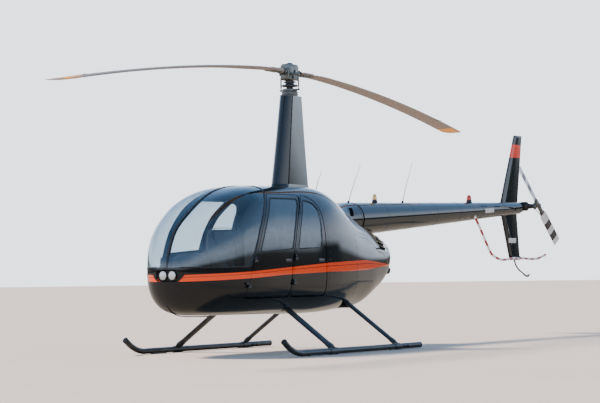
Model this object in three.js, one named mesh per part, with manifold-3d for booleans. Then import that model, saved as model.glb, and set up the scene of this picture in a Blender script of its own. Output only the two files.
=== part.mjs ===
// A four-seat light helicopter with a two-bladed main rotor, at full size.
// Millimetres. +X points to the nose, +Y to the port side, +Z up.
// Every size below is written from the main rotor's axis (x = 0) and the ground (z = 0).
// The finished group is then moved so that its origin is the middle of the bottom of its box.

import * as THREE from 'three';
import { mergeVertices } from 'three/addons/utils/BufferGeometryUtils.js';
import Module from 'manifold-3d';

const wasm = await Module();
wasm.setup();

// Driving sizes
const FIT = 0.3;                 // gap between two pieces that touch
const FAR = 3000;                // reach of a cutting shape that has to pass right through
const SIDES = [1, -1];           // port, starboard

const CABIN_WALL = 30;           // door, post and tub thickness
const COWL_WALL = 12;            // engine cowling thickness
const GLASS_DEPTH = 6;           // glass lies this far under the skin
const GLASS_THICK = 8;
const DOOR_GAP = 6;              // clearance round a door
const DOOR_SILL_GAP = 14;        // clearance under a door
const BELT = 957;                // where the cabin's tub ends and its upper frame starts
const FIREWALL = { front: 190, back: 150 };
const COWL_SEAM = -552;          // joint between the engine bay's cowling and the aft cowling
const COWL_END = -1880;

const ROTOR = { radius: 5030, chord: 254, azimuth: 7.19, root: 3205, droop: 455, hub: 3160 };
const MAST_TOP = 2930;
const TAIL_AXIS = { x: -5775, z: 1746, plane: 262 };
const TAIL_ROTOR = { radius: 737, chord: 130, angle: 42, pitch: 16 };
const SKID = { y: 1050, radius: 32, centre: 38, toe: 1450, heel: -1080 };

// The body's sections from the nose to the tail end.
// Columns: x, bottom, top, half width, height of the widest point, upper and lower roundness
const BODY = [
  [2412, 930, 930, 0, 930, 2.0, 2.0],
  [2407, 850, 1005, 92, 928, 2.05, 2.0],
  [2389, 745, 1082, 176, 925, 2.3, 2.05],
  [2358, 640, 1168, 244, 922, 2.55, 2.1],
  [2310, 555, 1282, 315, 920, 2.75, 2.2],
  [2238, 497, 1382, 388, 920, 2.9, 2.35],
  [2123, 466, 1482, 466, 920, 3.05, 2.5],
  [1969, 453, 1589, 536, 920, 3.15, 2.65],
  [1786, 448, 1698, 589, 920, 3.25, 2.8],
  [1602, 445, 1778, 620, 920, 3.25, 2.9],
  [1362, 442, 1840, 637, 922, 3.2, 3.0],
  [1026, 440, 1866, 640, 925, 3.1, 3.0],
  [600, 434, 1876, 640, 930, 3.0, 3.0],
  [200, 427, 1882, 634, 935, 3.0, 3.0],
  [-100, 429, 1872, 612, 940, 2.85, 2.9],
  [-330, 436, 1826, 582, 943, 2.65, 2.8],
  [-576, 450, 1722, 543, 946, 2.45, 2.6],
  [-900, 462, 1590, 478, 950, 2.3, 2.4],
  [-1227, 520, 1487, 404, 955, 2.3, 2.3],
  [-1426, 602, 1424, 350, 965, 2.3, 2.3],
  [-1650, 695, 1350, 288, 985, 2.3, 2.3],
  [-1770, 768, 1310, 248, 1005, 2.3, 2.2],
  [-1840, 830, 1284, 222, 1035, 2.3, 2.2],
  [-1880, 890, 1256, 200, 1060, 2.3, 2.2],
];
const BODY_SIDES = 28;

// Outlines seen from the side. Columns: x, z, and along a door's free edge the clearance behind it for its swing
const FRONT_DOOR = [
  [1775, 640], [1690, 930], [1672, 975], [1590, 1145], [1550, 1242], [1495, 1360], [1411, 1490], [1306, 1634], [1195, 1735],
  [1165, 1757], [560, 1757, 27], [609, 1700, 26], [752, 1532, 18], [842, 1365, 16], [912, 1166, 16], [968, 950, 16], [991, 640, 16],
];
const FRONT_WINDOW = [
  [1556, 1122], [1512, 1222], [1445, 1361], [1362, 1490], [1256, 1624], [1170, 1716],
  [618, 1716], [776, 1532], [866, 1365], [934, 1180], [937, 1160],
];
const REAR_DOOR = [
  [943, 640], [931, 800], [920, 950], [895, 1050], [864, 1166], [794, 1365], [703, 1532], [553, 1700], [500, 1757],
  [450, 1752, 48], [345, 1715, 24], [280, 1640, 18], [262, 1560, 16], [262, 640, 16],
];
const REAR_WINDOW = [
  [834, 1158], [760, 1365], [669, 1532], [524, 1702], [455, 1698], [345, 1666], [300, 1590], [316, 1424], [343, 1200], [345, 1176],
];
const WINDSCREEN = [
  [2600, 968], [1716, 968], [1630, 1145], [1590, 1242], [1535, 1360], [1451, 1490], [1346, 1634], [1235, 1735],
  [1130, 1800], [1085, 1850], [1080, 2000], [2600, 2000],
];
const CORNER = 45;               // radius of the outlines' corners

// Doors. axis is a point on the hinge line, lean and splay its changes in x and y for each unit of height,
// edge the door's front edge at a hinge, skin the body's half width there, fixed the reach of the fixed arm
const DOORS = [
  {
    row: 'front',
    outline: FRONT_DOOR,
    pane: FRONT_WINDOW,
    axis: { x: 1696, y: 623, z: 950, lean: -0.338, splay: 0.0836 },
    hinges: [{ z: 735, edge: 1736, skin: 588, fixed: [0, 40] }, { z: 1010, edge: 1640, skin: 611, fixed: [-12, 4] }],
  },
  {
    row: 'rear',
    outline: REAR_DOOR,
    pane: REAR_WINDOW,
    axis: { x: 929, y: 655, z: 950, lean: -0.148, splay: 0 },
    hinges: [{ z: 760, edge: 931, skin: 636, fixed: [-10, 6] }, { z: 1030, edge: 892, skin: 639, fixed: [-12, 1] }],
  },
];
const HINGE = { radius: 8, length: 34, margin: 3, reach: 46, clear: 6, sink: 12 };

const LAMP_BAY = { half: 132, low: 818, high: 948, lamp: 52, spread: 60 };
const LOUVRES = { count: 5, back: -1740, front: -1415, low: 1128, pitch: 47, rise: 45, tall: 24 };
const CENTRE_STRIP = 10;         // half width of the strip between the two windscreens

// Colours
const PAINT = { color: 0x0b0c0f, roughness: 0.12, metalness: 0.1 };
const BLADE_GREY = { color: 0x8d8680, roughness: 0.5, metalness: 0.0 };
const BARE_METAL = { color: 0x9a9c9e, roughness: 0.35, metalness: 0.9 };
const SATIN_BLACK = { color: 0x17181a, roughness: 0.45, metalness: 0.2 };
const GLASS = { color: 0x9fb4c0, roughness: 0.03, metalness: 0.0, transparent: true, opacity: 0.35 };
const LEATHER = { color: 0x2b2523, roughness: 0.6, metalness: 0.0 };
const TRIM = { color: 0x222326, roughness: 0.7, metalness: 0.0 };
const STEEL = { color: 0x6f6a64, roughness: 0.45, metalness: 0.8 };
const RED_PAINT = { color: 0xc8321c, roughness: 0.3, metalness: 0.0 };
const LAMP_GLASS = { color: 0xe9e6da, roughness: 0.05, metalness: 0.0 };

// Joining and cutting

function solid(geometry) {
  geometry.deleteAttribute('normal');
  geometry.deleteAttribute('uv');
  const merged = mergeVertices(geometry, 1e-3);
  const index = merged.index.array;
  const triangles = [];
  for (let i = 0; i < index.length; i += 3) {
    const [a, b, c] = [index[i], index[i + 1], index[i + 2]];
    if (a !== b && b !== c && c !== a) triangles.push(a, b, c);
  }
  const vertProperties = new Float32Array(merged.attributes.position.array);
  return new wasm.Manifold(new wasm.Mesh({ numProp: 3, vertProperties, triVerts: new Uint32Array(triangles) }));
}

function join(first, ...rest) {
  return rest.reduce((sum, next) => sum.add(next), first);
}

function cut(first, ...rest) {
  return rest.reduce((left, next) => left.subtract(next), first);
}

function point(x, y, z) {
  return new THREE.Vector3(x, y, z);
}

// Basic shapes

function block(x0, x1, y0, y1, z0, z1) {
  const box = new THREE.BoxGeometry(x1 - x0, y1 - y0, z1 - z0);
  return solid(box.translate((x0 + x1) / 2, (y0 + y1) / 2, (z0 + z1) / 2));
}

// A round rod between two points, which may taper
function rod(from, to, radius, sides = 12, endRadius = radius) {
  const along = to.clone().sub(from);
  const cylinder = new THREE.CylinderGeometry(endRadius, radius, along.length(), sides);
  const turn = new THREE.Quaternion().setFromUnitVectors(point(0, 1, 0), along.clone().normalize());
  cylinder.applyQuaternion(turn);
  const middle = from.clone().add(to).multiplyScalar(0.5);
  return solid(cylinder.translate(middle.x, middle.y, middle.z));
}

// A bar of streamlined section between two points, its chord along X
function fairedBar(from, to, chord, thickness, sides = 12) {
  const along = to.clone().sub(from);
  const bar = new THREE.CylinderGeometry(0.5, 0.5, along.length(), sides);
  bar.scale(chord, 1, thickness);
  const direction = along.clone().normalize();
  const across = point(1, 0, 0).cross(direction).normalize();
  const turn = new THREE.Matrix4().makeBasis(point(1, 0, 0), direction, across);
  bar.applyMatrix4(turn);
  const middle = from.clone().add(to).multiplyScalar(0.5);
  return solid(bar.translate(middle.x, middle.y, middle.z));
}

// A round tube along a smooth curve through the given points
function pipe(points, radius, steps, sides = 10) {
  const ring = [];
  for (let i = 0; i < sides; i += 1) {
    const angle = (2 * Math.PI * i) / sides;
    ring.push(new THREE.Vector2(radius * Math.cos(angle), radius * Math.sin(angle)));
  }
  const path = new THREE.CatmullRomCurve3(points, false, 'centripetal');
  const settings = { extrudePath: path, steps, bevelEnabled: false };
  return solid(new THREE.ExtrudeGeometry(new THREE.Shape(ring), settings));
}

// A closed skin over rings of points; a ring of one point is a pole
function loft(rings) {
  const positions = [];
  const starts = [];
  for (const ring of rings) {
    starts.push(positions.length / 3);
    for (const p of ring) positions.push(p.x, p.y, p.z);
  }
  const index = [];
  for (let r = 0; r + 1 < rings.length; r += 1) {
    const a = rings[r].length;
    const b = rings[r + 1].length;
    for (let i = 0; i < Math.max(a, b); i += 1) {
      const a0 = starts[r] + (i % a);
      const a1 = starts[r] + ((i + 1) % a);
      const b0 = starts[r + 1] + (i % b);
      const b1 = starts[r + 1] + ((i + 1) % b);
      if (a > 1) index.push(a0, a1, b0);
      if (b > 1) index.push(a1, b1, b0);
    }
  }
  for (const [r, flip] of [[0, true], [rings.length - 1, false]]) {
    for (let i = 1; i + 1 < rings[r].length; i += 1) {
      const pair = flip ? [i + 1, i] : [i, i + 1];
      index.push(starts[r], starts[r] + pair[0], starts[r] + pair[1]);
    }
  }
  const geometry = new THREE.BufferGeometry();
  geometry.setAttribute('position', new THREE.Float32BufferAttribute(positions, 3));
  geometry.setIndex(index);
  const skin = solid(geometry);
  if (skin.volume() > 0) return skin;
  for (let i = 0; i < index.length; i += 3) index.splice(i, 3, index[i], index[i + 2], index[i + 1]);
  geometry.setIndex(index);
  return solid(geometry);
}

// A shape with rounded corners, grown outwards by an even margin
function roundedShape(corners, radius, grow = 0) {
  const count = corners.length;
  const area = corners.reduce((sum, [x, z], i) => {
    const next = corners[(i + 1) % count];
    return sum + x * next[1] - next[0] * z;
  }, 0);
  const edge = (a, b) => {
    const [dx, dz] = [b[0] - a[0], b[1] - a[1]];
    const length = Math.hypot(dx, dz);
    const side = Math.sign(area) / length;
    return { normal: [dz * side, -dx * side], dx, dz, length };
  };
  const grown = corners.map((corner, i) => {
    const before = edge(corners[(i + count - 1) % count], corner);
    const after = edge(corner, corners[(i + 1) % count]);
    const [ax, az] = before.normal;
    const [bx, bz] = after.normal;
    const scale = grow / (1 + ax * bx + az * bz);
    return [corner[0] + (ax + bx) * scale, corner[1] + (az + bz) * scale];
  });
  const shape = new THREE.Shape();
  grown.forEach((corner, i) => {
    const before = edge(grown[(i + count - 1) % count], corner);
    const after = edge(corner, grown[(i + 1) % count]);
    const straight = (before.dx * after.dx + before.dz * after.dz) / (before.length * after.length);
    const trim = straight > 0.8 ? 0 : Math.min(radius, before.length * 0.45, after.length * 0.45);
    const start = [corner[0] - (before.dx / before.length) * trim, corner[1] - (before.dz / before.length) * trim];
    const end = [corner[0] + (after.dx / after.length) * trim, corner[1] + (after.dz / after.length) * trim];
    if (i === 0) shape.moveTo(...start);
    else shape.lineTo(...start);
    if (trim > 0) shape.quadraticCurveTo(corner[0], corner[1], end[0], end[1]);
  });
  shape.closePath();
  return shape;
}

// A side view outline carried across the body from y = near to y = far
function sidePrism(corners, radius, grow, near, far) {
  const shape = roundedShape(corners, radius, grow);
  const prism = new THREE.ExtrudeGeometry(shape, { depth: Math.abs(far - near), bevelEnabled: false, curveSegments: 4 });
  prism.rotateX(Math.PI / 2);
  return solid(prism.translate(0, Math.max(near, far), 0));
}

// The helicopter's body

function bodyRing(row, inset) {
  const [x, bottom, top, half, wide, upper, lower] = row;
  const shrink = (size) => size - inset * Math.min(1, size / 150);
  const nose = BODY[0][0];
  const depth = Math.max(0, (x - 1200) / (nose - 1200));
  const ring = [];
  const sides = half > 0 ? BODY_SIDES : 1;
  for (let i = 0; i < sides; i += 1) {
    const angle = (2 * Math.PI * i) / sides;
    const [c, s] = [Math.cos(angle), Math.sin(angle)];
    const round = 2 / (s >= 0 ? upper : lower);
    const height = shrink(s >= 0 ? top - wide : wide - bottom);
    const y = shrink(half) * Math.sign(c) * Math.abs(c) ** round;
    const z = wide + height * Math.sign(s) * Math.abs(s) ** round;
    ring.push(point(x - inset * depth, half > 0 ? y : 0, z));
  }
  return ring;
}

function bodySolid(inset) {
  return loft(BODY.map((row) => bodyRing(row, inset)));
}

const outer = bodySolid(0);
const outerClear = bodySolid(-FIT);
const cabinHollow = bodySolid(CABIN_WALL);
const cabinFit = bodySolid(CABIN_WALL + FIT);
const cowlHollow = bodySolid(COWL_WALL);
const cabinShell = cut(outer, cabinHollow);
const glassShell = cut(bodySolid(GLASS_DEPTH), bodySolid(GLASS_DEPTH + GLASS_THICK));
const everywhere = [-FAR, FAR];

function slab(x0, x1, z0 = 0, z1 = FAR) {
  return block(x0, x1, ...everywhere, z0, z1);
}

function sideCut(outline, radius, grow, side) {
  return sidePrism(outline, radius, grow, side * 120, side * 900);
}

const parts = [];

function piece(name, shape, look) {
  parts.push({ name, shape, look });
}

function windscreenPrism(grow, side) {
  const edge = CENTRE_STRIP - grow;
  return sidePrism(WINDSCREEN, CORNER, grow, side * edge, side * 900);
}

// Both halves of a door's two hinges: barrels that share the door's axis, each with an arm to its skin
function hingeHalves({ axis, hinges }, side) {
  const at = (z) => point(axis.x + axis.lean * (z - axis.z), side * (axis.y + axis.splay * (z - axis.z)), z);
  const across = (near, far) => [Math.min(side * near, side * far), Math.max(side * near, side * far)];
  const { radius, length, margin, reach, clear, sink } = HINGE;
  const moving = [];
  const fixed = [];
  for (const { z, edge, skin, fixed: [back, ahead] } of hinges) {
    const { x, y } = at(z + length);
    const crest = Math.abs(y) + 2;
    const low = [z + margin, z + length - margin];
    const high = [z + length + margin, z + 2 * length - margin];
    moving.push(rod(at(z), at(z + length), radius, 12));
    moving.push(block(x - reach, x, ...across(skin + clear, crest), ...low));
    moving.push(block(x - reach, edge - clear, ...across(skin - sink, skin + clear + 2), ...low));
    fixed.push(rod(at(z + length + FIT), at(z + 2 * length), radius, 12));
    fixed.push(block(x + back, x + ahead, ...across(skin - sink, crest), ...high));
  }
  return { moving, fixed };
}

function makeCabin() {
  let shell = cut(cabinShell, slab(-FAR, FIREWALL.front + 10));
  for (const side of SIDES) {
    for (const door of DOORS) {
      shell = cut(shell, sideCut(door.outline, CORNER, DOOR_GAP, side));
      shell = cut(shell, sideCut(swingRoom(door.outline), CORNER, 0, side));
      shell = join(shell, ...hingeHalves(door, side).fixed);
    }
    shell = cut(shell, windscreenPrism(0, side));
    const glass = glassShell.intersect(windscreenPrism(-FIT, side));
    piece(side > 0 ? 'windscreen_left' : 'windscreen_right', glass, GLASS);
  }
  shell = cut(shell, block(2000, 2500, -LAMP_BAY.half, LAMP_BAY.half, LAMP_BAY.low, LAMP_BAY.high));
  const tub = shell.intersect(slab(-FAR, FAR, 0, BELT));
  const frame = shell.intersect(slab(-FAR, FAR, BELT + FIT, FAR));
  return { tub, frame };
}

// The same outline with its free edge moved aft and its sill lowered, as room for the door's swing
function swingRoom(outline) {
  return outline.map(([x, z, room = 0]) => [x - room, z < BELT - 300 ? z - DOOR_SILL_GAP : z]);
}

function makeDoor(door, side) {
  const name = `${door.row}_${side > 0 ? 'left' : 'right'}`;
  const opening = sideCut(door.pane, CORNER, 0, side);
  const panel = cut(cabinShell.intersect(sideCut(door.outline, CORNER, 0, side)), opening);
  piece(`door_${name}`, join(panel, ...hingeHalves(door, side).moving), PAINT);
  piece(`window_${name}`, glassShell.intersect(sideCut(door.pane, CORNER, -FIT, side)), GLASS);
}

function legPoints(x, side) {
  return [point(x, side * 400, 533), point(x, side * SKID.y, 68)];
}

// One bent tube across the belly with a faired leg down to each skid
function crossTube(x, chord, thickness, grow) {
  let tube = rod(point(x, -440, 503), point(x, 440, 503), 26 + grow, 12);
  for (const side of SIDES) {
    const [top, foot] = legPoints(x, side);
    tube = join(tube, fairedBar(top, foot, chord + 2 * grow, thickness + 2 * grow, 12));
  }
  return tube;
}

const CROSS_TUBES = [
  { name: 'cross_tube_front', x: 800, chord: 118, thickness: 46 },
  { name: 'cross_tube_rear', x: -550, chord: 84, thickness: 44 },
];

const skidTubes = SIDES.map((side) => skid(side, 0));
const skidClear = SIDES.map((side) => skid(side, FIT));

function skid(side, grow) {
  const y = side * SKID.y;
  const { toe, heel, centre, radius } = SKID;
  const curl = [
    point(toe - 120, y, centre),
    point(toe, y, centre),
    point(toe + 110, y, centre + 20),
    point(toe + 220, y, centre + 66),
    point(toe + 320, y, centre + 132),
  ];
  const straight = rod(point(heel, y, centre), point(toe - 60, y, centre), radius + grow, 12);
  const tube = join(straight, pipe(curl, radius + grow, 10, 12));
  const shoes = [
    block(toe - 420, toe - 150, y - 16, y + 16, 0, 14),
    block(-700, -420, y - 16, y + 16, 0, 14),
  ];
  return join(tube, ...shoes);
}

const gearSlots = CROSS_TUBES.map((tube) => crossTube(tube.x, tube.chord, tube.thickness, FIT));

function makeGear() {
  for (const tube of CROSS_TUBES) {
    const shape = crossTube(tube.x, tube.chord, tube.thickness, 0);
    piece(tube.name, cut(shape, ...skidClear), SATIN_BLACK);
  }
  SIDES.forEach((side, i) => piece(side > 0 ? 'skid_left' : 'skid_right', skidTubes[i], SATIN_BLACK));
}

function makeInside() {
  const wall = cabinFit.intersect(slab(FIREWALL.back, FIREWALL.front));
  piece('firewall', wall, TRIM);
  const floor = cabinFit.intersect(slab(FIREWALL.front + FIT, 2150, 575, 600));
  const boxes = [
    block(960, 1430, -500, 500, 590, 780),
    block(FIREWALL.front + FIT, 690, -500, 500, 590, 780),
  ];
  piece('cabin_floor', join(floor, ...boxes), TRIM);
  for (const [row, back, front] of [['front', 965, 1440], ['rear', 200, 700]]) {
    for (const side of SIDES) {
      const inner = side > 0 ? 30 : -490;
      const cushion = block(back + 100, front, inner, inner + 460, 780 + FIT, 860);
      const rest = block(back, back + 110, inner, inner + 460, 780 + FIT, 1400);
      piece(`seat_${row}_${side > 0 ? 'left' : 'right'}`, join(cushion, rest), LEATHER);
    }
  }
  const pedestal = block(1800, 2010, -140, 140, 600 + FIT, 960);
  const panel = block(1830, 2060, -200, 200, 930, 1120);
  piece('instrument_console', join(pedestal, panel), TRIM);
  const stick = cut(rod(point(1641, 0, 590), point(1600, 0, 1060), 16, 10), slab(-FAR, FAR, 0, 600 + FIT));
  const bar = rod(point(1600, -330, 1045), point(1600, 330, 1045), 11, 10);
  const grips = SIDES.map((side) => rod(point(1600, side * 320, 1055), point(1585, side * 320, 930), 17, 10));
  piece('cyclic_stick', join(stick, bar, ...grips), SATIN_BLACK);
  const pedalBar = rod(point(2060, -300, 640), point(2060, 300, 640), 12, 8);
  const feet = [];
  for (const y of [-300, -170, 170, 300]) {
    feet.push(block(2050, 2075, y - 38, y + 38, 632, 740));
  }
  const bracket = block(2045, 2075, -30, 30, 600 + FIT, 645);
  piece('pedals', join(pedalBar, bracket, ...feet), BARE_METAL);
}

function makeEngineBay() {
  const engineBlock = block(-800, -60, -330, 330, 570, 980);
  const mounts = [];
  for (const side of SIDES) {
    for (const z of [620, 900]) mounts.push(rod(point(-80, side * 300, z), point(FIREWALL.back - FIT, side * 300, z), 22, 8));
  }
  piece('engine', join(engineBlock, ...mounts), STEEL);
  const ring = cut(outer, cowlHollow, ...gearSlots);
  const bay = ring.intersect(slab(COWL_SEAM + FIT, FIREWALL.front + 9.7));
  let aft = ring.intersect(slab(COWL_END, COWL_SEAM));
  for (const side of SIDES) {
    for (let i = 0; i < LOUVRES.count; i += 1) {
      const { back, front, low, pitch, rise, tall } = LOUVRES;
      const z = low + pitch * i;
      const slot = [[back, z], [front, z + rise], [front, z + rise + tall], [back, z + tall]];
      aft = cut(aft, sidePrism(slot, 0, 0, side * 60, side * 700));
    }
  }
  return { bay, aft };
}

function tubeRing(x, radius, centre, sides = 24, half = radius) {
  const ring = [];
  for (let i = 0; i < sides; i += 1) {
    const angle = (2 * Math.PI * i) / sides;
    ring.push(point(x, half * Math.cos(angle), centre + radius * Math.sin(angle)));
  }
  return ring;
}

const BOOM = { front: -1290, back: -5645, frontRadius: 203, backRadius: 78, frontCentre: 1518, backCentre: 1720 };

const BEACONS = [{ x: -1860, radius: 30, top: 100 }, { x: -4270, radius: 34, top: 98 }];

function boomAt(x) {
  const t = (x - BOOM.front) / (BOOM.back - BOOM.front);
  return {
    radius: BOOM.frontRadius + (BOOM.backRadius - BOOM.frontRadius) * t,
    centre: BOOM.frontCentre + (BOOM.backCentre - BOOM.frontCentre) * t,
  };
}

function boomSolid(front, back, grow) {
  const rings = [front, back].map((x) => {
    const { radius, centre } = boomAt(x);
    return tubeRing(x, radius + grow, centre);
  });
  return loft(rings);
}

function makeTail(bodies) {
  const { bay, aft } = bodies;
  // Fairing from the roof back to the tail boom. Columns: x, radius, centre, half width
  const hump = [
    [-180, 150, 1640, 320],
    [-380, 200, 1600, 330],
    [-620, 212, 1530, 270],
    [-900, 214, 1502, 222],
    [-1240, 206, 1515, 206],
  ];
  const cowl = loft(hump.map(([x, radius, centre, half]) => tubeRing(x, radius, centre, 24, half)));
  const collar = boomSolid(-1200, BOOM.front + FIT, -22);
  const fairing = cut(join(cowl, collar), outerClear);
  piece('boom_fairing', fairing, PAINT);
  const tube = cut(boomSolid(BOOM.front, BOOM.back, 0), boomSolid(BOOM.front + 1, BOOM.back - 1, -8));
  const beacons = BEACONS.map(({ x, radius, top }) => {
    const skin = boomAt(x).centre + boomAt(x).radius;
    return rod(point(x, 0, skin - 25), point(x, 0, skin + top), radius, 16);
  });
  piece('tail_boom', cut(join(tube, ...beacons), outerClear), PAINT);
  piece('engine_cowl', bay, PAINT);
  piece('aft_cowl', cut(aft, exhaust(46, 10)), PAINT);
}

// A flat surface between two chords. Columns of each end: leading x, trailing x, y, z
function fin(root, tip, thickness, tipThickness) {
  const ring = ([lead, trail, y, z], thick, across) => {
    const chord = lead - trail;
    const stations = [[0, 0], [0.08, 0.62], [0.3, 1], [0.65, 0.72], [1, 0.08]];
    const up = stations.map(([along, half]) => [lead - along * chord, (half * thick) / 2]);
    const down = stations.slice(1).reverse().map(([along, half]) => [lead - along * chord, (-half * thick) / 2]);
    return [...up, ...down].map(([x, offset]) => (across ? point(x, y, z + offset) : point(x, y + offset, z)));
  };
  const flat = Math.abs(root[3] - tip[3]) < Math.abs(root[2] - tip[2]);
  return loft([ring(root, thickness, flat), ring(tip, tipThickness, flat)]);
}

function makeTailEnd() {
  const finY = -102;
  const upper = fin([-5322, -5840, finY, 1745 + FIT], [-5770, -6010, finY, 2730], 44, 28);
  const lower = fin([-5318, -5812, finY, 1745], [-5590, -5900, finY, 1010], 44, 30);
  const boomEnd = boomSolid(BOOM.front, BOOM.back, FIT);
  piece('fin_upper', cut(upper, boomEnd), PAINT);
  const skidPath = [point(-5750, finY, 1090), point(-5752, finY, 975), point(-5830, finY, 900), point(-5960, finY, 838), point(-6110, finY, 792), point(-6175, finY, 806)];
  piece('fin_lower', join(cut(lower, boomEnd), pipe(skidPath, 11, 16, 8)), PAINT);
  const stabiliser = fin([-5340, -5670, finY, 1700], [-5430, -5650, -990, 1700], 40, 26);
  const lowerClear = fin([-5318, -5812, finY, 1745], [-5590, -5900, finY, 1010], 44 + 2 * FIT, 30 + 2 * FIT);
  piece('stabiliser', cut(stabiliser, lowerClear, boomEnd, block(-6000, -5000, finY, 200, 1600, 1800)), PAINT);
  const gearbox = join(
    rod(point(BOOM.back - FIT, 0, BOOM.backCentre), point(BOOM.back - 75, 0, BOOM.backCentre), 74, 16, 50),
    rod(point(TAIL_AXIS.x, -52, TAIL_AXIS.z), point(TAIL_AXIS.x, 110, TAIL_AXIS.z), 52, 16),
    rod(point(TAIL_AXIS.x, 100, TAIL_AXIS.z), point(TAIL_AXIS.x, 180, TAIL_AXIS.z), 30, 16),
    rod(point(BOOM.back - 50, 0, 1734), point(TAIL_AXIS.x, 0, TAIL_AXIS.z), 46, 16),
  );
  piece('tail_gearbox', gearbox, BARE_METAL);
  const guard = [
    point(-4250, 84, 1600), point(-4350, 96, 1476), point(-4540, 100, 1250), point(-4700, 100, 1090),
    point(-4860, 100, 1036), point(-5400, 60, 1034), point(-5800, -20, 1034), point(-6400, -60, 1036), point(-6620, -72, 1080),
  ];
  piece('tail_guard', cut(pipe(guard, 13, 32, 6), boomEnd), RED_PAINT);
}

function airfoil(lead, trail, thickness) {
  const stations = [[0, 0], [0.04, 0.5], [0.15, 0.88], [0.32, 1], [0.6, 0.76], [0.85, 0.34], [1, 0.05]];
  const chord = trail - lead;
  const one = stations.map(([along, half]) => [lead + along * chord, (half * thickness) / 2]);
  const other = stations.slice(1).reverse().map(([along, half]) => [lead + along * chord, (-half * thickness) / 2]);
  return [...one, ...other];
}

function makeMast() {
  const sections = [
    { z: 1780, lead: 375, trail: -370, thick: 206 },
    { z: 2350, lead: 258, trail: -300, thick: 186 },
    { z: MAST_TOP, lead: 146, trail: -240, thick: 168 },
  ];
  const rings = sections.map(({ z, lead, trail, thick }) => airfoil(lead, trail, thick).map(([x, y]) => point(x, y, z)));
  piece('mast_fairing', cut(loft(rings), outerClear), PAINT);
  const plate = rod(point(0, 0, MAST_TOP + FIT), point(0, 0, 2972), 96, 20);
  const bore = rod(point(0, 0, MAST_TOP - 10), point(0, 0, 2990), 40, 20);
  piece('swashplate', cut(plate, bore), BARE_METAL);
}

function bladeShape() {
  // Columns: radius, lead and trail of the chord in quarters of it, thickness
  const stations = [
    [250, 0.22, -0.22, 60],
    [430, 0.32, -0.28, 44],
    [620, 0.42, -0.5, 32],
    [800, 0.45, -0.55, 30],
    [1700, 0.45, -0.55, 30],
    [2700, 0.45, -0.55, 29],
    [3600, 0.45, -0.55, 28],
    [4500, 0.45, -0.55, 26],
    [4860, 0.45, -0.55, 24],
    [5030, 0.16, -0.5, 14],
  ];
  const rings = stations.map(([r, lead, trail, thick]) => {
    const z = ROTOR.root - ROTOR.droop * (r / ROTOR.radius) ** 1.7;
    const outline = airfoil(lead * ROTOR.chord, trail * ROTOR.chord, thick);
    return outline.map(([y, offset]) => point(r, y, z + offset));
  });
  return loft(rings);
}

function makeMainRotor() {
  const z = ROTOR.hub;
  const shaft = rod(point(0, 0, MAST_TOP + FIT), point(0, 0, 3240), 30, 16);
  const ring = rod(point(0, 0, 2982), point(0, 0, 3004), 84, 20);
  const disc = rod(point(0, 0, 3022), point(0, 0, 3060), 68, 20);
  const housing = block(-130, 130, -58, 58, z - 55, z + 75);
  const cap = block(-80, 80, -52, 52, z + 60, 3310);
  const links = [];
  for (const side of SIDES) {
    const span = (near, far) => [Math.min(side * near, side * far), Math.max(side * near, side * far)];
    links.push(rod(point(side * 40, side * 132, 2990), point(side * 52, side * 136, z + 20), 10, 8));
    links.push(block(...span(20, 90), ...span(40, 148), z, z + 30));
    links.push(block(...span(20, 60), ...span(50, 144), 2984, 3002));
  }
  const hub = join(shaft, ring, disc, housing, cap, ...links);
  const turn = new THREE.Matrix4().makeRotationZ((ROTOR.azimuth * Math.PI) / 180);
  const grip = join(bladeShape(), rod(point(130 + FIT, 0, z + 37), point(330, 0, z + 37), 36, 14));
  piece('rotor_hub', hub.transform(turn.elements), BARE_METAL);
  piece('main_blade_front', grip.transform(turn.elements), BLADE_GREY);
  const back = turn.clone().multiply(new THREE.Matrix4().makeRotationZ(Math.PI));
  piece('main_blade_rear', grip.transform(back.elements), BLADE_GREY);
}

function makeTailRotor() {
  const { x, z, plane } = TAIL_AXIS;
  const angle = (TAIL_ROTOR.angle * Math.PI) / 180;
  const pitch = (TAIL_ROTOR.pitch * Math.PI) / 180;
  const [flat, steep] = [Math.cos(pitch), Math.sin(pitch)];
  const hub = rod(point(0, 180 + FIT, 0), point(0, plane + 28, 0), 30, 16);
  const yoke = block(-120, 120, plane - 22, plane + 22, -26, 26);
  const blades = [];
  for (const side of SIDES) {
    const rings = [100, 190, 640, TAIL_ROTOR.radius].map((r, i) => {
      const half = [30, TAIL_ROTOR.chord / 2, TAIL_ROTOR.chord / 2, TAIL_ROTOR.chord / 2][i];
      const thick = [26, 18, 15, 11][i];
      return airfoil(half, -half, thick).map(([u, v]) => point(side * r, plane + v * flat - u * steep, side * (u * flat + v * steep)));
    });
    blades.push(loft(rings));
  }
  const turn = new THREE.Matrix4().makeRotationY(-angle);
  turn.setPosition(x, 0, z);
  piece('tail_rotor', join(hub, yoke, ...blades).transform(turn.elements), BARE_METAL);
}

function exhaust(radius, extra) {
  return pipe([point(-1560 + extra, 100, 960), point(-1690, 100, 925), point(-1800, 100, 908), point(-1975 - extra, 100, 900)], radius, 6, 10);
}

function makeFittings() {
  const { half, low, high, lamp, spread } = LAMP_BAY;
  const backing = cut(bodySolid(14), bodySolid(CABIN_WALL - 1));
  const panel = backing.intersect(block(2100, 2500, FIT - half, half - FIT, low + FIT, high - FIT));
  const lamps = SIDES.map((side) => rod(point(2360, side * spread, 885), point(2393, side * spread, 885), lamp, 20));
  piece('landing_lights', join(panel, ...lamps), LAMP_GLASS);
  piece('tailpipe', cut(exhaust(45, 0), exhaust(39, 10)), STEEL);
}

const cabin = makeCabin();
makeGear();
piece('cabin_tub', cut(cabin.tub, ...gearSlots), PAINT);
piece('cabin_frame', cabin.frame, PAINT);
for (const side of SIDES) {
  for (const door of DOORS) makeDoor(door, side);
}
makeInside();
makeTail(makeEngineBay());
makeTailEnd();
makeMast();
makeMainRotor();
makeTailRotor();
makeFittings();

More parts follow.
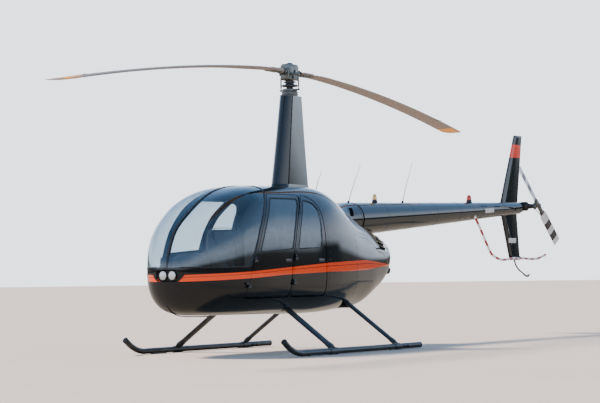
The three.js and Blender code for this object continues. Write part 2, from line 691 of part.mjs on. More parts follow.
// Meshes and the final frame

const helicopter = new THREE.Group();
for (const { name, shape, look } of parts) {
  const mesh = shape.getMesh();
  const geometry = new THREE.BufferGeometry();
  geometry.setAttribute('position', new THREE.Float32BufferAttribute(mesh.vertProperties, 3));
  geometry.setIndex(Array.from(mesh.triVerts));
  const part = new THREE.Mesh(geometry, new THREE.MeshStandardMaterial(look));
  part.name = name;
  helicopter.add(part);
}
const extent = new THREE.Box3().setFromObject(helicopter);
const middle = extent.getCenter(new THREE.Vector3());
helicopter.position.set(-middle.x, -middle.y, -extent.min.z);

export default helicopter;
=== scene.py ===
"""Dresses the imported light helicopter: paint, glass, cabin, rotors, tail and skid gear.

Lengths are metres. Shapes are worked out from the main rotor's axis (x = 0) and the ground (z = 0),
with +X to the nose, +Y to the port side and +Z up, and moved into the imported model's frame when a
piece is made.
"""

from __future__ import annotations

import logging
import math
from dataclasses import dataclass, field
from enum import Enum
from functools import cached_property
from typing import Callable, Sequence

import bpy
import numpy as np
from mathutils import Matrix

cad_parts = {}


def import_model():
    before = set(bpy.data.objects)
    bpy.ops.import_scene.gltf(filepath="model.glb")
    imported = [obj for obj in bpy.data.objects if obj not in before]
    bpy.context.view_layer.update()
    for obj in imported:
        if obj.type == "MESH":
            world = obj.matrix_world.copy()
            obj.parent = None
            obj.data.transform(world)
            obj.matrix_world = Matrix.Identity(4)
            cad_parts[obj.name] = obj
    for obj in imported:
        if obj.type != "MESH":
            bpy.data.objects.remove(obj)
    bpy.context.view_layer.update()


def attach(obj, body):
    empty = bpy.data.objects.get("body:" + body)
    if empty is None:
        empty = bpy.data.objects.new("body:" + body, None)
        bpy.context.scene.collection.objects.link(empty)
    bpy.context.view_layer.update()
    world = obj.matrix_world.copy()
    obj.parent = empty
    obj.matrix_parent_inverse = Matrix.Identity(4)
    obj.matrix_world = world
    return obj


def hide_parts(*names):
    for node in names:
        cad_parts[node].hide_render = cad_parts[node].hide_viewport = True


LOG = logging.getLogger("helicopter")
Array = np.ndarray
Triple = tuple[float, float, float]
ORIGIN = (0, 0, 0)
X_AXIS, Y_AXIS, Z_AXIS = (1, 0, 0), (0, 1, 0), (0, 0, 1)
PORT, STARBOARD = 1, -1
SIDE_WORDS = {PORT: "left", STARBOARD: "right"}
MAST_X = 0.808108  # the main rotor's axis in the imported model's frame


def unit(vectors: Array) -> Array:
    """Scales vectors to length one.

    Args:
        vectors: any array whose last axis holds x, y, z.

    Returns:
        The same directions with length one.
    """
    return vectors / np.maximum(np.linalg.norm(vectors, axis=-1, keepdims=True), 1e-12)


def stacked(*values: Array) -> Array:
    """Rows from their columns, such as x, y and z, which are first brought to one shape."""
    return np.stack(np.broadcast_arrays(*values), axis=-1)


def full_turn(count: int) -> Array:
    """Angles at even spacing round a whole turn, in radians."""
    return np.linspace(0, 2 * np.pi, count, endpoint=False)


def scaled(color: Sequence[float], factor: float) -> tuple[float, ...]:
    """A colour with each of its numbers multiplied."""
    return tuple(factor * c for c in color)


def ramp(low: float, high: float, values: Array) -> Array:
    """Smooth step from 0 at low to 1 at high.

    Args:
        low: value where the step starts.
        high: value where the step ends.
        values: where to work it out.

    Returns:
        3t^2 - 2t^3 of the clipped share t.
    """
    t = np.clip((values - low) / (high - low), 0.0, 1.0)
    return t * t * (3 - 2 * t)


@dataclass
class Patch:
    """A stretch of surface: points and faces of three to five corners.

    Attributes:
        points: positions, one row each.
        faces: index arrays, each with one number of corners.
        normals: one direction for each point, or None for Blender's own. Faces of the last block then
            keep their own direction, because they are a rim.
    """

    points: Array
    faces: list[Array]
    normals: Array | None = None

    @staticmethod
    def joined(patches: Sequence["Patch"]) -> "Patch":
        """Puts patches into one.

        Args:
            patches: the patches, in order.

        Returns:
            One patch with all points and faces.
        """
        starts = np.cumsum([0] + [len(p.points) for p in patches[:-1]])
        faces = [block + start for p, start in zip(patches, starts) for block in p.faces]
        return Patch(np.vstack([p.points for p in patches]), faces)

    def moved(self, shift: Sequence[float]) -> "Patch":
        """The same patch, shifted."""
        return Patch(self.points + np.asarray(shift, float), self.faces, self.normals)

    def turned(self, matrix: Array) -> "Patch":
        """The same patch, turned about the origin by a 3 by 3 matrix."""
        normals = None if self.normals is None else self.normals @ matrix.T
        return Patch(self.points @ matrix.T, self.faces, normals)

    def mirrored(self) -> "Patch":
        """The patch on the other side of the body, with its faces turned to point out again.

        Returns:
            The mirror image.
        """
        flip = np.array([1.0, -1.0, 1.0])
        normals = None if self.normals is None else self.normals * flip
        return Patch(self.points * flip, [block[:, ::-1] for block in self.faces], normals)

    def sided(self, side: int) -> "Patch":
        """The patch itself for the port side and its mirror image for the starboard side."""
        return self if side == PORT else self.mirrored()


def turn_about(axis: Sequence[float], angle: float) -> Array:
    """The matrix of a turn about an axis through the origin.

    Args:
        axis: direction of the axis.
        angle: angle in radians, by the right-hand rule.

    Returns:
        A 3 by 3 matrix.
    """
    x, y, z = np.asarray(axis, float) / np.linalg.norm(axis)
    cross = np.array([[0, -z, y], [z, 0, -x], [-y, x, 0]])
    return np.eye(3) + math.sin(angle) * cross + (1 - math.cos(angle)) * cross @ cross


def grid_faces(rows: int, columns: int, wrap_rows: bool = False, wrap_columns: bool = False) -> Array:
    """Quads of a grid of points.

    Args:
        rows: number of points along the first parameter.
        columns: number along the second.
        wrap_rows: joins the last row to the first.
        wrap_columns: joins the last column to the first.

    Returns:
        Index rows of four corners.
    """
    i = np.arange(rows if wrap_rows else rows - 1)[:, None]
    j = np.arange(columns if wrap_columns else columns - 1)[None, :]
    i1, j1 = (i + 1) % rows, (j + 1) % columns
    corners = [i * columns + j, i1 * columns + j, i1 * columns + j1, i * columns + j1]
    return stacked(*corners).reshape(-1, 4)


def grid_patch(points: Array, wrap_rows: bool = False, wrap_columns: bool = False, caps: bool = False) -> Patch:
    """A patch over a grid of points, closed by fans at its ends where asked.

    Args:
        points: array of rows by columns by 3.
        wrap_rows: joins the last row to the first.
        wrap_columns: joins the last column to the first.
        caps: closes the first and last rows with a fan to their middle.

    Returns:
        The patch.
    """
    rows, columns = points.shape[:2]
    flat = points.reshape(-1, 3)
    faces = [grid_faces(rows, columns, wrap_rows, wrap_columns)]
    if caps:
        middles = points[[0, -1]].mean(axis=1)
        ring = np.arange(columns)
        ahead = (ring + 1) % columns
        first, last = len(flat), len(flat) + 1
        base = (rows - 1) * columns
        faces.append(stacked(ring, ahead, np.full(columns, first)))
        faces.append(stacked(base + ahead, base + ring, np.full(columns, last)))
        flat = np.vstack([flat, middles])
    return Patch(flat, faces)


def circle(count: int, radius: float = 1.0, start: float = 0.0) -> Array:
    """Points of a circle in the plane.

    Args:
        count: number of points.
        radius: the circle's radius.
        start: angle of the first point, in radians.

    Returns:
        Array of count by 2.
    """
    angle = start + full_turn(count)
    return radius * stacked(np.cos(angle), np.sin(angle))


def smooth_path(knots: Sequence[Sequence[float]], count: int) -> Array:
    """A smooth curve through knots: a chord-length Catmull-Rom spline.

    Args:
        knots: the points that the curve passes through.
        count: number of points on the curve.

    Returns:
        Array of count by 3.
    """
    p = np.asarray(knots, float)
    steps = np.maximum(np.linalg.norm(np.diff(p, axis=0), axis=1), 1e-9)
    t = np.concatenate([[0], np.cumsum(steps)])
    slope = np.gradient(p, t, axis=0)
    at = np.linspace(0, t[-1], count)
    i = np.clip(np.searchsorted(t, at, side="right") - 1, 0, len(p) - 2)
    h = (t[i + 1] - t[i])[:, None]
    u = ((at - t[i]) / (t[i + 1] - t[i]))[:, None]
    start = (2 * u**3 - 3 * u**2 + 1) * p[i] + (u**3 - 2 * u**2 + u) * h * slope[i]
    end = (-2 * u**3 + 3 * u**2) * p[i + 1] + (u**3 - u**2) * h * slope[i + 1]
    return start + end


def frames_along(path: Array, up: Sequence[float]) -> tuple[Array, Array]:
    """Two directions across a path at each of its points.

    Args:
        path: points of the path.
        up: a direction that the path never runs along.

    Returns:
        Sideways and upward directions, each one row for a point.
    """
    along = unit(np.gradient(path, axis=0))
    side = unit(np.cross(np.asarray(up, float), along))
    return side, np.cross(along, side)


def sweep(
    path: Array,
    profile: Array,
    up: Sequence[float] = Z_AXIS,
    scale: Array | None = None,
    closed: bool = False,
    round_ends: bool = False,
) -> Patch:
    """A profile carried along a path: each point is the path plus the profile across it.

    Args:
        path: points of the path.
        profile: closed outline, columns across and up.
        up: a direction that the path never runs along.
        scale: size of the profile at each point of the path, one or two columns.
        closed: joins the path's end to its start.
        round_ends: draws the ends in to a dome.

    Returns:
        The closed patch.
    """
    if closed:
        around = np.arange(-1, len(path) + 1) % len(path)
        up = np.broadcast_to(np.asarray(up, float), path.shape)[around]
        side, rise = (v[1:-1] for v in frames_along(path[around], up))
    else:
        side, rise = frames_along(path, up)
    size = np.ones((len(path), 2)) if scale is None else np.broadcast_to(
        np.asarray(scale, float), (len(path), 2)
    ).copy()
    points = (
        path[:, None, :]
        + side[:, None, :] * (profile[None, :, 0:1] * size[:, None, 0:1])
        + rise[:, None, :] * (profile[None, :, 1:2] * size[:, None, 1:2])
    )
    if round_ends and not closed:
        reach = np.abs(profile).max()
        angle = np.linspace(0, np.pi / 2, 5)[1:]
        along = unit(np.gradient(path, axis=0))
        start, end = points[0], points[-1]
        heads = [
            path[0] + (start - path[0]) * math.cos(a) - along[0] * reach * size[0].max() * math.sin(a) for a in angle
        ]
        tails = [
            path[-1] + (end - path[-1]) * math.cos(a) + along[-1] * reach * size[-1].max() * math.sin(a)
            for a in angle
        ]
        points = np.concatenate([np.array(heads[::-1]), points, np.array(tails)])
    return grid_patch(points, wrap_rows=closed, wrap_columns=True, caps=not closed)


def tube(knots: Sequence[Sequence[float]], radius: float, count: int = 24, sides: int = 12, **options) -> Patch:
    """A round tube along a smooth curve.

    Args:
        knots: points that the tube's middle passes through.
        radius: the tube's radius.
        count: number of rings.
        sides: number of points round it.
        **options: passed on to sweep.

    Returns:
        The closed patch.
    """
    return sweep(smooth_path(knots, count), circle(sides, radius), **options)


def bar(
    start: Sequence[float], end: Sequence[float], radius: float, sides: int = 16, bevel: float = 0.0,
    end_radius: float | None = None,
) -> Patch:
    """A straight round bar with a small bevel at its ends.

    Args:
        start: middle of the first end.
        end: middle of the other end.
        radius: radius at the start.
        sides: number of points round it.
        bevel: width of the bevel at each end.
        end_radius: radius at the end, the same if left out.

    Returns:
        The closed patch.
    """
    a, b = np.asarray(start, float), np.asarray(end, float)
    length = np.linalg.norm(b - a)
    last = radius if end_radius is None else end_radius
    edge = bevel / length
    if bevel:
        share = np.array([0, edge * 0.3, edge, 1 - edge, 1 - edge * 0.3, 1])
        size = np.array([radius - bevel, radius - bevel * 0.3, radius, last, last - bevel * 0.3, last - bevel])
    else:
        share = np.array([0.0, 1.0])
        size = np.array([radius, last])
    path = a + share[:, None] * (b - a)
    along = unit(b - a)
    up = X_AXIS if abs(along[2]) > 0.8 else Z_AXIS
    side = unit(np.cross(np.asarray(up, float), along))
    rise = np.cross(along, side)
    ring = circle(sides)
    points = path[:, None, :] + size[:, None, None] * (ring[None, :, 0:1] * side + ring[None, :, 1:2] * rise)
    return grid_patch(points, wrap_columns=True, caps=True)


def lathe(profile: Sequence[Sequence[float]], middle: Sequence[float], axis: Sequence[float], sides: int = 32) -> Patch:
    """A profile turned about an axis: radius and height become a ring of points.

    Args:
        profile: rows of radius and height, from one end of the axis to the other or closed on itself.
        middle: where height is nought.
        axis: direction of the axis.
        sides: number of points round it.

    Returns:
        The patch, closed if the profile starts and ends at the axis or on itself.
    """
    rows = np.asarray(profile, float)
    along = unit(np.asarray(axis, float))
    up = X_AXIS if abs(along[2]) > 0.8 else Z_AXIS
    side = unit(np.cross(np.asarray(up, float), along))
    rise = np.cross(along, side)
    ring = circle(sides)
    reach = ring[:, 0:1] * side + ring[:, 1:2] * rise
    points = np.asarray(middle, float) + rows[:, None, 0:1] * reach[None] + rows[:, None, 1:2] * along
    wraps = bool(np.allclose(rows[0], rows[-1]))
    if wraps:
        points = points[:-1]
    return grid_patch(points, wrap_rows=wraps, wrap_columns=True)


def soft_box(low: Sequence[float], high: Sequence[float], radius: float, steps: int = 4) -> Patch:
    """A box with round edges: each direction of a sphere, times the radius, from the nearest corner.

    Args:
        low: lowest corner.
        high: highest corner.
        radius: radius of the edges.
        steps: points along a quarter turn of an edge.

    Returns:
        The closed patch.
    """
    a, b = np.asarray(low, float), np.asarray(high, float)
    middle, half = (a + b) / 2, (b - a) / 2
    r = min(radius, half.min() * 0.999)
    quarter = np.linspace(0, np.pi / 2, steps + 1)
    turn = np.concatenate([quarter, quarter + np.pi / 2, quarter + np.pi, quarter + 1.5 * np.pi])
    signs_x = np.repeat([1, -1, -1, 1], steps + 1)
    signs_y = np.repeat([1, 1, -1, -1], steps + 1)
    lift = np.concatenate([quarter - np.pi / 2, quarter])
    signs_z = np.repeat([-1, 1], steps + 1)
    core = half - r
    x = core[0] * signs_x[None, :] + r * np.cos(lift)[:, None] * np.cos(turn)[None, :]
    y = core[1] * signs_y[None, :] + r * np.cos(lift)[:, None] * np.sin(turn)[None, :]
    z = core[2] * signs_z[:, None] + r * np.sin(lift)[:, None] + 0 * turn[None, :]
    return grid_patch(stacked(x, y, z) + middle, wrap_columns=True, caps=True)


def between(first: Sequence[float], second: Sequence[float]) -> tuple[Array, Array]:
    """Lowest and highest corner of the box between two opposite corners."""
    return np.minimum(first, second), np.maximum(first, second)


# Trimming a surface by a field


@dataclass
class Surface:
    """A surface of two parameters, with a grid of values for each.

    Attributes:
        first: values of the first parameter.
        second: values of the second parameter.
        place: works out positions from two arrays of parameters.
        steps: how far to each side the slopes are taken.
    """

    first: Array
    second: Array
    place: Callable[[Array, Array], Array]
    steps: tuple[float, float] = (0.004, 0.006)

    def normals(self, a: Array, b: Array) -> Array:
        """Outward directions: the cross product of the two slopes.

        Args:
            a: first parameters.
            b: second parameters.

        Returns:
            One direction for each pair.
        """
        da, db = self.steps
        along = self.place(a + da, b) - self.place(a - da, b)
        across = self.place(a, b + db) - self.place(a, b - db)
        return unit(np.cross(along, across))

    def trimmed(self, inside: Callable[[Array], Array], depth: float, thickness: float) -> Patch:
        """The part of the surface where a field is positive, given a thickness.

        Cells that the field's zero line crosses are cut along it, so an edge follows the line.

        Args:
            inside: field of positions, positive where the surface stays.
            depth: how far the outer face lies under the surface.
            thickness: distance from the outer to the inner face.

        Returns:
            The closed patch with its normals; its last block of faces is the rim.
        """
        rows, columns = len(self.first), len(self.second)
        a, b = np.meshgrid(self.first, self.second, indexing="ij")
        value = inside(self.place(a, b))
        index = np.arange(rows * columns).reshape(rows, columns)
        a, b, value = a.ravel(), b.ravel(), value.ravel()
        keep = value > 0

        edges = np.concatenate(
            [
                stacked(index[:-1].ravel(), index[1:].ravel()),
                stacked(index[:, :-1].ravel(), index[:, 1:].ravel()),
            ]
        )
        crossed = keep[edges[:, 0]] != keep[edges[:, 1]]
        number = np.full(len(edges), -1)
        number[crossed] = rows * columns + np.arange(crossed.sum())
        ends = edges[crossed]
        low, high = value[ends[:, 0]], value[ends[:, 1]]
        share = np.clip(low / (low - high), 0.02, 0.98)
        new_a = a[ends[:, 0]] + share * (a[ends[:, 1]] - a[ends[:, 0]])
        new_b = b[ends[:, 0]] + share * (b[ends[:, 1]] - b[ends[:, 0]])
        a, b = np.concatenate([a, new_a]), np.concatenate([b, new_b])

        down = number[: (rows - 1) * columns].reshape(rows - 1, columns)
        over = number[(rows - 1) * columns :].reshape(rows, columns - 1)
        corner = [index[:-1, :-1], index[1:, :-1], index[1:, 1:], index[:-1, 1:]]
        middle = [down[:, :-1], over[1:], down[:, 1:], over[:-1]]
        node = np.stack([c.ravel() for c in corner + middle], axis=-1)
        code = (keep[node[:, :4]] * np.array([1, 2, 4, 8])).sum(axis=1)
        outer = [node[code == pattern][:, list(shape)] for pattern, shapes in CELL_CUTS.items() for shape in shapes]
        outer = [block for block in outer if len(block)]

        used = np.unique(np.concatenate([block.ravel() for block in outer]))
        renumber = np.zeros(len(a), int)
        renumber[used] = np.arange(len(used))
        outer = [renumber[block] for block in outer]
        a, b = a[used], b[used]
        normal = self.normals(a, b)
        top = self.place(a, b) - normal * depth
        count = len(top)
        points = np.vstack([top, top - normal * thickness])

        pairs = np.concatenate(
            [stacked(block[:, k], np.roll(block, -1, axis=1)[:, k]) for block in outer for k in range(block.shape[1])]
        )
        forward = pairs[:, 0].astype(np.int64) * count + pairs[:, 1]
        back = pairs[:, 1].astype(np.int64) * count + pairs[:, 0]
        rim = pairs[~np.isin(forward, back)]
        rims = stacked(rim[:, 1], rim[:, 0], rim[:, 0] + count, rim[:, 1] + count)

        inner = [block[:, ::-1] + count for block in outer]
        return Patch(points, outer + inner + [rims], np.vstack([normal, -normal]))


# For each pattern of kept corners (1, 2, 4, 8), the polygons that remain: 0 to 3 are corners, 4 to 7 edges
CELL_CUTS = {
    15: [(0, 1, 2, 3)],
    1: [(0, 4, 7)],
    2: [(1, 5, 4)],
    4: [(2, 6, 5)],
    8: [(3, 7, 6)],
    3: [(0, 1, 5, 7)],
    6: [(1, 2, 6, 4)],
    12: [(2, 3, 7, 5)],
    9: [(3, 0, 4, 6)],
    7: [(0, 1, 2, 6, 7)],
    14: [(1, 2, 3, 7, 4)],
    13: [(2, 3, 0, 4, 5)],
    11: [(3, 0, 1, 5, 6)],
    5: [(0, 4, 7), (2, 6, 5)],
    10: [(1, 5, 4), (3, 7, 6)],
}


@dataclass(frozen=True)
class Outline:
    """A closed outline in the side view, with round corners.

    Attributes:
        corners: x and z of each corner, in order; further columns are left out.
        radius: how far from a real corner its rounding starts.
        ease: length over which the line is smoothed.
        cell: spacing of the table of distances.
    """

    corners: tuple[tuple[float, ...], ...]
    radius: float = 0.045
    ease: float = 0.007
    cell: float = 0.006

    @cached_property
    def loop(self) -> Array:
        """The closed line at even spacing.

        A corner that turns by more than 37 degrees becomes a quadratic curve; the line is then smoothed
        round the loop by a bell curve.
        """
        p = np.array([corner[:2] for corner in self.corners])
        before, after = p - np.roll(p, 1, axis=0), np.roll(p, -1, axis=0) - p
        size = np.stack([np.linalg.norm(before, axis=1), np.linalg.norm(after, axis=1)])
        straight = np.sum(before * after, axis=1) / (size[0] * size[1])
        trim = np.where(straight > 0.8, 0.0, np.minimum(self.radius, 0.45 * size.min(axis=0)))
        start, end = p - before * (trim / size[0])[:, None], p + after * (trim / size[1])[:, None]
        t = np.linspace(0, 1, 9)[None, :, None]
        curve = (1 - t) ** 2 * start[:, None] + 2 * t * (1 - t) * p[:, None] + t**2 * end[:, None]
        loop = np.vstack([curve.reshape(-1, 2), curve[0, :1]])
        run = np.concatenate([[0], np.cumsum(np.linalg.norm(np.diff(loop, axis=0), axis=1))])
        at = np.linspace(0, run[-1], int(run[-1] / 0.005), endpoint=False)
        even = np.interp(at, run, loop[:, 0]) + 1j * np.interp(at, run, loop[:, 1])
        bell = np.exp(-2 * (np.pi * np.fft.fftfreq(len(at), at[1]) * self.ease) ** 2)
        soft = np.fft.ifft(np.fft.fft(even) * bell)
        return stacked(soft.real, soft.imag)

    @cached_property
    def table(self) -> tuple[Array, Array, Array]:
        """The grid's x and z, and the distance to the line on it, positive inside."""
        margin = np.array([0.15, 0.15])
        low, high = self.loop.min(axis=0) - margin, self.loop.max(axis=0) + margin
        xs, zs = np.arange(low[0], high[0], self.cell), np.arange(low[1], high[1], self.cell)
        x, z = np.meshgrid(xs, zs, indexing="ij")
        nearest = np.full(x.shape, np.inf)
        odd = np.zeros(x.shape, bool)
        for (ax, az), (bx, bz) in zip(self.loop, np.roll(self.loop, -1, axis=0)):
            ex, ez = bx - ax, bz - az
            t = np.clip(((x - ax) * ex + (z - az) * ez) / (ex * ex + ez * ez), 0, 1)
            nearest = np.minimum(nearest, (x - ax - t * ex) ** 2 + (z - az - t * ez) ** 2)
            slope = ex / (ez if ez != 0 else 1e-12)
            odd ^= ((az > zs) != (bz > zs))[None] & (x < ax + (z - az) * slope)
        nearest = np.sqrt(nearest)
        return xs, zs, np.where(odd, nearest, -nearest)

    def field(self, x: Array, z: Array, grow: float = 0.0) -> Array:
        """How far inside the outline points lie, negative outside: read from the table.

        Args:
            x: positions along the body.
            z: heights.
            grow: margin that the outline is grown by.

        Returns:
            Distances, positive inside.
        """
        xs, zs, depth = self.table
        u = np.clip((x - xs[0]) / self.cell, 0, len(xs) - 1.001)
        v = np.clip((z - zs[0]) / self.cell, 0, len(zs) - 1.001)
        i, j = u.astype(int), v.astype(int)
        a, b = u - i, v - j
        low = depth[i, j] * (1 - a) + depth[i + 1, j] * a
        high = depth[i, j + 1] * (1 - a) + depth[i + 1, j + 1] * a
        return low * (1 - b) + high * b + grow

    def path(self, count: int, margin: float = 0.0) -> Array:
        """Points along the outline at even spacing.

        Args:
            count: number of points.
            margin: how far the line is moved in.

        Returns:
            Array of count by 2.
        """
        loop = self.loop
        ahead = unit(np.roll(loop, -1, axis=0) - np.roll(loop, 1, axis=0))
        area = np.sum(loop[:, 0] * np.roll(loop[:, 1], -1) - np.roll(loop[:, 0], -1) * loop[:, 1])
        loop = loop + margin * np.sign(area) * stacked(-ahead[:, 1], ahead[:, 0])
        loop = np.vstack([loop, loop[:1]])
        run = np.concatenate([[0], np.cumsum(np.linalg.norm(np.diff(loop, axis=0), axis=1))])
        at = np.linspace(0, run[-1], count, endpoint=False)
        return stacked(np.interp(at, run, loop[:, 0]), np.interp(at, run, loop[:, 1]))


# Shader nodes


class Wire:
    """One output of a shader node. Arithmetic on wires adds Math nodes."""

    def __init__(self, shader: "Shader", socket: bpy.types.NodeSocket) -> None:
        """Keeps the node tree and the socket."""
        self.shader, self.socket = shader, socket

    def __add__(self, other: "Wire | float") -> "Wire":
        """Sum."""
        return self.shader.math("ADD", self, other)

    __radd__ = __add__

    def __sub__(self, other: "Wire | float") -> "Wire":
        """Difference."""
        return self.shader.math("SUBTRACT", self, other)

    def __rsub__(self, other: float) -> "Wire":
        """Difference from a number."""
        return self.shader.math("SUBTRACT", other, self)

    def __mul__(self, other: "Wire | float") -> "Wire":
        """Product."""
        return self.shader.math("MULTIPLY", self, other)

    __rmul__ = __mul__

    def __truediv__(self, other: "Wire | float") -> "Wire":
        """Quotient."""
        return self.shader.math("DIVIDE", self, other)

    def __pow__(self, other: float) -> "Wire":
        """Power."""
        return self.shader.math("POWER", self, other)

    def __abs__(self) -> "Wire":
        """Size without its sign."""
        return self.shader.math("ABSOLUTE", self)


class Shader:
    """A material's node tree, with short calls for the nodes that the finishes use."""

    def __init__(self, name: str) -> None:
        """Starts an empty material.

        Args:
            name: the material's name.
        """
        self.material = bpy.data.materials.new(name)
        self.material.use_nodes = True
        self.tree = self.material.node_tree
        self.tree.nodes.clear()

    def node(self, kind: str, settings: dict | None = None, inputs: dict | None = None) -> bpy.types.Node:
        """Adds a node.

        Args:
            kind: the node's type, without the leading ShaderNode.
            settings: its attributes, set first; "stops" are a ramp's or curve's.
            inputs: values or wires by socket name or number.

        Returns:
            The node.
        """
        node = self.tree.nodes.new("ShaderNode" + kind)
        for key, value in (settings or {}).items():
            if key != "stops":
                setattr(node, key, value)
            elif kind == "ValToRGB":
                elements = node.color_ramp.elements
                while len(elements) < len(value):
                    elements.new(0.5)
                for element, (place, color) in zip(elements, value):
                    element.position, element.color = place, (*color, 1)
            else:
                points = node.mapping.curves[0].points
                while len(points) < len(value):
                    points.new(0.5, 0.5)
                for stop, (place, level) in zip(points, value):
                    stop.location, stop.handle_type = (place, level), "VECTOR"
                node.mapping.update()
        for key, value in (inputs or {}).items():
            socket = node.inputs[key]
            if isinstance(value, Wire):
                self.tree.links.new(value.socket, socket)
            elif socket.type == "RGBA" and len(value) == 3:
                socket.default_value = (*value, 1)
            else:
                socket.default_value = value
        return node

    def wire(self, kind: str, settings: dict | None = None, inputs: dict | None = None, output: int | str = 0) -> Wire:
        """Adds a node and gives one of its outputs."""
        return Wire(self, self.node(kind, settings, inputs).outputs[output])

    def math(self, operation: str, *values: "Wire | float") -> Wire:
        """Adds a Math node."""
        return self.wire("Math", {"operation": operation}, dict(enumerate(values)))

    def step(self, value: Wire, low: float, high: float, to_low: float = 0.0, to_high: float = 1.0) -> Wire:
        """A smooth step of a value from one level to another between two bounds.

        Args:
            value: the value.
            low: where the step starts.
            high: where it ends, which may lie below the start.
            to_low: level at the start.
            to_high: level at the end.

        Returns:
            The stepped value.
        """
        inputs = {"Value": value, "From Min": low, "From Max": high, "To Min": to_low, "To Max": to_high}
        if low > high:
            inputs |= {"From Min": high, "From Max": low, "To Min": to_high, "To Max": to_low}
        return self.wire("MapRange", {"interpolation_type": "SMOOTHSTEP"}, inputs)

    def band(self, value: Wire, low: float, high: float, soft: float) -> Wire:
        """One between two bounds and nought outside, with edges of a given width."""
        return self.step(value, low - soft, low + soft) * self.step(value, high + soft, high - soft)

    def color(self, factor: "Wire | float", first: "Wire | tuple", second: "Wire | tuple") -> Wire:
        """Mixes two colours."""
        return self.wire("Mix", {"data_type": "RGBA"}, {"Factor": factor, 6: first, 7: second}, 2)

    def place(self) -> Wire:
        """Object coordinates measured from the main rotor's axis."""
        spot = Wire(self, self.node("TexCoord").outputs["Object"])
        return self.wire("VectorMath", {"operation": "SUBTRACT"}, {0: spot, 1: (MAST_X, 0, 0)})

    def axes(self, vector: Wire) -> list[Wire]:
        """The three numbers of a vector."""
        node = self.node("SeparateXYZ", None, {0: vector})
        return [Wire(self, out) for out in node.outputs]

    def noise(self, vector: Wire, scale: float, detail: float = 2.0, rough: float = 0.5) -> Wire:
        """Cloudy noise from 0 to 1."""
        return self.wire("TexNoise", None, {"Vector": vector, "Scale": scale, "Detail": detail, "Roughness": rough})

    def stretched(self, vector: Wire, scale: Sequence[float]) -> Wire:
        """A vector with each of its numbers multiplied."""
        return self.wire("VectorMath", {"operation": "MULTIPLY"}, {0: vector, 1: tuple(scale)})

    def bump(self, height: Wire, strength: float, distance: float) -> Wire:
        """A normal from a height."""
        return self.wire("Bump", None, {"Strength": strength, "Distance": distance, "Height": height})

    def done(self, shader: Wire) -> bpy.types.Material:
        """Links the material's output and hands the material back."""
        self.node("OutputMaterial", None, {"Surface": shader})
        return self.material

    def principled(self, **inputs: object) -> Wire:
        """A Principled shader; underscores in names stand for spaces."""
        return self.wire("BsdfPrincipled", None, {key.replace("_", " "): value for key, value in inputs.items()})


class SkyShader(Shader):
    """The same calls for the world's node tree."""

    def __init__(self, name: str) -> None:
        """Starts an empty world, which the scene takes.

        Args:
            name: the world's name.
        """
        self.world = bpy.data.worlds.new(name)
        self.world.use_nodes = True
        self.tree = self.world.node_tree
        self.tree.nodes.clear()
        bpy.context.scene.world = self.world

    def done(self, shader: Wire) -> bpy.types.World:
        """Links the world's output and hands the world back."""
        self.node("OutputWorld", None, {"Surface": shader})
        return self.world


@dataclass(frozen=True)
class Finish:
    """A finish that pieces can have.

    Attributes:
        name: its name, which the material takes.
        slot: the record's material slot.
    """

    name: str
    slot: str

    def material(self) -> bpy.types.Material:
        """The finish's material, made on first use."""
        found = bpy.data.materials.get(self.name)
        return found if found else self.make(Shader(self.name))

    def make(self, s: Shader) -> bpy.types.Material:
        """Builds the material; each kind of finish has its own."""
        raise NotImplementedError


Parts = list[tuple[Patch, Finish]]


class Kit(Parts):
    """The patches that make up a piece, each with its finish."""

    def add(self, finish: Finish, patch: Patch) -> None:
        """Adds a patch."""
        self.append((patch, finish))


# The body's stripe. Columns: x, lower edge, upper edge
STRIPE = (
    (-1.90, 0.962, 0.966),
    (-1.66, 0.954, 0.978),
    (-1.24, 0.938, 1.004),
    (-0.835, 0.913, 1.028),
    (-0.38, 0.904, 1.018),
    (0.18, 0.900, 1.001),
    (1.11, 0.876, 0.952),
    (1.71, 0.845, 0.916),
    (2.5, 0.815, 0.885),
)


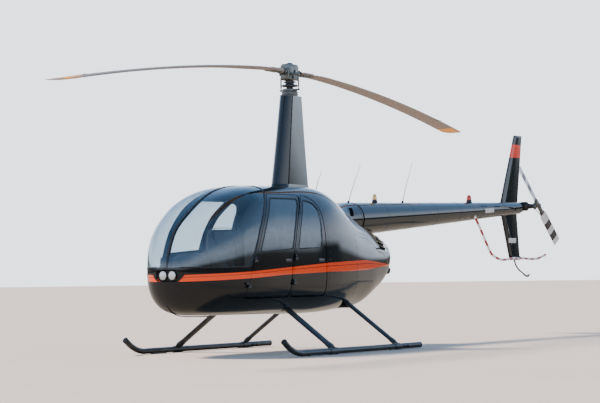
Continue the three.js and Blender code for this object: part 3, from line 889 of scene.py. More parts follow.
@dataclass(frozen=True)
class GlossPaint(Finish):
    """Sprayed and polished paint: a coat over colour, faint orange peel, and dust that gathers low down.

    Attributes:
        color: the paint's colour.
        striped: whether the body's stripe runs over it.
        stripe_color: the stripe's colour.
        line_color: the thin line in the stripe.
        dust: how much dust shows.
    """

    color: Triple = (0.0045, 0.0052, 0.0066)
    striped: bool = False
    stripe_color: Triple = (0.88, 0.075, 0.014)
    line_color: Triple = (0.36, 0.02, 0.008)
    dust: float = 1.0

    def make(self, s: Shader) -> bpy.types.Material:
        """Builds the material.

        Args:
            s: the shader to fill.

        Returns:
            The material.
        """
        place = s.place()
        x, _, z = s.axes(place)
        color: Wire | tuple = self.color
        if self.striped:
            first, last = STRIPE[0][0], STRIPE[-1][0]
            along = (x - first) / (last - first)
            edges = []
            for column in (1, 2):
                stops = [((row[0] - first) / (last - first), row[column] - 0.5) for row in STRIPE]
                edges.append(s.wire("FloatCurve", {"stops": stops}, {"Value": along}) + 0.5)
            low, high = edges
            soft = 0.0012
            cut = s.step(x + (z - 0.86) * 0.20, 2.3835, 2.3815)
            inside = s.step(z - low, -soft, soft) * s.step(high - z, -soft, soft) * cut
            pin = s.band((z - low) / (high - low), 0.60, 0.69, 0.012)
            color = s.color(inside, color, s.color(pin, self.stripe_color, self.line_color))
        smear = s.noise(s.stretched(place, (1.0, 1.0, 0.4)), 7.0, 4.0, 0.62)
        low_down = s.step(z, 1.0, 0.42)
        film = s.step(smear, 0.42, 0.75) * (0.001 + 0.010 * low_down) * self.dust
        color = s.color(film, color, (0.42, 0.37, 0.31))
        peel = s.noise(place, 95.0, 1.0, 0.4)
        fine = s.noise(place, 420.0, 2.0, 0.6)
        rough = 0.045 + 0.03 * smear + 0.01 * fine + 0.10 * film
        return s.done(
            s.principled(
                Base_Color=color,
                Roughness=rough,
                Specular_IOR_Level=0.12,
                Coat_Weight=0.9 + 0.1 * fine,
                Coat_IOR=1.5,
                Coat_Roughness=0.012,
                Normal=s.bump(peel, 0.03, 0.002),
            )
        )


@dataclass(frozen=True)
class SatinPaint(Finish):
    """Tougher satin paint or powder coat, chipped to metal along streaks and lightly dusted.

    Attributes:
        color: the paint's colour.
        rough: its roughness.
        chips: share of the surface that is worn through.
    """

    color: Triple = (0.008, 0.009, 0.011)
    rough: float = 0.36
    chips: float = 0.35

    def make(self, s: Shader) -> bpy.types.Material:
        """Builds the material.

        Args:
            s: the shader to fill.

        Returns:
            The material.
        """
        place = s.place()
        cloud = s.noise(place, 9.0, 3.0, 0.6)
        fine = s.noise(place, 160.0, 3.0, 0.7)
        worn = s.step(fine * 0.6 + cloud * 0.4, 0.74 - 0.08 * self.chips, 0.78)
        film = s.step(cloud, 0.35, 0.8) * 0.07
        color = s.color(film, s.color(worn * self.chips, self.color, (0.28, 0.27, 0.25)), (0.40, 0.35, 0.29))
        return s.done(
            s.principled(
                Base_Color=color,
                Roughness=self.rough + 0.12 * cloud - 0.10 * worn,
                Coat_Weight=0.25 + 0.2 * cloud,
                Coat_Roughness=0.2,
                Normal=s.bump(s.noise(place, 300.0, 2.0, 0.6), 0.12, 0.001),
            )
        )


@dataclass(frozen=True)
class Metal(Finish):
    """Bare metal with fine machining lines, finger marks and a little oil.

    Attributes:
        color: the metal's colour.
        rough: its roughness.
        grain: how much each axis stretches the lines.
        stain: colour of oil and dirt.
        stained: how much of it shows.
    """

    color: Triple = (0.52, 0.52, 0.53)
    rough: float = 0.27
    grain: Triple = (1.0, 1.0, 6.0)
    stain: Triple = (0.07, 0.055, 0.04)
    stained: float = 0.35

    def make(self, s: Shader) -> bpy.types.Material:
        """Builds the material.

        Args:
            s: the shader to fill.

        Returns:
            The material.
        """
        place = s.place()
        lines = s.noise(s.stretched(place, self.grain), 130.0, 4.0, 0.7)
        cloud = s.noise(place, 22.0, 4.0, 0.6)
        dirt = s.step(cloud, 0.45, 0.72) * self.stained
        color = s.color(
            dirt, s.color(lines, scaled(self.color, 0.86), tuple(min(1.0, 1.1 * c) for c in self.color)), self.stain
        )
        return s.done(
            s.principled(
                Base_Color=color,
                Metallic=1 - 0.7 * dirt,
                Roughness=self.rough + 0.16 * lines - 0.08 + 0.3 * dirt,
                Normal=s.bump(lines, 0.10, 0.0008),
            )
        )


@dataclass(frozen=True)
class HeatedSteel(Finish):
    """Exhaust steel, straw and blue from heat, with soot near its end.

    Attributes:
        end: x at which the soot is darkest.
    """

    end: float = -1.97

    def make(self, s: Shader) -> bpy.types.Material:
        """Builds the material.

        Args:
            s: the shader to fill.

        Returns:
            The material.
        """
        place = s.place()
        x, _, _ = s.axes(place)
        cloud = s.noise(place, 30.0, 4.0, 0.65)
        heat = s.step(x + 0.12 * cloud, self.end + 0.05, self.end + 0.34)
        stops = (
            (0.0, (0.10, 0.085, 0.08)), (0.35, (0.30, 0.22, 0.26)), (0.62, (0.48, 0.34, 0.20)),
            (1.0, (0.46, 0.43, 0.40)),
        )
        tint = s.wire("ValToRGB", {"stops": stops}, {"Fac": heat})
        soot = s.step(x, self.end + 0.09, self.end) * 0.7
        return s.done(
            s.principled(
                Base_Color=s.color(soot, tint, (0.015, 0.013, 0.012)),
                Metallic=0.95 - 0.7 * soot,
                Roughness=0.33 + 0.2 * cloud + 0.3 * soot,
                Normal=s.bump(cloud, 0.15, 0.002),
            )
        )


@dataclass(frozen=True)
class Moulded(Finish):
    """Moulded plastic, rubber or painted trim with a fine pebble grain.

    Attributes:
        color: its colour.
        rough: its roughness.
        grain: size of the pebble, as a scale.
        shine: strength of its reflections.
        depth: how deep the grain is.
    """

    color: Triple = (0.028, 0.029, 0.031)
    rough: float = 0.55
    grain: float = 700.0
    shine: float = 0.5
    depth: float = 0.25

    def make(self, s: Shader) -> bpy.types.Material:
        """Builds the material.

        Args:
            s: the shader to fill.

        Returns:
            The material.
        """
        place = s.place()
        cells = s.wire("TexVoronoi", {"feature": "SMOOTH_F1"}, {"Vector": place, "Scale": self.grain}, "Distance")
        cloud = s.noise(place, 14.0, 3.0, 0.6)
        color = s.color(
            s.step(cloud, 0.3, 0.8) * 0.35, self.color, tuple(min(1.0, 1.7 * c + 0.006) for c in self.color)
        )
        return s.done(
            s.principled(
                Specular_IOR_Level=self.shine,
                Base_Color=color,
                Roughness=self.rough + 0.14 * cloud - 0.07,
                Normal=s.bump(cells, self.depth, 0.0008),
            )
        )


@dataclass(frozen=True)
class Leather(Finish):
    """Seat leather: pores, soft creases with painted shade in their valleys and a painted highlight on their crests,
    and a polish where people sit.

    Attributes:
        color: the hide's colour.
    """

    color: Triple = (0.045, 0.036, 0.032)

    def make(self, s: Shader) -> bpy.types.Material:
        """Builds the material.

        Args:
            s: the shader to fill.

        Returns:
            The material.
        """
        place = s.place()
        pores = s.wire("TexVoronoi", {"feature": "F1"}, {"Vector": place, "Scale": 520.0}, "Distance")
        creases = s.noise(s.stretched(place, (1.0, 1.6, 1.0)), 34.0, 5.0, 0.72)
        polish = s.step(s.noise(place, 5.0, 2.0, 0.5), 0.35, 0.7)
        # Painted shade and highlight: a darker copy of the hide fills the crease valleys and a lighter copy their
        # crests.
        dark = scaled(self.color, 0.62)
        light = scaled(self.color, 1.5)
        return s.done(
            s.principled(
                Base_Color=s.color(creases, dark, light),
                Roughness=0.5 - 0.14 * polish + 0.1 * pores,
                Coat_Weight=0.12 + 0.1 * polish,
                Coat_Roughness=0.3,
                Normal=s.bump(pores * 0.5 + creases, 0.3, 0.0015),
            )
        )


@dataclass(frozen=True)
class Webbing(Finish):
    """Woven belt webbing: two sets of threads over and under each other, with painted shade where they dip and a
    painted highlight where they rise.

    Attributes:
        color: the threads' colour.
    """

    color: Triple = (0.05, 0.052, 0.056)

    def make(self, s: Shader) -> bpy.types.Material:
        """Builds the material.

        Args:
            s: the shader to fill.

        Returns:
            The material.
        """
        place = s.place()
        x, y, z = s.axes(place)
        first = s.math("SINE", (x + z) * 2600.0)
        second = s.math("SINE", y * 2600.0)
        # Painted shade and highlight: the weave's dips take a darker copy of the colour and its rises a lighter copy.
        weave = first * second * 0.5 + 0.5
        return s.done(
            s.principled(
                Base_Color=s.color(weave, scaled(self.color, 0.6), scaled(self.color, 1.5)),
                Roughness=0.75 + 0.1 * weave,
                Normal=s.bump(weave, 0.4, 0.0008),
            )
        )


@dataclass(frozen=True)
class ClearSheet(Finish):
    """Acrylic glazing: a clear tinted sheet that reflects more at grazing angles, with faint smears.

    Attributes:
        tint: colour of what shows through.
        base: reflected share seen straight on.
    """

    tint: Triple = (0.80, 0.85, 0.88)
    base: float = 0.07

    def make(self, s: Shader) -> bpy.types.Material:
        """Builds the material.

        Args:
            s: the shader to fill.

        Returns:
            The material.
        """
        place = s.place()
        smear = s.noise(s.stretched(place, (1.0, 1.0, 2.0)), 9.0, 4.0, 0.65)
        edge = s.wire("LayerWeight", None, {"Blend": 0.5}, "Facing")
        share = self.base + (1 - self.base) * edge**4.5 + 0.02 * s.step(smear, 0.5, 0.8)
        gloss = s.principled(
            Base_Color=(0.9, 0.93, 0.95), Metallic=1.0, Roughness=0.012 + 0.03 * s.step(smear, 0.5, 0.85)
        )
        clear = s.wire("BsdfTransparent", None, {"Color": self.tint})
        return s.done(s.wire("MixShader", None, {0: share, 1: clear, 2: gloss}))


@dataclass(frozen=True)
class LampGlass(Finish):
    """A sealed lamp seen through its ribbed cover glass.

    Attributes:
        color: the glass's colour.
        glow: strength of the light it gives off.
        ribs: number of ribs in a metre.
    """

    color: Triple = (0.78, 0.78, 0.74)
    glow: float = 0.0
    ribs: float = 110.0

    def make(self, s: Shader) -> bpy.types.Material:
        """Builds the material.

        Args:
            s: the shader to fill.

        Returns:
            The material.
        """
        place = s.place()
        _, y, z = s.axes(place)
        ribs = s.math("SINE", y * (2 * math.pi * self.ribs)) * 0.5 + 0.5
        cells = s.noise(place, 90.0, 3.0, 0.6)
        color = s.color(cells * 0.6 + 0.4 * ribs, scaled(self.color, 0.55), self.color)
        return s.done(
            s.principled(
                Base_Color=color,
                Metallic=0.35 + 0.3 * cells,
                Roughness=0.12 + 0.1 * cells,
                Coat_Weight=0.9 + 0.1 * ribs,
                Coat_Roughness=0.02,
                Emission_Color=color,
                Emission_Strength=self.glow,
                Normal=s.bump(ribs * 0.6 + s.math("SINE", z * 500.0) * 0.2, 0.35, 0.002),
            )
        )


@dataclass(frozen=True)
class BladePaint(Finish):
    """Rotor blade paint: grey with coloured tips, a rubbed leading edge and streaks along the chord.

    Attributes:
        turn: angle of the blades from the nose, in radians.
        tip: radius at which the tip colour starts.
        tip_band: its length.
        color: the blade's colour.
        tip_color: the tip's colour.
        lead: distance of the leading edge from the blade's middle line.
    """

    turn: float = 0.0
    tip: float = 4.70
    tip_band: float = 0.27
    color: Triple = (0.275, 0.205, 0.165)
    tip_color: Triple = (0.82, 0.33, 0.05)
    lead: float = 0.114

    def make(self, s: Shader) -> bpy.types.Material:
        """Builds the material.

        Args:
            s: the shader to fill.

        Returns:
            The material.
        """
        place = s.place()
        x, y, _ = s.axes(place)
        reach = abs(x * math.cos(self.turn) + y * math.sin(self.turn))
        across = x * -math.sin(self.turn) + y * math.cos(self.turn)
        streaks = s.noise(s.stretched(place, (3.0, 0.6, 1.0)), 16.0, 5.0, 0.65)
        fine = s.noise(place, 240.0, 2.0, 0.6)
        worn = s.step(abs(across) + 0.012 * streaks, self.lead - 0.012, self.lead + 0.004)
        body = s.color(streaks, scaled(self.color, 0.82), scaled(self.color, 1.16))
        tipped = s.band(reach, self.tip, self.tip + self.tip_band, 0.001)
        color = s.color(worn * 0.45, s.color(tipped, body, self.tip_color), (0.46, 0.45, 0.43))
        return s.done(
            s.principled(
                Base_Color=color,
                Metallic=0.5 * worn,
                Roughness=0.42 + 0.14 * streaks - 0.12 * worn,
                Normal=s.bump(fine, 0.08, 0.001),
            )
        )


@dataclass(frozen=True)
class BandedPaint(Finish):
    """Paint in two colours that alternate in bands along a direction.

    Attributes:
        along: direction that the bands follow each other in.
        length: length of a pair of bands.
        share: share of a pair that has the first colour.
        phase: shift of the first band.
        first: the first colour.
        second: the second colour.
    """

    along: Triple = (1.0, 0.0, 0.0)
    length: float = 0.4
    share: float = 0.5
    phase: float = 0.0
    first: Triple = (0.55, 0.035, 0.02)
    second: Triple = (0.72, 0.70, 0.66)

    def make(self, s: Shader) -> bpy.types.Material:
        """Builds the material.

        Args:
            s: the shader to fill.

        Returns:
            The material.
        """
        place = s.place()
        spot = s.wire("VectorMath", {"operation": "DOT_PRODUCT"}, {0: place, 1: self.along}, "Value")
        turns = s.math("FRACT", spot / self.length + (self.phase + 100.0))
        band = s.step(turns, self.share - 0.004, self.share + 0.004)
        cloud = s.noise(place, 30.0, 4.0, 0.65)
        dirty = s.step(cloud, 0.5, 0.8) * 0.25
        color = s.color(dirty, s.color(band, self.first, self.second), (0.12, 0.10, 0.08))
        return s.done(
            s.principled(
                Base_Color=color,
                Roughness=0.32 + 0.2 * cloud,
                Coat_Weight=0.4 + 0.2 * cloud,
                Coat_Roughness=0.12,
                Normal=s.bump(s.noise(place, 260.0, 2.0, 0.5), 0.08, 0.001),
            )
        )


@dataclass(frozen=True)
class TailBladePaint(Finish):
    """Tail rotor blade: pale paint with dark bands at set radii.

    Attributes:
        centre: x and z of the tail rotor's axis.
        bands: start and end radius of each dark band.
        color: the blade's colour.
        band_color: the bands' colour.
    """

    centre: tuple[float, float] = (-5.775, 1.746)
    bands: tuple[tuple[float, float], ...] = ((0.0, 0.16), (0.32, 0.43), (0.53, 0.64))
    color: Triple = (0.62, 0.62, 0.60)
    band_color: Triple = (0.03, 0.022, 0.022)

    def make(self, s: Shader) -> bpy.types.Material:
        """Builds the material.

        Args:
            s: the shader to fill.

        Returns:
            The material.
        """
        place = s.place()
        x, _, z = s.axes(place)
        dx, dz = x - self.centre[0], z - self.centre[1]
        reach = s.math("SQRT", dx * dx + dz * dz)
        masks = [s.band(reach, low, high, 0.001) for low, high in self.bands]
        dark = masks[0]
        for mask in masks[1:]:
            dark = dark + mask
        cloud = s.noise(place, 26.0, 4.0, 0.65)
        color = s.color(dark, s.color(cloud, scaled(self.color, 0.85), self.color), self.band_color)
        return s.done(
            s.principled(
                Base_Color=color, Roughness=0.34 + 0.2 * cloud, Coat_Weight=0.3 + 0.2 * cloud, Coat_Roughness=0.15,
                Normal=s.bump(cloud, 0.05, 0.002),
            )
        )


# Making pieces


def outward(patch: Patch) -> Patch:
    """Turns a closed patch's faces to point out: its signed volume has to be positive.

    Args:
        patch: a closed patch.

    Returns:
        The patch, with its faces turned where they pointed in.
    """
    points = patch.points - patch.points.mean(axis=0)
    volume = 0.0
    for block in patch.faces:
        a = points[block[:, 0]]
        for k in range(1, block.shape[1] - 1):
            volume += float(np.sum(a * np.cross(points[block[:, k]], points[block[:, k + 1]])))
    return patch if volume >= 0 else Patch(patch.points, [block[:, ::-1] for block in patch.faces])


def make_piece(
    name: str,
    body: str,
    parts: Sequence[tuple[Patch, Finish]],
    replaces: Sequence[str] = (),
    crease: float = 32.0,
) -> bpy.types.Object:
    """Makes one object of the scene from patches.

    Args:
        name: the object's name.
        body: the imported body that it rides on.
        parts: patches with their finishes.
        replaces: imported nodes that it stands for.
        crease: angle in degrees from which an edge stays sharp.

    Returns:
        The object.
    """
    finishes = list(dict.fromkeys(finish for _, finish in parts))
    points, loops, sizes, slots, directions = [], [], [], [], []
    start = 0
    for patch, finish in parts:
        patch = patch if patch.normals is not None else outward(patch)
        points.append(patch.points)
        for block in patch.faces:
            loops.append((block + start).ravel())
            sizes.append(np.full(len(block), block.shape[1]))
            slots.append(np.full(len(block), finishes.index(finish)))
            if patch.normals is None:
                directions.append(np.zeros((block.size, 3)))
            elif block is patch.faces[-1]:
                p = patch.points[block]
                facing = unit(np.cross(p[:, 2] - p[:, 0], p[:, 3] - p[:, 1]))
                directions.append(np.repeat(facing, block.shape[1], axis=0))
            else:
                directions.append(patch.normals[block.ravel()])
        start += len(patch.points)
    mesh = bpy.data.meshes.new(name)
    places = np.vstack(points) + np.array([MAST_X, 0, 0])
    corners, sizes = np.concatenate(loops), np.concatenate(sizes)
    mesh.vertices.add(len(places))
    mesh.vertices.foreach_set("co", places.astype(np.float32).ravel())
    mesh.loops.add(len(corners))
    mesh.loops.foreach_set("vertex_index", corners.astype(np.int32))
    mesh.polygons.add(len(sizes))
    mesh.polygons.foreach_set("loop_start", np.concatenate([[0], np.cumsum(sizes)[:-1]]).astype(np.int32))
    mesh.polygons.foreach_set("material_index", np.concatenate(slots).astype(np.int32))
    mesh.polygons.foreach_set("use_smooth", np.ones(len(sizes), bool))
    mesh.update(calc_edges=True)
    mesh.validate()
    mesh.set_sharp_from_angle(angle=math.radians(crease))
    directions = np.vstack(directions)
    if directions.any() and len(directions) == len(mesh.loops):
        mesh.normals_split_custom_set(directions.tolist())
    for finish in finishes:
        mesh.materials.append(finish.material())
    made = bpy.data.objects.new(name, mesh)
    bpy.context.scene.collection.objects.link(made)
    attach(made, body)
    if replaces:
        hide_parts(*replaces)
    triangles = int(np.sum(sizes - 2))
    LOG.info("%s: %d triangles", name, triangles)
    return made


def studs(
    points: Array, normals: Array | Sequence[float], radius: float, height: float, sides: int = 8
) -> Patch:
    """Low round heads set on a surface, such as rivets: two rings and a middle point each.

    Args:
        points: where each head sits.
        normals: the surface's direction at each of them, or one for all.
        radius: radius of a head.
        height: how far it stands out.
        sides: number of points round it.

    Returns:
        All heads as one patch.
    """
    normals = unit(np.broadcast_to(normals, points.shape))
    helper = np.where(np.abs(normals[:, 2:3]) > 0.8, np.array([[1.0, 0, 0]]), np.array([[0, 0, 1.0]]))
    across = unit(np.cross(helper, normals))
    up = np.cross(normals, across)
    ring = circle(sides)
    spokes = ring[None, :, 0:1] * across[:, None] + ring[None, :, 1:2] * up[:, None]
    rows = [points[:, None] + spokes * radius - normals[:, None] * height * 0.6]
    for size, rise in ((1.0, 0.15), (0.72, 0.8)):
        rows.append(points[:, None] + spokes * radius * size + normals[:, None] * height * rise)
    rings = np.stack(rows, axis=1)
    low = points - normals * height * 0.6
    top = points + normals * height
    count = len(points)
    flat = np.concatenate([rings.reshape(count, -1, 3), low[:, None], top[:, None]], axis=1)
    stride = flat.shape[1]
    quads = grid_faces(3, sides, wrap_columns=True)
    j = np.arange(sides)
    j1 = (j + 1) % sides
    fan = np.concatenate(
        [
            stacked(j1, j, np.full(sides, 3 * sides)),
            stacked(2 * sides + j, 2 * sides + j1, np.full(sides, 3 * sides + 1)),
        ]
    )
    shift = (np.arange(count) * stride)[:, None, None]
    faces = [(quads[None] + shift).reshape(-1, 4), (fan[None] + shift).reshape(-1, 3)]
    return Patch(flat.reshape(-1, 3), faces)


def spread(path: Array, pitch: float, normals: Array | None = None) -> tuple[Array, Array | None]:
    """Points at even spacing along a path.

    Args:
        path: the path's points.
        pitch: distance between the new points.
        normals: directions at the path's points, carried over.

    Returns:
        The new points and their directions.
    """
    run = np.concatenate([[0], np.cumsum(np.linalg.norm(np.diff(path, axis=0), axis=1))])
    at = np.linspace(pitch / 2, run[-1] - pitch / 2, max(2, int(run[-1] / pitch)))

    def fit(rows: Array) -> Array:
        """The rows' values at the new places."""
        return np.stack([np.interp(at, run, rows[:, k]) for k in range(3)], axis=-1)

    return fit(path), None if normals is None else unit(fit(normals))


# Finishes of this helicopter

BODY_PAINT = GlossPaint("body_paint_striped", "body_paint", striped=True)
BLACK_PAINT = GlossPaint("body_paint_black", "body_paint")
ROOF_TRIM = GlossPaint("body_trim", "body_paint", color=(0.012, 0.0125, 0.014), dust=1.6)
GEAR_PAINT = SatinPaint("gear_paint_black", "gear_paint")
WEAR_STEEL = Metal(
    "skid_shoe_steel", "gear_paint", color=(0.30, 0.29, 0.28), rough=0.42, grain=(1.0, 8.0, 8.0), stained=0.7
)
HUB_METAL = Metal("hub_metal", "bare_metal", color=(0.25, 0.255, 0.235), rough=0.42, stained=0.55)
DARK_METAL = Metal("dark_steel", "bare_metal", color=(0.10, 0.10, 0.105), rough=0.38, stained=0.5)
CASE_METAL = Metal("gearbox_casting", "bare_metal", color=(0.075, 0.07, 0.068), rough=0.52, stained=0.5)
BOLT_METAL = Metal("plated_bolts", "bare_metal", color=(0.62, 0.57, 0.44), rough=0.25, stained=0.25)
SEAL = Moulded("rubber_seal", "gear_paint", color=(0.010, 0.010, 0.011), rough=0.62, grain=900.0, depth=0.15)
TRIM = Moulded("cabin_trim_grey", "cabin_trim")
CARPET = Moulded("cabin_carpet", "cabin_trim", color=(0.030, 0.031, 0.034), rough=0.9, grain=1500.0, depth=0.8)
PANEL_BLACK = Moulded(
    "instrument_black", "cabin_trim", color=(0.012, 0.012, 0.013), rough=0.48, grain=1200.0, depth=0.2
)
GLARE_BLACK = Moulded("lamp_bay_black", "lamp_glass", color=(0.006, 0.006, 0.007), rough=0.4, grain=1400.0, depth=0.15)
VOID_BLACK = Moulded(
    "shadow_black", "gear_paint", color=(0.003, 0.003, 0.0035), rough=0.9, shine=0.04, grain=900.0, depth=0.1
)
GLAZING = ClearSheet("clear_glazing", "clear_glass")
HIDE = Leather("seat_leather_dark", "seat_leather")
PIPING = Leather("seat_piping", "seat_leather", color=(0.09, 0.075, 0.066))
BELT_WEB = Webbing("belt_webbing", "seat_leather")
LAMP = LampGlass("landing_lamp_glass", "lamp_glass", glow=0.10)
RED_LENS = LampGlass("red_beacon_glass", "lamp_glass", color=(0.62, 0.02, 0.012), glow=0.05, ribs=60.0)
AMBER_LENS = LampGlass("amber_beacon_glass", "lamp_glass", color=(0.85, 0.55, 0.16), glow=0.05, ribs=60.0)
ENGINE_METAL = Metal(
    "engine_castings", "engine_metal", color=(0.33, 0.33, 0.34), rough=0.5, grain=(1.0, 1.0, 1.0), stained=0.6
)
EXHAUST = HeatedSteel("exhaust_steel_heated", "exhaust_steel")
AERIAL_WHITE = SatinPaint("aerial_cover_pale", "gear_paint", color=(0.52, 0.52, 0.50), rough=0.4, chips=0.1)
AERIAL_BLACK = SatinPaint("aerial_whip_black", "gear_paint", color=(0.012, 0.012, 0.013), rough=0.45, chips=0.1)


# The helicopter's body

# Sections from the nose to the tail end. Columns: x, bottom, top, half width, height of the widest
# point, upper and lower roundness
BODY_ROWS = (
    (2.412, 0.930, 0.930, 0.000, 0.930, 2.00, 2.00),
    (2.407, 0.850, 1.005, 0.092, 0.928, 2.05, 2.00),
    (2.389, 0.745, 1.082, 0.176, 0.925, 2.30, 2.05),
    (2.358, 0.640, 1.168, 0.244, 0.922, 2.55, 2.10),
    (2.310, 0.555, 1.282, 0.315, 0.920, 2.75, 2.20),
    (2.238, 0.497, 1.382, 0.388, 0.920, 2.90, 2.35),
    (2.123, 0.466, 1.482, 0.466, 0.920, 3.05, 2.50),
    (1.969, 0.453, 1.589, 0.536, 0.920, 3.15, 2.65),
    (1.786, 0.448, 1.698, 0.589, 0.920, 3.25, 2.80),
    (1.602, 0.445, 1.778, 0.620, 0.920, 3.25, 2.90),
    (1.362, 0.442, 1.840, 0.637, 0.922, 3.20, 3.00),
    (1.026, 0.440, 1.866, 0.640, 0.925, 3.10, 3.00),
    (0.600, 0.434, 1.876, 0.640, 0.930, 3.00, 3.00),
    (0.200, 0.427, 1.882, 0.634, 0.935, 3.00, 3.00),
    (-0.100, 0.429, 1.872, 0.612, 0.940, 2.85, 2.90),
    (-0.330, 0.436, 1.826, 0.582, 0.943, 2.65, 2.80),
    (-0.576, 0.450, 1.722, 0.543, 0.946, 2.45, 2.60),
    (-0.900, 0.462, 1.590, 0.478, 0.950, 2.30, 2.40),
    (-1.227, 0.520, 1.487, 0.404, 0.955, 2.30, 2.30),
    (-1.426, 0.602, 1.424, 0.350, 0.965, 2.30, 2.30),
    (-1.650, 0.695, 1.350, 0.288, 0.985, 2.30, 2.30),
    (-1.770, 0.768, 1.310, 0.248, 1.005, 2.30, 2.20),
    (-1.840, 0.830, 1.284, 0.222, 1.035, 2.30, 2.20),
    (-1.880, 0.890, 1.256, 0.200, 1.060, 2.30, 2.20),
)


@dataclass
class BodyForm:
    """The body's outer surface, drawn smooth through its sections.

    A point is given by the run s along the surface from the nose and the turn about the section's
    middle, from the port side upwards. Each section is a pair of superellipse halves:
    (|y| / half)^n + (|z - wide| / height)^n = 1, with its own height and n above and below.

    Attributes:
        rows: the sections.
        step: spacing of the smoothed table along s.
        softness: weight of the smoothing against the sections.
    """

    rows: tuple[tuple[float, ...], ...] = BODY_ROWS
    step: float = 0.005
    softness: float = 2.0e-7
    run: Array = field(init=False)
    table: Array = field(init=False)

    def __post_init__(self) -> None:
        """Fits the smooth table."""
        rows = np.asarray(self.rows)
        up, down = rows[:, 2] - rows[:, 4], rows[:, 4] - rows[:, 1]
        size = (up + down + rows[:, 3]) / 3
        marks = np.concatenate([[0], np.cumsum(np.hypot(np.diff(rows[:, 0]), np.diff(size)))])
        odd = stacked(rows[:, 3], up, down)
        even = rows[:, [0, 4, 5, 6]]
        self.run = np.arange(0, marks[-1] + self.step / 2, self.step)
        self.table = np.hstack([self.fitted(marks, odd, -1), self.fitted(marks, even, 1)])
        self.table[0, :3] = 0

    def fitted(self, marks: Array, values: Array, sign: int) -> Array:
        """Least squares against the sections plus a penalty on the third derivative.

        The data are mirrored about the nose, with the given sign, so that the nose is round.

        Args:
            marks: run of each section.
            values: one column for each number.
            sign: 1 for numbers that are even about the nose, -1 for odd ones.

        Returns:
            Values at every station of the run.
        """
        back = int(0.4 / self.step)
        stations = np.arange(-back, len(self.run)) * self.step
        near = (marks > 0) & (marks < 0.39)
        at = np.concatenate([-marks[near][::-1], marks])
        data = np.vstack([sign * values[near][::-1], values])
        index = np.clip(((at - stations[0]) / self.step).astype(int), 0, len(stations) - 2)
        share = (at - stations[index]) / self.step
        sample = np.zeros((len(at), len(stations)))
        sample[np.arange(len(at)), index] = 1 - share
        sample[np.arange(len(at)), index + 1] = share
        weight = np.where(np.abs(at) < 1e-9, 30.0, 1.0)[:, None]
        third = np.diff(np.eye(len(stations)), 3, axis=0) / self.step**3
        normal = (sample * weight).T @ sample + self.softness * self.step * third.T @ third
        return np.linalg.solve(normal, (sample * weight).T @ data)[back:]

    def section(self, s: Array) -> list[Array]:
        """Half width, height above and below, x, middle height and the two roundness numbers at s."""
        s = np.clip(s, 0, self.run[-1])
        return [np.interp(s, self.run, self.table[:, k]) for k in range(self.table.shape[1])]

    def roundness(self, rise: Array, upper: Array, lower: Array) -> Array:
        """The superellipse's power, eased from the lower to the upper one across the middle."""
        return lower + (upper - lower) * ramp(-0.3, 0.3, rise)

    def place(self, s: Array, turn: Array) -> Array:
        """Points of the surface.

        Args:
            s: run from the nose.
            turn: angle about the section's middle.

        Returns:
            Positions, with x, y, z on the last axis.
        """
        half, up, down, x, wide, upper, lower = self.section(s)
        c, rise = np.cos(turn), np.sin(turn)
        n = self.roundness(rise, upper, lower)
        height = np.where(rise >= 0, up, down)
        half, height = np.maximum(half, 1e-6), np.maximum(height, 1e-6)
        reach = ((np.abs(c) / half) ** n + (np.abs(rise) / height) ** n) ** (-1 / n)
        return stacked(x, reach * c, wide + reach * rise)

    def surface(self, s: Array, turn: Array) -> Surface:
        """The body's surface on a grid."""
        return Surface(s, turn, self.place)

    def run_at(self, x: Array) -> Array:
        """The run at which a section lies at x."""
        return np.interp(-np.asarray(x, float), -self.table[:, 3], self.run)

    def locate(self, x: Array, z: Array, side: int) -> tuple[Array, Array]:
        """The parameters of the point that is seen at x and z from the side.

        Args:
            x: positions along the body.
            z: heights.
            side: 1 for the port side, -1 for starboard.

        Returns:
            Run and turn.
        """
        s = self.run_at(x)
        half, up, down, _, wide, upper, lower = self.section(s)
        rise = np.asarray(z) - wide
        height = np.where(rise >= 0, up, down)
        y = 0.7 * half
        for _ in range(6):
            n = self.roundness(rise / np.hypot(y, rise), upper, lower)
            y = half * np.clip(1 - (np.abs(rise) / np.maximum(height, 1e-6)) ** n, 1e-9, 1) ** (1 / n)
        turn = np.arctan2(rise, y)
        return s, turn if side == PORT else np.pi - turn

    def line(self, s: Array, turn: Array, depth: float = 0.0) -> tuple[Array, Array]:
        """Points under the surface, and its directions there.

        Args:
            s: runs.
            turn: turns.
            depth: distance under the surface.

        Returns:
            Positions and outward directions.
        """
        normals = self.surface(s, turn).normals(s, turn)
        return self.place(s, turn) - normals * depth, normals


FORM = BodyForm()


# The cabin

# Outlines in the side view. Columns: x, z, and along a door's free edge the clearance behind it for its swing
FRONT_EDGE = (
    (1.775, 0.640), (1.690, 0.930), (1.672, 0.975), (1.590, 1.145), (1.550, 1.242), (1.495, 1.360),
    (1.411, 1.490), (1.306, 1.634), (1.195, 1.735), (1.165, 1.757), (0.560, 1.757, 0.027), (0.609, 1.700, 0.026),
    (0.752, 1.532, 0.018), (0.842, 1.365, 0.016), (0.912, 1.166, 0.016), (0.968, 0.950, 0.016), (0.991, 0.640, 0.016),
)
REAR_EDGE = (
    (0.943, 0.640), (0.931, 0.800), (0.920, 0.950), (0.895, 1.050), (0.864, 1.166), (0.794, 1.365),
    (0.703, 1.532), (0.553, 1.700), (0.500, 1.757), (0.450, 1.752, 0.048), (0.345, 1.715, 0.024), (0.280, 1.640, 0.018),
    (0.262, 1.560, 0.016), (0.262, 0.640, 0.016),
)
FRONT_PANE = Outline((
    (1.556, 1.122), (1.512, 1.222), (1.445, 1.361), (1.362, 1.490), (1.256, 1.624), (1.170, 1.716),
    (0.618, 1.716), (0.776, 1.532), (0.866, 1.365), (0.934, 1.180), (0.937, 1.160),
))
REAR_PANE = Outline((
    (0.834, 1.158), (0.760, 1.365), (0.669, 1.532), (0.524, 1.702), (0.455, 1.698), (0.345, 1.666),
    (0.300, 1.590), (0.316, 1.424), (0.343, 1.200), (0.345, 1.176),
))
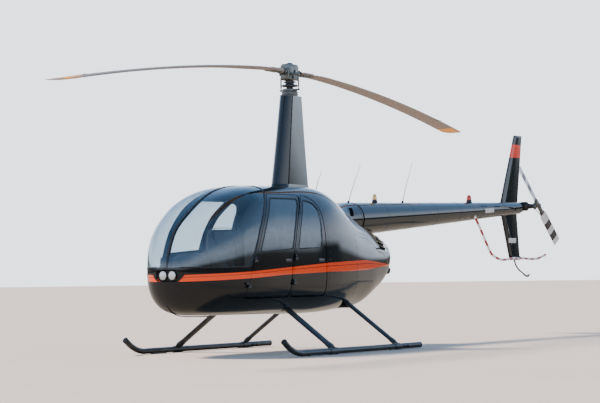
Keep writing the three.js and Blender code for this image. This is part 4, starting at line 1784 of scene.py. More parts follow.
SCREEN = Outline((
    (2.600, 0.968), (1.716, 0.968), (1.630, 1.145), (1.590, 1.242), (1.535, 1.360), (1.451, 1.490),
    (1.346, 1.634), (1.235, 1.735), (1.130, 1.800), (1.085, 1.850), (1.080, 2.000), (2.600, 2.000),
))


def opening(edge: tuple[tuple[float, ...], ...]) -> Outline:
    """The outline of the room for a door's swing: its free edge moved aft and its sill lowered."""
    return Outline(tuple((x - sum(room), z - 0.014 if z < 0.657 else z) for x, z, *room in edge))


FRONT_DOOR, REAR_DOOR = Outline(FRONT_EDGE), Outline(REAR_EDGE)
FRONT_ROOM, REAR_ROOM = opening(FRONT_EDGE), opening(REAR_EDGE)


class Row(Enum):
    """The two rows of doors, each with its outline and its pane."""

    FRONT = (FRONT_DOOR, FRONT_PANE)
    REAR = (REAR_DOOR, REAR_PANE)

    @property
    def word(self) -> str:
        """The row's word in names."""
        return self.name.lower()


@dataclass
class CabinShell:
    """The cabin's tub and upper frame, its doors, windows and windscreens.

    Attributes:
        back: x of the cabin's rear edge.
        belt: height at which the tub meets the upper frame.
        wall: thickness of tub and frame.
        door_wall: thickness of a door.
        door_gap: clearance round a door.
        glass_depth: how far the glass lies under the skin.
        glass_wall: thickness of the glass.
        strip: half width of the strip between the windscreens.
        cell: spacing of the surface's grid.
        core: half width of the body's middle, which no door reaches into.
    """

    back: float = 0.2015
    belt: float = 0.957
    wall: float = 0.026
    door_wall: float = 0.022
    door_gap: float = 0.006
    glass_depth: float = 0.003
    glass_wall: float = 0.004
    strip: float = 0.010
    cell: float = 0.014
    core: float = 0.2

    def grid(self, start: float, end: float, low: float = -math.pi, high: float = math.pi) -> Surface:
        """The body's surface from x = start back to x = end, between two turns.

        Args:
            start: x of its front edge.
            end: x of its rear edge.
            low: the first turn, in radians.
            high: the last turn.

        Returns:
            The surface.
        """
        first = FORM.run_at(np.array([start, end]))
        steps = max(2, int((first[1] - first[0]) / self.cell))
        turns = max(2, int((high - low) * 0.62 / self.cell))
        return FORM.surface(np.linspace(max(first[0], 0.004), first[1], steps + 1), np.linspace(low, high, turns + 1))

    def doors_field(self, p: Array, grow: float) -> Array:
        """How far points lie inside any of the four doors, grown by a margin.

        Args:
            p: points, with x, y and z along the last axis.
            grow: the margin.

        Returns:
            Distances, positive inside.
        """
        x, z = p[..., 0], p[..., 2]
        doors = np.maximum(FRONT_DOOR.field(x, z, grow), REAR_DOOR.field(x, z, grow))
        rooms = np.maximum(FRONT_ROOM.field(x, z), REAR_ROOM.field(x, z))
        return np.minimum(np.maximum(doors, rooms), np.abs(p[..., 1]) - self.core)

    def screen_field(self, p: Array, grow: float = 0.0) -> Array:
        """How far points lie inside either windscreen."""
        return np.minimum(SCREEN.field(p[..., 0], p[..., 2], grow), np.abs(p[..., 1]) - self.strip + grow)

    def shell_field(self, p: Array) -> Array:
        """How far points lie inside the cabin's shell, outside doors and windscreens."""
        return np.minimum.reduce([p[..., 0] - self.back, -self.doors_field(p, self.door_gap), -self.screen_field(p)])

    def tub_field(self, p: Array) -> Array:
        """How far points lie inside the tub, outside the lamp bay and the cross tubes' openings."""
        bay = np.minimum(LampBay().field(p[..., 1], p[..., 2]), p[..., 0] - 2.0)
        return np.minimum.reduce([self.shell_field(p), self.belt - p[..., 2], -bay, -LandingGear().slot_field(p)])

    def build(self) -> None:
        """Makes tub, frame, windscreens, doors, seals and fittings."""
        whole = self.grid(2.4119, self.back - 0.02)
        tub = whole.trimmed(self.tub_field, 0, self.wall)
        frame = whole.trimmed(lambda p: np.minimum(self.shell_field(p), p[..., 2] - self.belt - 0.0003), 0, self.wall)
        make_piece("cabin_tub_skin", "airframe", [(tub, BODY_PAINT)], ["cabin_tub"])
        make_piece("cabin_frame_skin", "airframe", [(frame, BODY_PAINT)], ["cabin_frame"])
        for side in (PORT, STARBOARD):
            self.windscreen(side)
            for row in Row:
                self.door(row, side)
        self.centre_strip()
        self.jambs()

    def windscreen(self, side: int) -> None:
        """Makes one half of the windscreen and its seal.

        Args:
            side: 1 for the port side, -1 for starboard.
        """
        turns = (0.0, math.pi / 2 + 0.1) if side == PORT else (math.pi / 2 - 0.1, math.pi)
        surface = self.grid(2.41, 1.06, *turns)
        trim = 0.0015

        def half(p: Array) -> Array:
            """How far points lie inside this half of the windscreen."""
            return np.minimum(SCREEN.field(p[..., 0], p[..., 2], -trim), side * p[..., 1] - self.strip - trim)

        glass = surface.trimmed(half, self.glass_depth, self.glass_wall)
        word = SIDE_WORDS[side]
        make_piece(f"windscreen_{word}_glass", "airframe", [(glass, GLAZING)], [f"windscreen_{word}"])
        outline = SCREEN.path(900)
        s, turn = FORM.locate(outline[:, 0], outline[:, 1], side)
        top = FORM.place(s, np.full_like(s, math.pi / 2))[:, 2]
        shown = (outline[:, 0] < 2.40) & (outline[:, 1] < top - 0.0005)
        y = side * FORM.place(s, turn)[:, 1]
        shown &= y > self.strip - 0.004
        start = int(np.argmax(shown & ~np.roll(shown, 1)))
        order = (start + np.arange(int(shown.sum()))) % len(outline)
        points, normals = FORM.line(s[order], turn[order], -0.0005)
        points, normals = spread(points, 0.012, normals)
        seal = sweep(points, rounded_bar(0.015, 0.004), up=normals)
        make_piece(f"windscreen_{word}_seal", "airframe", [(seal, SEAL)])

    def centre_strip(self) -> None:
        """Makes the strip over the joint of the windscreens, with its screws."""
        s = np.linspace(FORM.run_at(2.386), FORM.run_at(1.092), 110)
        points, normals = FORM.line(s, np.full_like(s, math.pi / 2), -0.001)
        strip = sweep(points, rounded_bar(0.024, 0.004), up=normals)
        spots, facing = spread(points + normals * 0.002, 0.075, normals)
        screws = studs(spots, facing, 0.0034, 0.0012)
        make_piece("windscreen_centre_strip", "airframe", [(strip, SEAL), (screws, SEAL)])

    def door(self, row: Row, side: int) -> None:
        """Makes one door: panel, pane, seals, handle and hinges.

        Args:
            row: front or rear.
            side: 1 for the port side, -1 for starboard.
        """
        outline, pane = row.value
        name = f"{row.word}_{SIDE_WORDS[side]}"
        body = f"door_{name}"
        xs = outline.loop[:, 0]
        turns = (-0.65, 1.30) if side == PORT else (math.pi - 1.30, math.pi + 0.65)
        surface = self.grid(xs.max() + 0.02, xs.min() - 0.02, *turns)

        def skin(p: Array) -> Array:
            """How far points lie inside the panel, round its window."""
            x, z = p[..., 0], p[..., 2]
            return np.minimum.reduce([outline.field(x, z), -pane.field(x, z), side * p[..., 1] - self.core])

        def window(p: Array) -> Array:
            """How far points lie inside the pane."""
            return np.minimum(pane.field(p[..., 0], p[..., 2], -0.0015), side * p[..., 1] - self.core)

        panel = surface.trimmed(skin, 0, self.door_wall)
        glass = surface.trimmed(window, self.glass_depth, self.glass_wall)
        make_piece(f"{body}_skin", body, [(panel, BODY_PAINT)], [body])
        make_piece(f"window_{name}_glass", body, [(glass, GLAZING)], [f"window_{name}"])
        fittings = [(self.edge_strip(pane, side, 0.0, -0.0005, 0.013, 0.0035), SEAL)]
        fittings += [(self.edge_strip(pane, side, -0.012, self.door_wall, 0.030, 0.006), TRIM)]
        fittings += self.handle(row, side)
        make_piece(f"{body}_fittings", body, fittings)
        self.hinges(row, side)

    def edge_strip(
        self, outline: Outline, side: int, margin: float, depth: float, width: float, height: float
    ) -> Patch:
        """A flat strip that follows an outline on the body's side.

        Args:
            outline: the outline.
            side: 1 for the port side, -1 for starboard.
            margin: how far inside the outline its middle runs.
            depth: how far under the skin it lies.
            width: its width.
            height: its thickness.

        Returns:
            The closed patch.
        """
        path = outline.path(200, margin)
        points, normals = FORM.line(*FORM.locate(path[:, 0], path[:, 1], side), depth)
        return sweep(points, rounded_bar(width, height), up=normals, closed=True)

    def jambs(self) -> None:
        """Makes the landing strips behind the doors' edges."""
        parts = Kit()
        for side in (PORT, STARBOARD):
            for row in Row:
                parts.add(ROOF_TRIM, self.edge_strip(row.value[0], side, -0.004, 0.0305, 0.046, 0.004))
        make_piece("door_jambs", "airframe", parts)

    def handle(self, row: Row, side: int) -> Parts:
        """Makes a door's flush latch handle, its lock and the pull inside.

        Args:
            row: front or rear.
            side: 1 for the port side, -1 for starboard.

        Returns:
            Patches with their finishes.
        """
        x = 0.990 if row is Row.FRONT else 0.318
        s, turn = FORM.locate(np.linspace(x, x + 0.105, 12), np.full(12, 1.030), side)
        points, normals = FORM.line(s, turn, -0.007)
        size = np.ones((12, 2))
        size[:, 0] = np.interp(np.arange(12), [0, 2, 11], [1.25, 1.0, 0.75])
        lever = sweep(points, rounded_bar(0.020, 0.006), up=normals, scale=size)
        plate_points, plate_normals = FORM.line(s, turn, -0.0005)
        plate = sweep(plate_points, rounded_bar(0.034, 0.002), up=plate_normals)
        pivot = studs(points[:1] - normals[:1] * 0.006, normals[:1], 0.009, 0.010, 16)
        inner, facing = FORM.line(
            *FORM.locate(np.array([x + 0.06, x + 0.06]), np.array([0.80, 0.98]), side), self.door_wall
        )
        reach = inner - facing * 0.032
        pull = tube(
            [
                inner[0], reach[0] * 0.8 + inner[0] * 0.2, reach.mean(axis=0), reach[1] * 0.8 + inner[1] * 0.2,
                inner[1],
            ],
            0.008,
            24,
            10,
        )
        return [(lever, DARK_METAL), (plate, ROOF_TRIM), (pivot, DARK_METAL), (pull, TRIM)]

    def hinges(self, row: Row, side: int) -> None:
        """Makes both halves of a door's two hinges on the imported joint's axis.

        Args:
            row: front or rear.
            side: 1 for the port side, -1 for starboard.
        """
        line = HINGES[row]
        length = line.length
        moving, fixed = Kit(), Kit()
        for z, edge, skin, back, ahead in line.places:
            x, y = line.at(z + length)[:2]
            moving.add(BLACK_PAINT, bar(line.at(z), line.at(z + length), 0.008, 16, 0.001))
            moving.add(
                BLACK_PAINT, soft_box((x - 0.046, skin + 0.006, z + 0.003), (x, y + 0.002, z + length - 0.003), 0.003)
            )
            moving.add(
                BLACK_PAINT,
                soft_box(
                    (x - 0.046, skin - 0.010, z + 0.003), (edge - 0.006, skin + 0.009, z + length - 0.003), 0.003
                ),
            )
            fixed.add(BLACK_PAINT, bar(line.at(z + length + 0.0003), line.at(z + 2 * length), 0.008, 16, 0.001))
            fixed.add(
                BLACK_PAINT,
                soft_box(
                    (x + back, skin - 0.010, z + length + 0.003),
                    (x + ahead, y + 0.002, z + 2 * length - 0.003),
                    0.003,
                ),
            )
        name = f"{row.word}_{SIDE_WORDS[side]}"
        make_piece(
            f"door_{name}_hinge_leaves", f"door_{name}", [(p.sided(side), f) for p, f in map(closed_out, moving)]
        )
        make_piece(f"door_{name}_hinge_posts", "airframe", [(p.sided(side), f) for p, f in map(closed_out, fixed)])


def closed_out(part: tuple[Patch, Finish]) -> tuple[Patch, Finish]:
    """A part with its patch's faces turned outwards."""
    return outward(part[0]), part[1]


def rounded_bar(width: float, height: float, steps: int = 3) -> Array:
    """A flat profile with round edges: quarter circles at the corners of a rectangle.

    Args:
        width: size across.
        height: size up.
        steps: points along each corner.

    Returns:
        Points across and up.
    """
    r = min(width, height) * 0.45
    angle = np.linspace(0, np.pi / 2, steps + 1)
    corners = [
        (width / 2 - r, height / 2 - r, 0),
        (r - width / 2, height / 2 - r, 1),
        (r - width / 2, r - height / 2, 2),
        (width / 2 - r, r - height / 2, 3),
    ]
    return np.vstack(
        [
            stacked(cx + r * np.cos(angle + k * np.pi / 2), cz + r * np.sin(angle + k * np.pi / 2))
            for cx, cz, k in corners
        ]
    )


@dataclass(frozen=True)
class HingeLine:
    """A door's hinge axis and its two hinges.

    Attributes:
        x: its place along the body at HINGE_HEIGHT.
        y: its distance from the middle plane there.
        lean: change of x with height.
        splay: change of y with height.
        places: for each hinge its lower end, the door's front edge and the body's half width there, and
            how far its fixed arm reaches back and ahead.
        length: length of each half of a hinge.
    """

    x: float
    y: float
    lean: float
    splay: float
    places: tuple[tuple[float, ...], ...]
    length: float = 0.034

    def at(self, z: float) -> Array:
        """The axis's point at a height."""
        rise = z - HINGE_HEIGHT
        return np.array([self.x + self.lean * rise, self.y + self.splay * rise, z])


HINGE_HEIGHT = 0.95
HINGES = {
    Row.FRONT: HingeLine(
        1.696, 0.623, -0.338, 0.0836, ((0.735, 1.736, 0.588, 0.0, 0.040), (1.010, 1.640, 0.611, -0.012, 0.004))
    ),
    Row.REAR: HingeLine(
        0.929, 0.655, -0.148, 0.0, ((0.760, 0.931, 0.636, -0.010, 0.006), (1.030, 0.892, 0.639, -0.012, 0.001))
    ),
}


@dataclass
class LampBay:
    """The black bay in the nose with two landing lamps.

    Attributes:
        half: half its width.
        low: height of its lower edge.
        high: height of its upper edge.
        depth: how far its panel lies under the skin.
        lamp: radius of a lamp.
        spread: distance of a lamp from the middle plane.
        height: height of the lamps' middle.
        corner: radius of the bay's corners.
    """

    half: float = 0.150
    low: float = 0.818
    high: float = 0.948
    depth: float = 0.024
    lamp: float = 0.052
    spread: float = 0.060
    height: float = 0.885
    corner: float = 0.060

    def field(self, y: Array, z: Array) -> Array:
        """How far inside the bay's rounded outline points of the front view lie.

        Args:
            y: distances from the middle plane.
            z: heights.

        Returns:
            Distances, positive inside.
        """
        tall = (self.high - self.low) / 2
        dy = np.maximum(np.abs(y) - self.half + self.corner, 0)
        dz = np.maximum(np.abs(z - self.low - tall) - tall + self.corner, 0)
        return self.corner - np.hypot(dy, dz)

    def nose_x(self, y: Array, z: Array) -> Array:
        """x of the body's surface ahead of a point of the front view: solved by halving the run.

        Args:
            y: distances from the middle plane.
            z: heights.

        Returns:
            The surface's x.
        """
        low, high = np.zeros_like(y), np.full_like(y, 0.7)
        for _ in range(36):
            middle = (low + high) / 2
            half, up, down, _, wide, upper, lower = FORM.section(middle)
            rise = z - wide
            height = np.maximum(np.where(rise >= 0, up, down), 1e-6)
            n = FORM.roundness(rise / np.maximum(np.hypot(y, rise), 1e-9), upper, lower)
            outside = (np.abs(y) / np.maximum(half, 1e-6)) ** n + (np.abs(rise) / height) ** n > 1
            low, high = np.where(outside, middle, low), np.where(outside, high, middle)
        return FORM.section((low + high) / 2)[3]

    def build(self) -> None:
        """Makes the bay's dished panel, its rim and the two lamps."""
        y = np.linspace(-self.half - 0.002, self.half + 0.002, 49)
        z = np.linspace(self.low - 0.002, self.high + 0.002, 27)
        grid_y, grid_z = np.meshgrid(y, z, indexing="ij")
        front = self.nose_x(grid_y, grid_z)
        edge = np.minimum(self.half - np.abs(grid_y), np.minimum(grid_z - self.low, self.high - grid_z))
        dish = 0.004 + (self.depth - 0.004) * ramp(-0.002, 0.014, edge)
        face = stacked(front - dish, grid_y, grid_z)
        back = face - np.array([0.012, 0, 0])
        panel = sheet_between(face, back)
        parts = Kit([(panel, GLARE_BLACK)])
        for side in (PORT, STARBOARD):
            middle = np.array([0, side * self.spread, self.height])
            r = self.lamp
            cover = [(0, 0.036), (r * 0.35, 0.0355), (r * 0.7, 0.033), (r * 0.90, 0.029), (r * 0.93, 0.0), (0, 0.0)]
            parts.add(LAMP, lathe(cover, middle + [2.370, 0, 0], X_AXIS, 40))
            rim = [
                (r * 0.90, 0.026), (r * 0.92, 0.034), (r * 0.97, 0.036), (r * 1.0, 0.033), (r * 1.0, 0.0),
                (r * 0.90, 0.0), (r * 0.90, 0.026),
            ]
            parts.add(DARK_METAL, lathe(rim, middle + [2.370, 0, 0], X_AXIS, 40))
            tabs = middle + np.array([2.392, 0, 0]) + np.array(
                [[0, 0.71, 0.71], [0, -0.71, 0.71], [0, 0.71, -0.71], [0, -0.71, -0.71]]
            ) * (r + 0.003)
            parts.add(BOLT_METAL, studs(tabs, X_AXIS, 0.0035, 0.003))
        make_piece("landing_lamps", "airframe", parts, ["landing_lights"])


def sheet_between(face: Array, back: Array) -> Patch:
    """A closed sheet between two grids of points of the same size.

    Args:
        face: rows by columns by 3.
        back: the same, behind it.

    Returns:
        The closed patch, its rim joined between the two edges.
    """
    rows, columns = face.shape[:2]
    index = np.arange(rows * columns).reshape(rows, columns)
    loop = np.concatenate([index[0, :-1], index[:-1, -1], index[-1, :0:-1], index[:0:-1, 0]])
    ahead = np.roll(loop, -1)
    count = rows * columns
    front = grid_faces(rows, columns)
    rim = stacked(loop, ahead, ahead + count, loop + count)
    return Patch(np.vstack([face.reshape(-1, 3), back.reshape(-1, 3)]), [front, front[:, ::-1] + count, rim])


# The engine's cowlings


@dataclass
class Cowlings:
    """The engine bay's cowling and the tapering one behind it, with its louvres.

    Attributes:
        front: x of the front edge.
        seam: x of the seam between the two.
        end: x of the open rear end.
        gap: width of the seams.
        wall: thickness of the skin.
        slots: number of louvre slots on each side.
        lip: how far a louvre's lip stands out.
    """

    front: float = 0.200
    seam: float = -0.552
    end: float = -1.877
    gap: float = 0.003
    wall: float = 0.006
    slots: int = 5
    lip: float = 0.006

    def slot(self, index: int) -> Outline:
        """Side view of one louvre slot."""
        z, x0, x1 = 1.128 + 0.047 * index, -1.740, -1.415
        return Outline(((x0, z), (x1, z + 0.045), (x1, z + 0.069), (x0, z + 0.024)), 0.009, 0.003, 0.003)

    def bay_field(self, p: Array) -> Array:
        """How far points lie inside the engine bay's cowling."""
        x, half = p[..., 0], self.gap / 2
        return np.minimum.reduce([self.front - half - x, x - self.seam - half, -LandingGear().slot_field(p)])

    def aft_field(self, p: Array) -> Array:
        """How far points lie inside the aft cowling, outside its louvre slots.

        Args:
            p: points, with x, y and z along the last axis.

        Returns:
            Distances, positive inside.
        """
        x, y, z = p[..., 0], p[..., 1], p[..., 2]
        slots = [np.maximum(-self.slot(i).field(x, z), 0.06 - np.abs(y)) for i in range(self.slots)]
        return np.minimum.reduce([self.seam - self.gap / 2 - x, x - self.end, -LandingGear().slot_field(p)] + slots)

    def build(self) -> None:
        """Makes both cowlings, their louvre lips, seams and fasteners."""
        bay = CabinShell().grid(self.front + 0.02, self.seam - 0.02)
        make_piece(
            "engine_cowl_skin", "airframe", [(bay.trimmed(self.bay_field, 0, self.wall), BODY_PAINT)], ["engine_cowl"]
        )
        runs = FORM.run_at(np.array([self.seam + 0.02, self.end - 0.003]))
        fine = np.linspace(0.28, 1.30, 105)
        turns = np.unique(np.round(np.concatenate([np.linspace(-np.pi, np.pi, 130), fine, np.pi - fine]), 5))
        surface = FORM.surface(np.linspace(*runs, 105), turns)
        parts = Kit([(surface.trimmed(self.aft_field, 0, self.wall), BODY_PAINT)])
        for side in (PORT, STARBOARD):
            for i in range(self.slots):
                parts.add(VOID_BLACK, self.louvre(i, side))
            s, turn = FORM.locate(
                *np.meshgrid(np.linspace(-1.755, -1.400, 16), np.linspace(1.112, 1.412, 14), indexing="ij"), side
            )
            points, normals = FORM.line(s, turn, 0.022)
            parts.add(VOID_BLACK, sheet_between(points, points - 0.003 * normals))
        make_piece("aft_cowl_skin", "airframe", parts, ["aft_cowl"])
        self.fasteners()
        self.backing()

    def louvre(self, index: int, side: int) -> Patch:
        """A louvre's curved lip: the slot's upper edge carried outwards and down as an arc.

        Args:
            index: number of the slot, from the lowest.
            side: 1 for the port side, -1 for starboard.

        Returns:
            The closed patch.
        """
        z0, x0, x1 = 1.152 + 0.047 * index, -1.736, -1.419
        share = np.linspace(0, 1, 28)
        x, z = x0 + (x1 - x0) * share, z0 + 0.045 * share
        fade = np.sin(np.pi * np.clip(share, 0.03, 0.97)) ** 0.35
        rows = []
        for turn in np.linspace(0, 1, 7):
            s, place = FORM.locate(x, z + 0.004 - 0.008 * turn, side)
            lift = self.lip * np.sin(turn * np.pi / 2) * fade
            points, normals = FORM.line(s, place, 0.0)
            rows.append(points + normals * lift[:, None])
        face = np.array(rows)
        inward = np.array([0, -side * 0.0014, -0.0006])
        return sheet_between(face, face + inward)

    def fasteners(self) -> None:
        """Makes the rows of quarter-turn fasteners along the cowlings' edges."""
        spots, facing = [], []
        for x in (0.175, -0.530, -0.576):
            turns = np.concatenate([np.linspace(-0.55, 1.35, 17), np.pi - np.linspace(-0.55, 1.35, 17)])
            points, normals = FORM.line(np.full(len(turns), FORM.run_at(x)), turns)
            spots.append(points)
            facing.append(normals)
        for side in (PORT, STARBOARD):
            x = np.linspace(0.10, -0.48, 6)
            for z in (0.66, 1.62):
                drop = 0.18 * ramp(0.0, -0.6, x) * (z > 1)
                points, normals = FORM.line(*FORM.locate(x, z - drop, side))
                spots.append(points)
                facing.append(normals)
        heads = studs(np.vstack(spots), np.vstack(facing), 0.0065, 0.0016, 12)
        make_piece("cowl_fasteners", "airframe", [(heads, DARK_METAL)])

    def backing(self) -> None:
        """Makes the flanges behind the seams, which close them from view."""
        parts = Kit()
        turns = full_turn(200)
        for x in (self.front, self.seam):
            points, normals = FORM.line(np.full(len(turns), FORM.run_at(x)), turns, self.wall + 0.003)
            keep = LandingGear().slot_field(points) < -0.01
            if keep.all():
                parts.add(ROOF_TRIM, sweep(points, rounded_bar(0.036, 0.003), up=normals, closed=True))
            else:
                order = (int(np.argmax(keep & ~np.roll(keep, 1))) + np.arange(int(keep.sum()))) % len(turns)
                parts.add(ROOF_TRIM, sweep(points[order], rounded_bar(0.036, 0.003), up=normals[order]))
        make_piece("cowl_seam_flanges", "airframe", parts)


# The landing gear


@dataclass
class LandingGear:
    """Two cross tubes with streamlined legs, and two skid tubes.

    Attributes:
        y: distance of a skid from the middle plane.
        radius: the skid tube's radius.
        centre: height of its middle.
        toe: x at which the toe starts to curl.
        heel: x of the rear end.
        tubes: for each cross tube its name, its x, and its legs' chord and thickness.
    """

    y: float = 1.050
    radius: float = 0.032
    centre: float = 0.038
    toe: float = 1.450
    heel: float = -1.080
    tubes: tuple[tuple[str, float, float, float], ...] = (
        ("front", 0.800, 0.118, 0.046), ("rear", -0.550, 0.084, 0.044)
    )

    def slot_field(self, p: Array) -> Array:
        """How far points lie inside the openings that the cross tubes pass through.

        Args:
            p: points, with x, y and z along the last axis.

        Returns:
            Distances, positive inside.
        """
        found = np.full(p.shape[:-1], -np.inf)
        for _, x, chord, thick in self.tubes:
            ends = np.array([0.400, 0.533]), np.array([1.050, 0.068])
            along = ends[1] - ends[0]
            length = np.hypot(*along)
            along = along / length
            dy, dz = np.abs(p[..., 1]) - ends[0][0], p[..., 2] - ends[0][1]
            t = dy * along[0] + dz * along[1]
            off = dy * -along[1] + dz * along[0]
            a, b = chord / 2 + 0.008, thick / 2 + 0.008
            ellipse = (1 - np.hypot((p[..., 0] - x) / a, off / b)) * b
            inside = np.minimum(ellipse, t + 0.05)
            belly = np.minimum(0.034 - np.hypot(p[..., 0] - x, p[..., 2] - 0.503), 0.46 - np.abs(p[..., 1]))
            found = np.maximum(found, np.maximum(inside, belly))
        return found

    def build(self) -> None:
        """Makes the cross tubes with their fairings and saddles, and the skids."""
        for word, x, chord, thick in self.tubes:
            self.cross_tube(word, x, chord, thick)
        for side in (PORT, STARBOARD):
            self.skid(side)

    def cross_tube(self, word: str, x: float, chord: float, thick: float) -> None:
        """Makes one cross tube: an ellipse carried along its bent path, rounder towards the feet.

        Args:
            word: front or rear.
            x: its place along the body.
            chord: its legs' width along the body.
            thick: its legs' thickness.
        """
        parts = Kit([(bar((x, -0.44, 0.503), (x, 0.44, 0.503), 0.026, 24), GEAR_PAINT)])
        for side in (PORT, STARBOARD):
            top, foot = np.array([x, 0.392, 0.5387]), np.array([x, self.y, 0.068])
            path = top + np.linspace(0, 1, 40)[:, None] * (foot - top)
            share = np.linspace(0, 1, 40)
            profile = circle(36, 0.5)[:, ::-1]
            size = stacked(
                chord * np.interp(share, [0, 0.94, 1], [1, 0.97, 0.80]),
                thick * np.interp(share, [0, 0.94, 1], [1, 0.98, 0.92]),
            )
            leg = sweep(path, profile, up=X_AXIS, scale=size[:, ::-1])
            parts.add(GEAR_PAINT, outward(leg).sided(side))
            along = unit(foot - top)
            collar = foot - along * 0.085
            band = sweep(
                collar + np.linspace(0, 0.05, 5)[:, None] * along, profile, up=X_AXIS, scale=np.array(
                    [[thick + 0.008, chord + 0.008]] * 5
                ) * np.array([[0.96], [1], [1], [1], [0.96]])
            )
            parts.add(GEAR_PAINT, outward(band).sided(side))
            r, reach = self.radius, chord * 0.72
            sleeve = [
                (0.0, -reach), (r + 0.001, -reach), (r + 0.006, -chord * 0.66), (r + 0.006, chord * 0.66),
                (r + 0.001, reach), (0.0, reach),
            ]
            saddle = lathe(sleeve, (x, self.y, self.centre), X_AXIS, 32)
            parts.add(GEAR_PAINT, outward(saddle).sided(side))
            heads = np.array(
                [
                    [x + dx, self.y + dy, self.centre + self.radius + 0.001]
                    for dx in (-chord * 0.6, chord * 0.6)
                    for dy in (-0.012, 0.012)
                ]
            )
            heads[:, 2] = self.centre + np.sqrt((self.radius + 0.006) ** 2 - (heads[:, 1] - self.y) ** 2)
            out = unit(heads - np.array([0, self.y, self.centre]) * [0, 1, 1] - np.array([1.0, 0, 0]) * heads[:, :1])
            parts.add(BOLT_METAL, studs(heads, out, 0.006, 0.004, 6).sided(side))
        make_piece(f"cross_tube_{word}_dressed", "airframe", parts, [f"cross_tube_{word}"])

    def skid(self, side: int) -> None:
        """Makes one skid tube with its curled toe, end caps and wear shoes.

        Args:
            side: 1 for the port side, -1 for starboard.
        """
        r, y, c = self.radius, self.y, self.centre
        knots = [
            (self.heel, y, c), (self.heel + 0.4, y, c), (0.3, y, c), (self.toe - 0.1, y, c), (self.toe, y, c),
            (self.toe + 0.11, y, c + 0.020), (self.toe + 0.22, y, c + 0.066), (self.toe + 0.32, y, c + 0.132),
        ]
        path = smooth_path(knots, 120)
        path[:, 2] = np.where(path[:, 0] < self.toe - 0.05, c, path[:, 2])
        parts = Kit([(sweep(path, circle(28, r)), GEAR_PAINT)])
        along = unit(path[-1] - path[-3])
        parts.add(SEAL, bar(path[-1] - along * 0.004, path[-1] + along * 0.010, r + 0.002, 28, 0.003))
        parts.add(SEAL, bar((self.heel - 0.012, y, c), (self.heel + 0.004, y, c), r + 0.002, 28, 0.003))
        for low, high in ((self.toe - 0.42, self.toe - 0.15), (-0.70, -0.42)):
            parts.add(WEAR_STEEL, soft_box((low, y - 0.017, 0.0), (high, y + 0.017, 0.016), 0.005))
            spots = np.array([[x, y, 0.0005] for x in np.linspace(low + 0.03, high - 0.03, 3)])
            parts.add(BOLT_METAL, studs(spots, (0, 0, -1), 0.006, 0.0005))
        for x in (self.heel + 0.33, self.heel + 0.40):
            parts.add(GEAR_PAINT, bar((x, y - 0.055, c), (x, y + 0.055, c), 0.011, 16, 0.002))
        word = SIDE_WORDS[side]
        make_piece(
            f"skid_{word}_dressed", "airframe", [(outward(p).sided(side), f) for p, f in parts], [f"skid_{word}"]
        )


# The tail


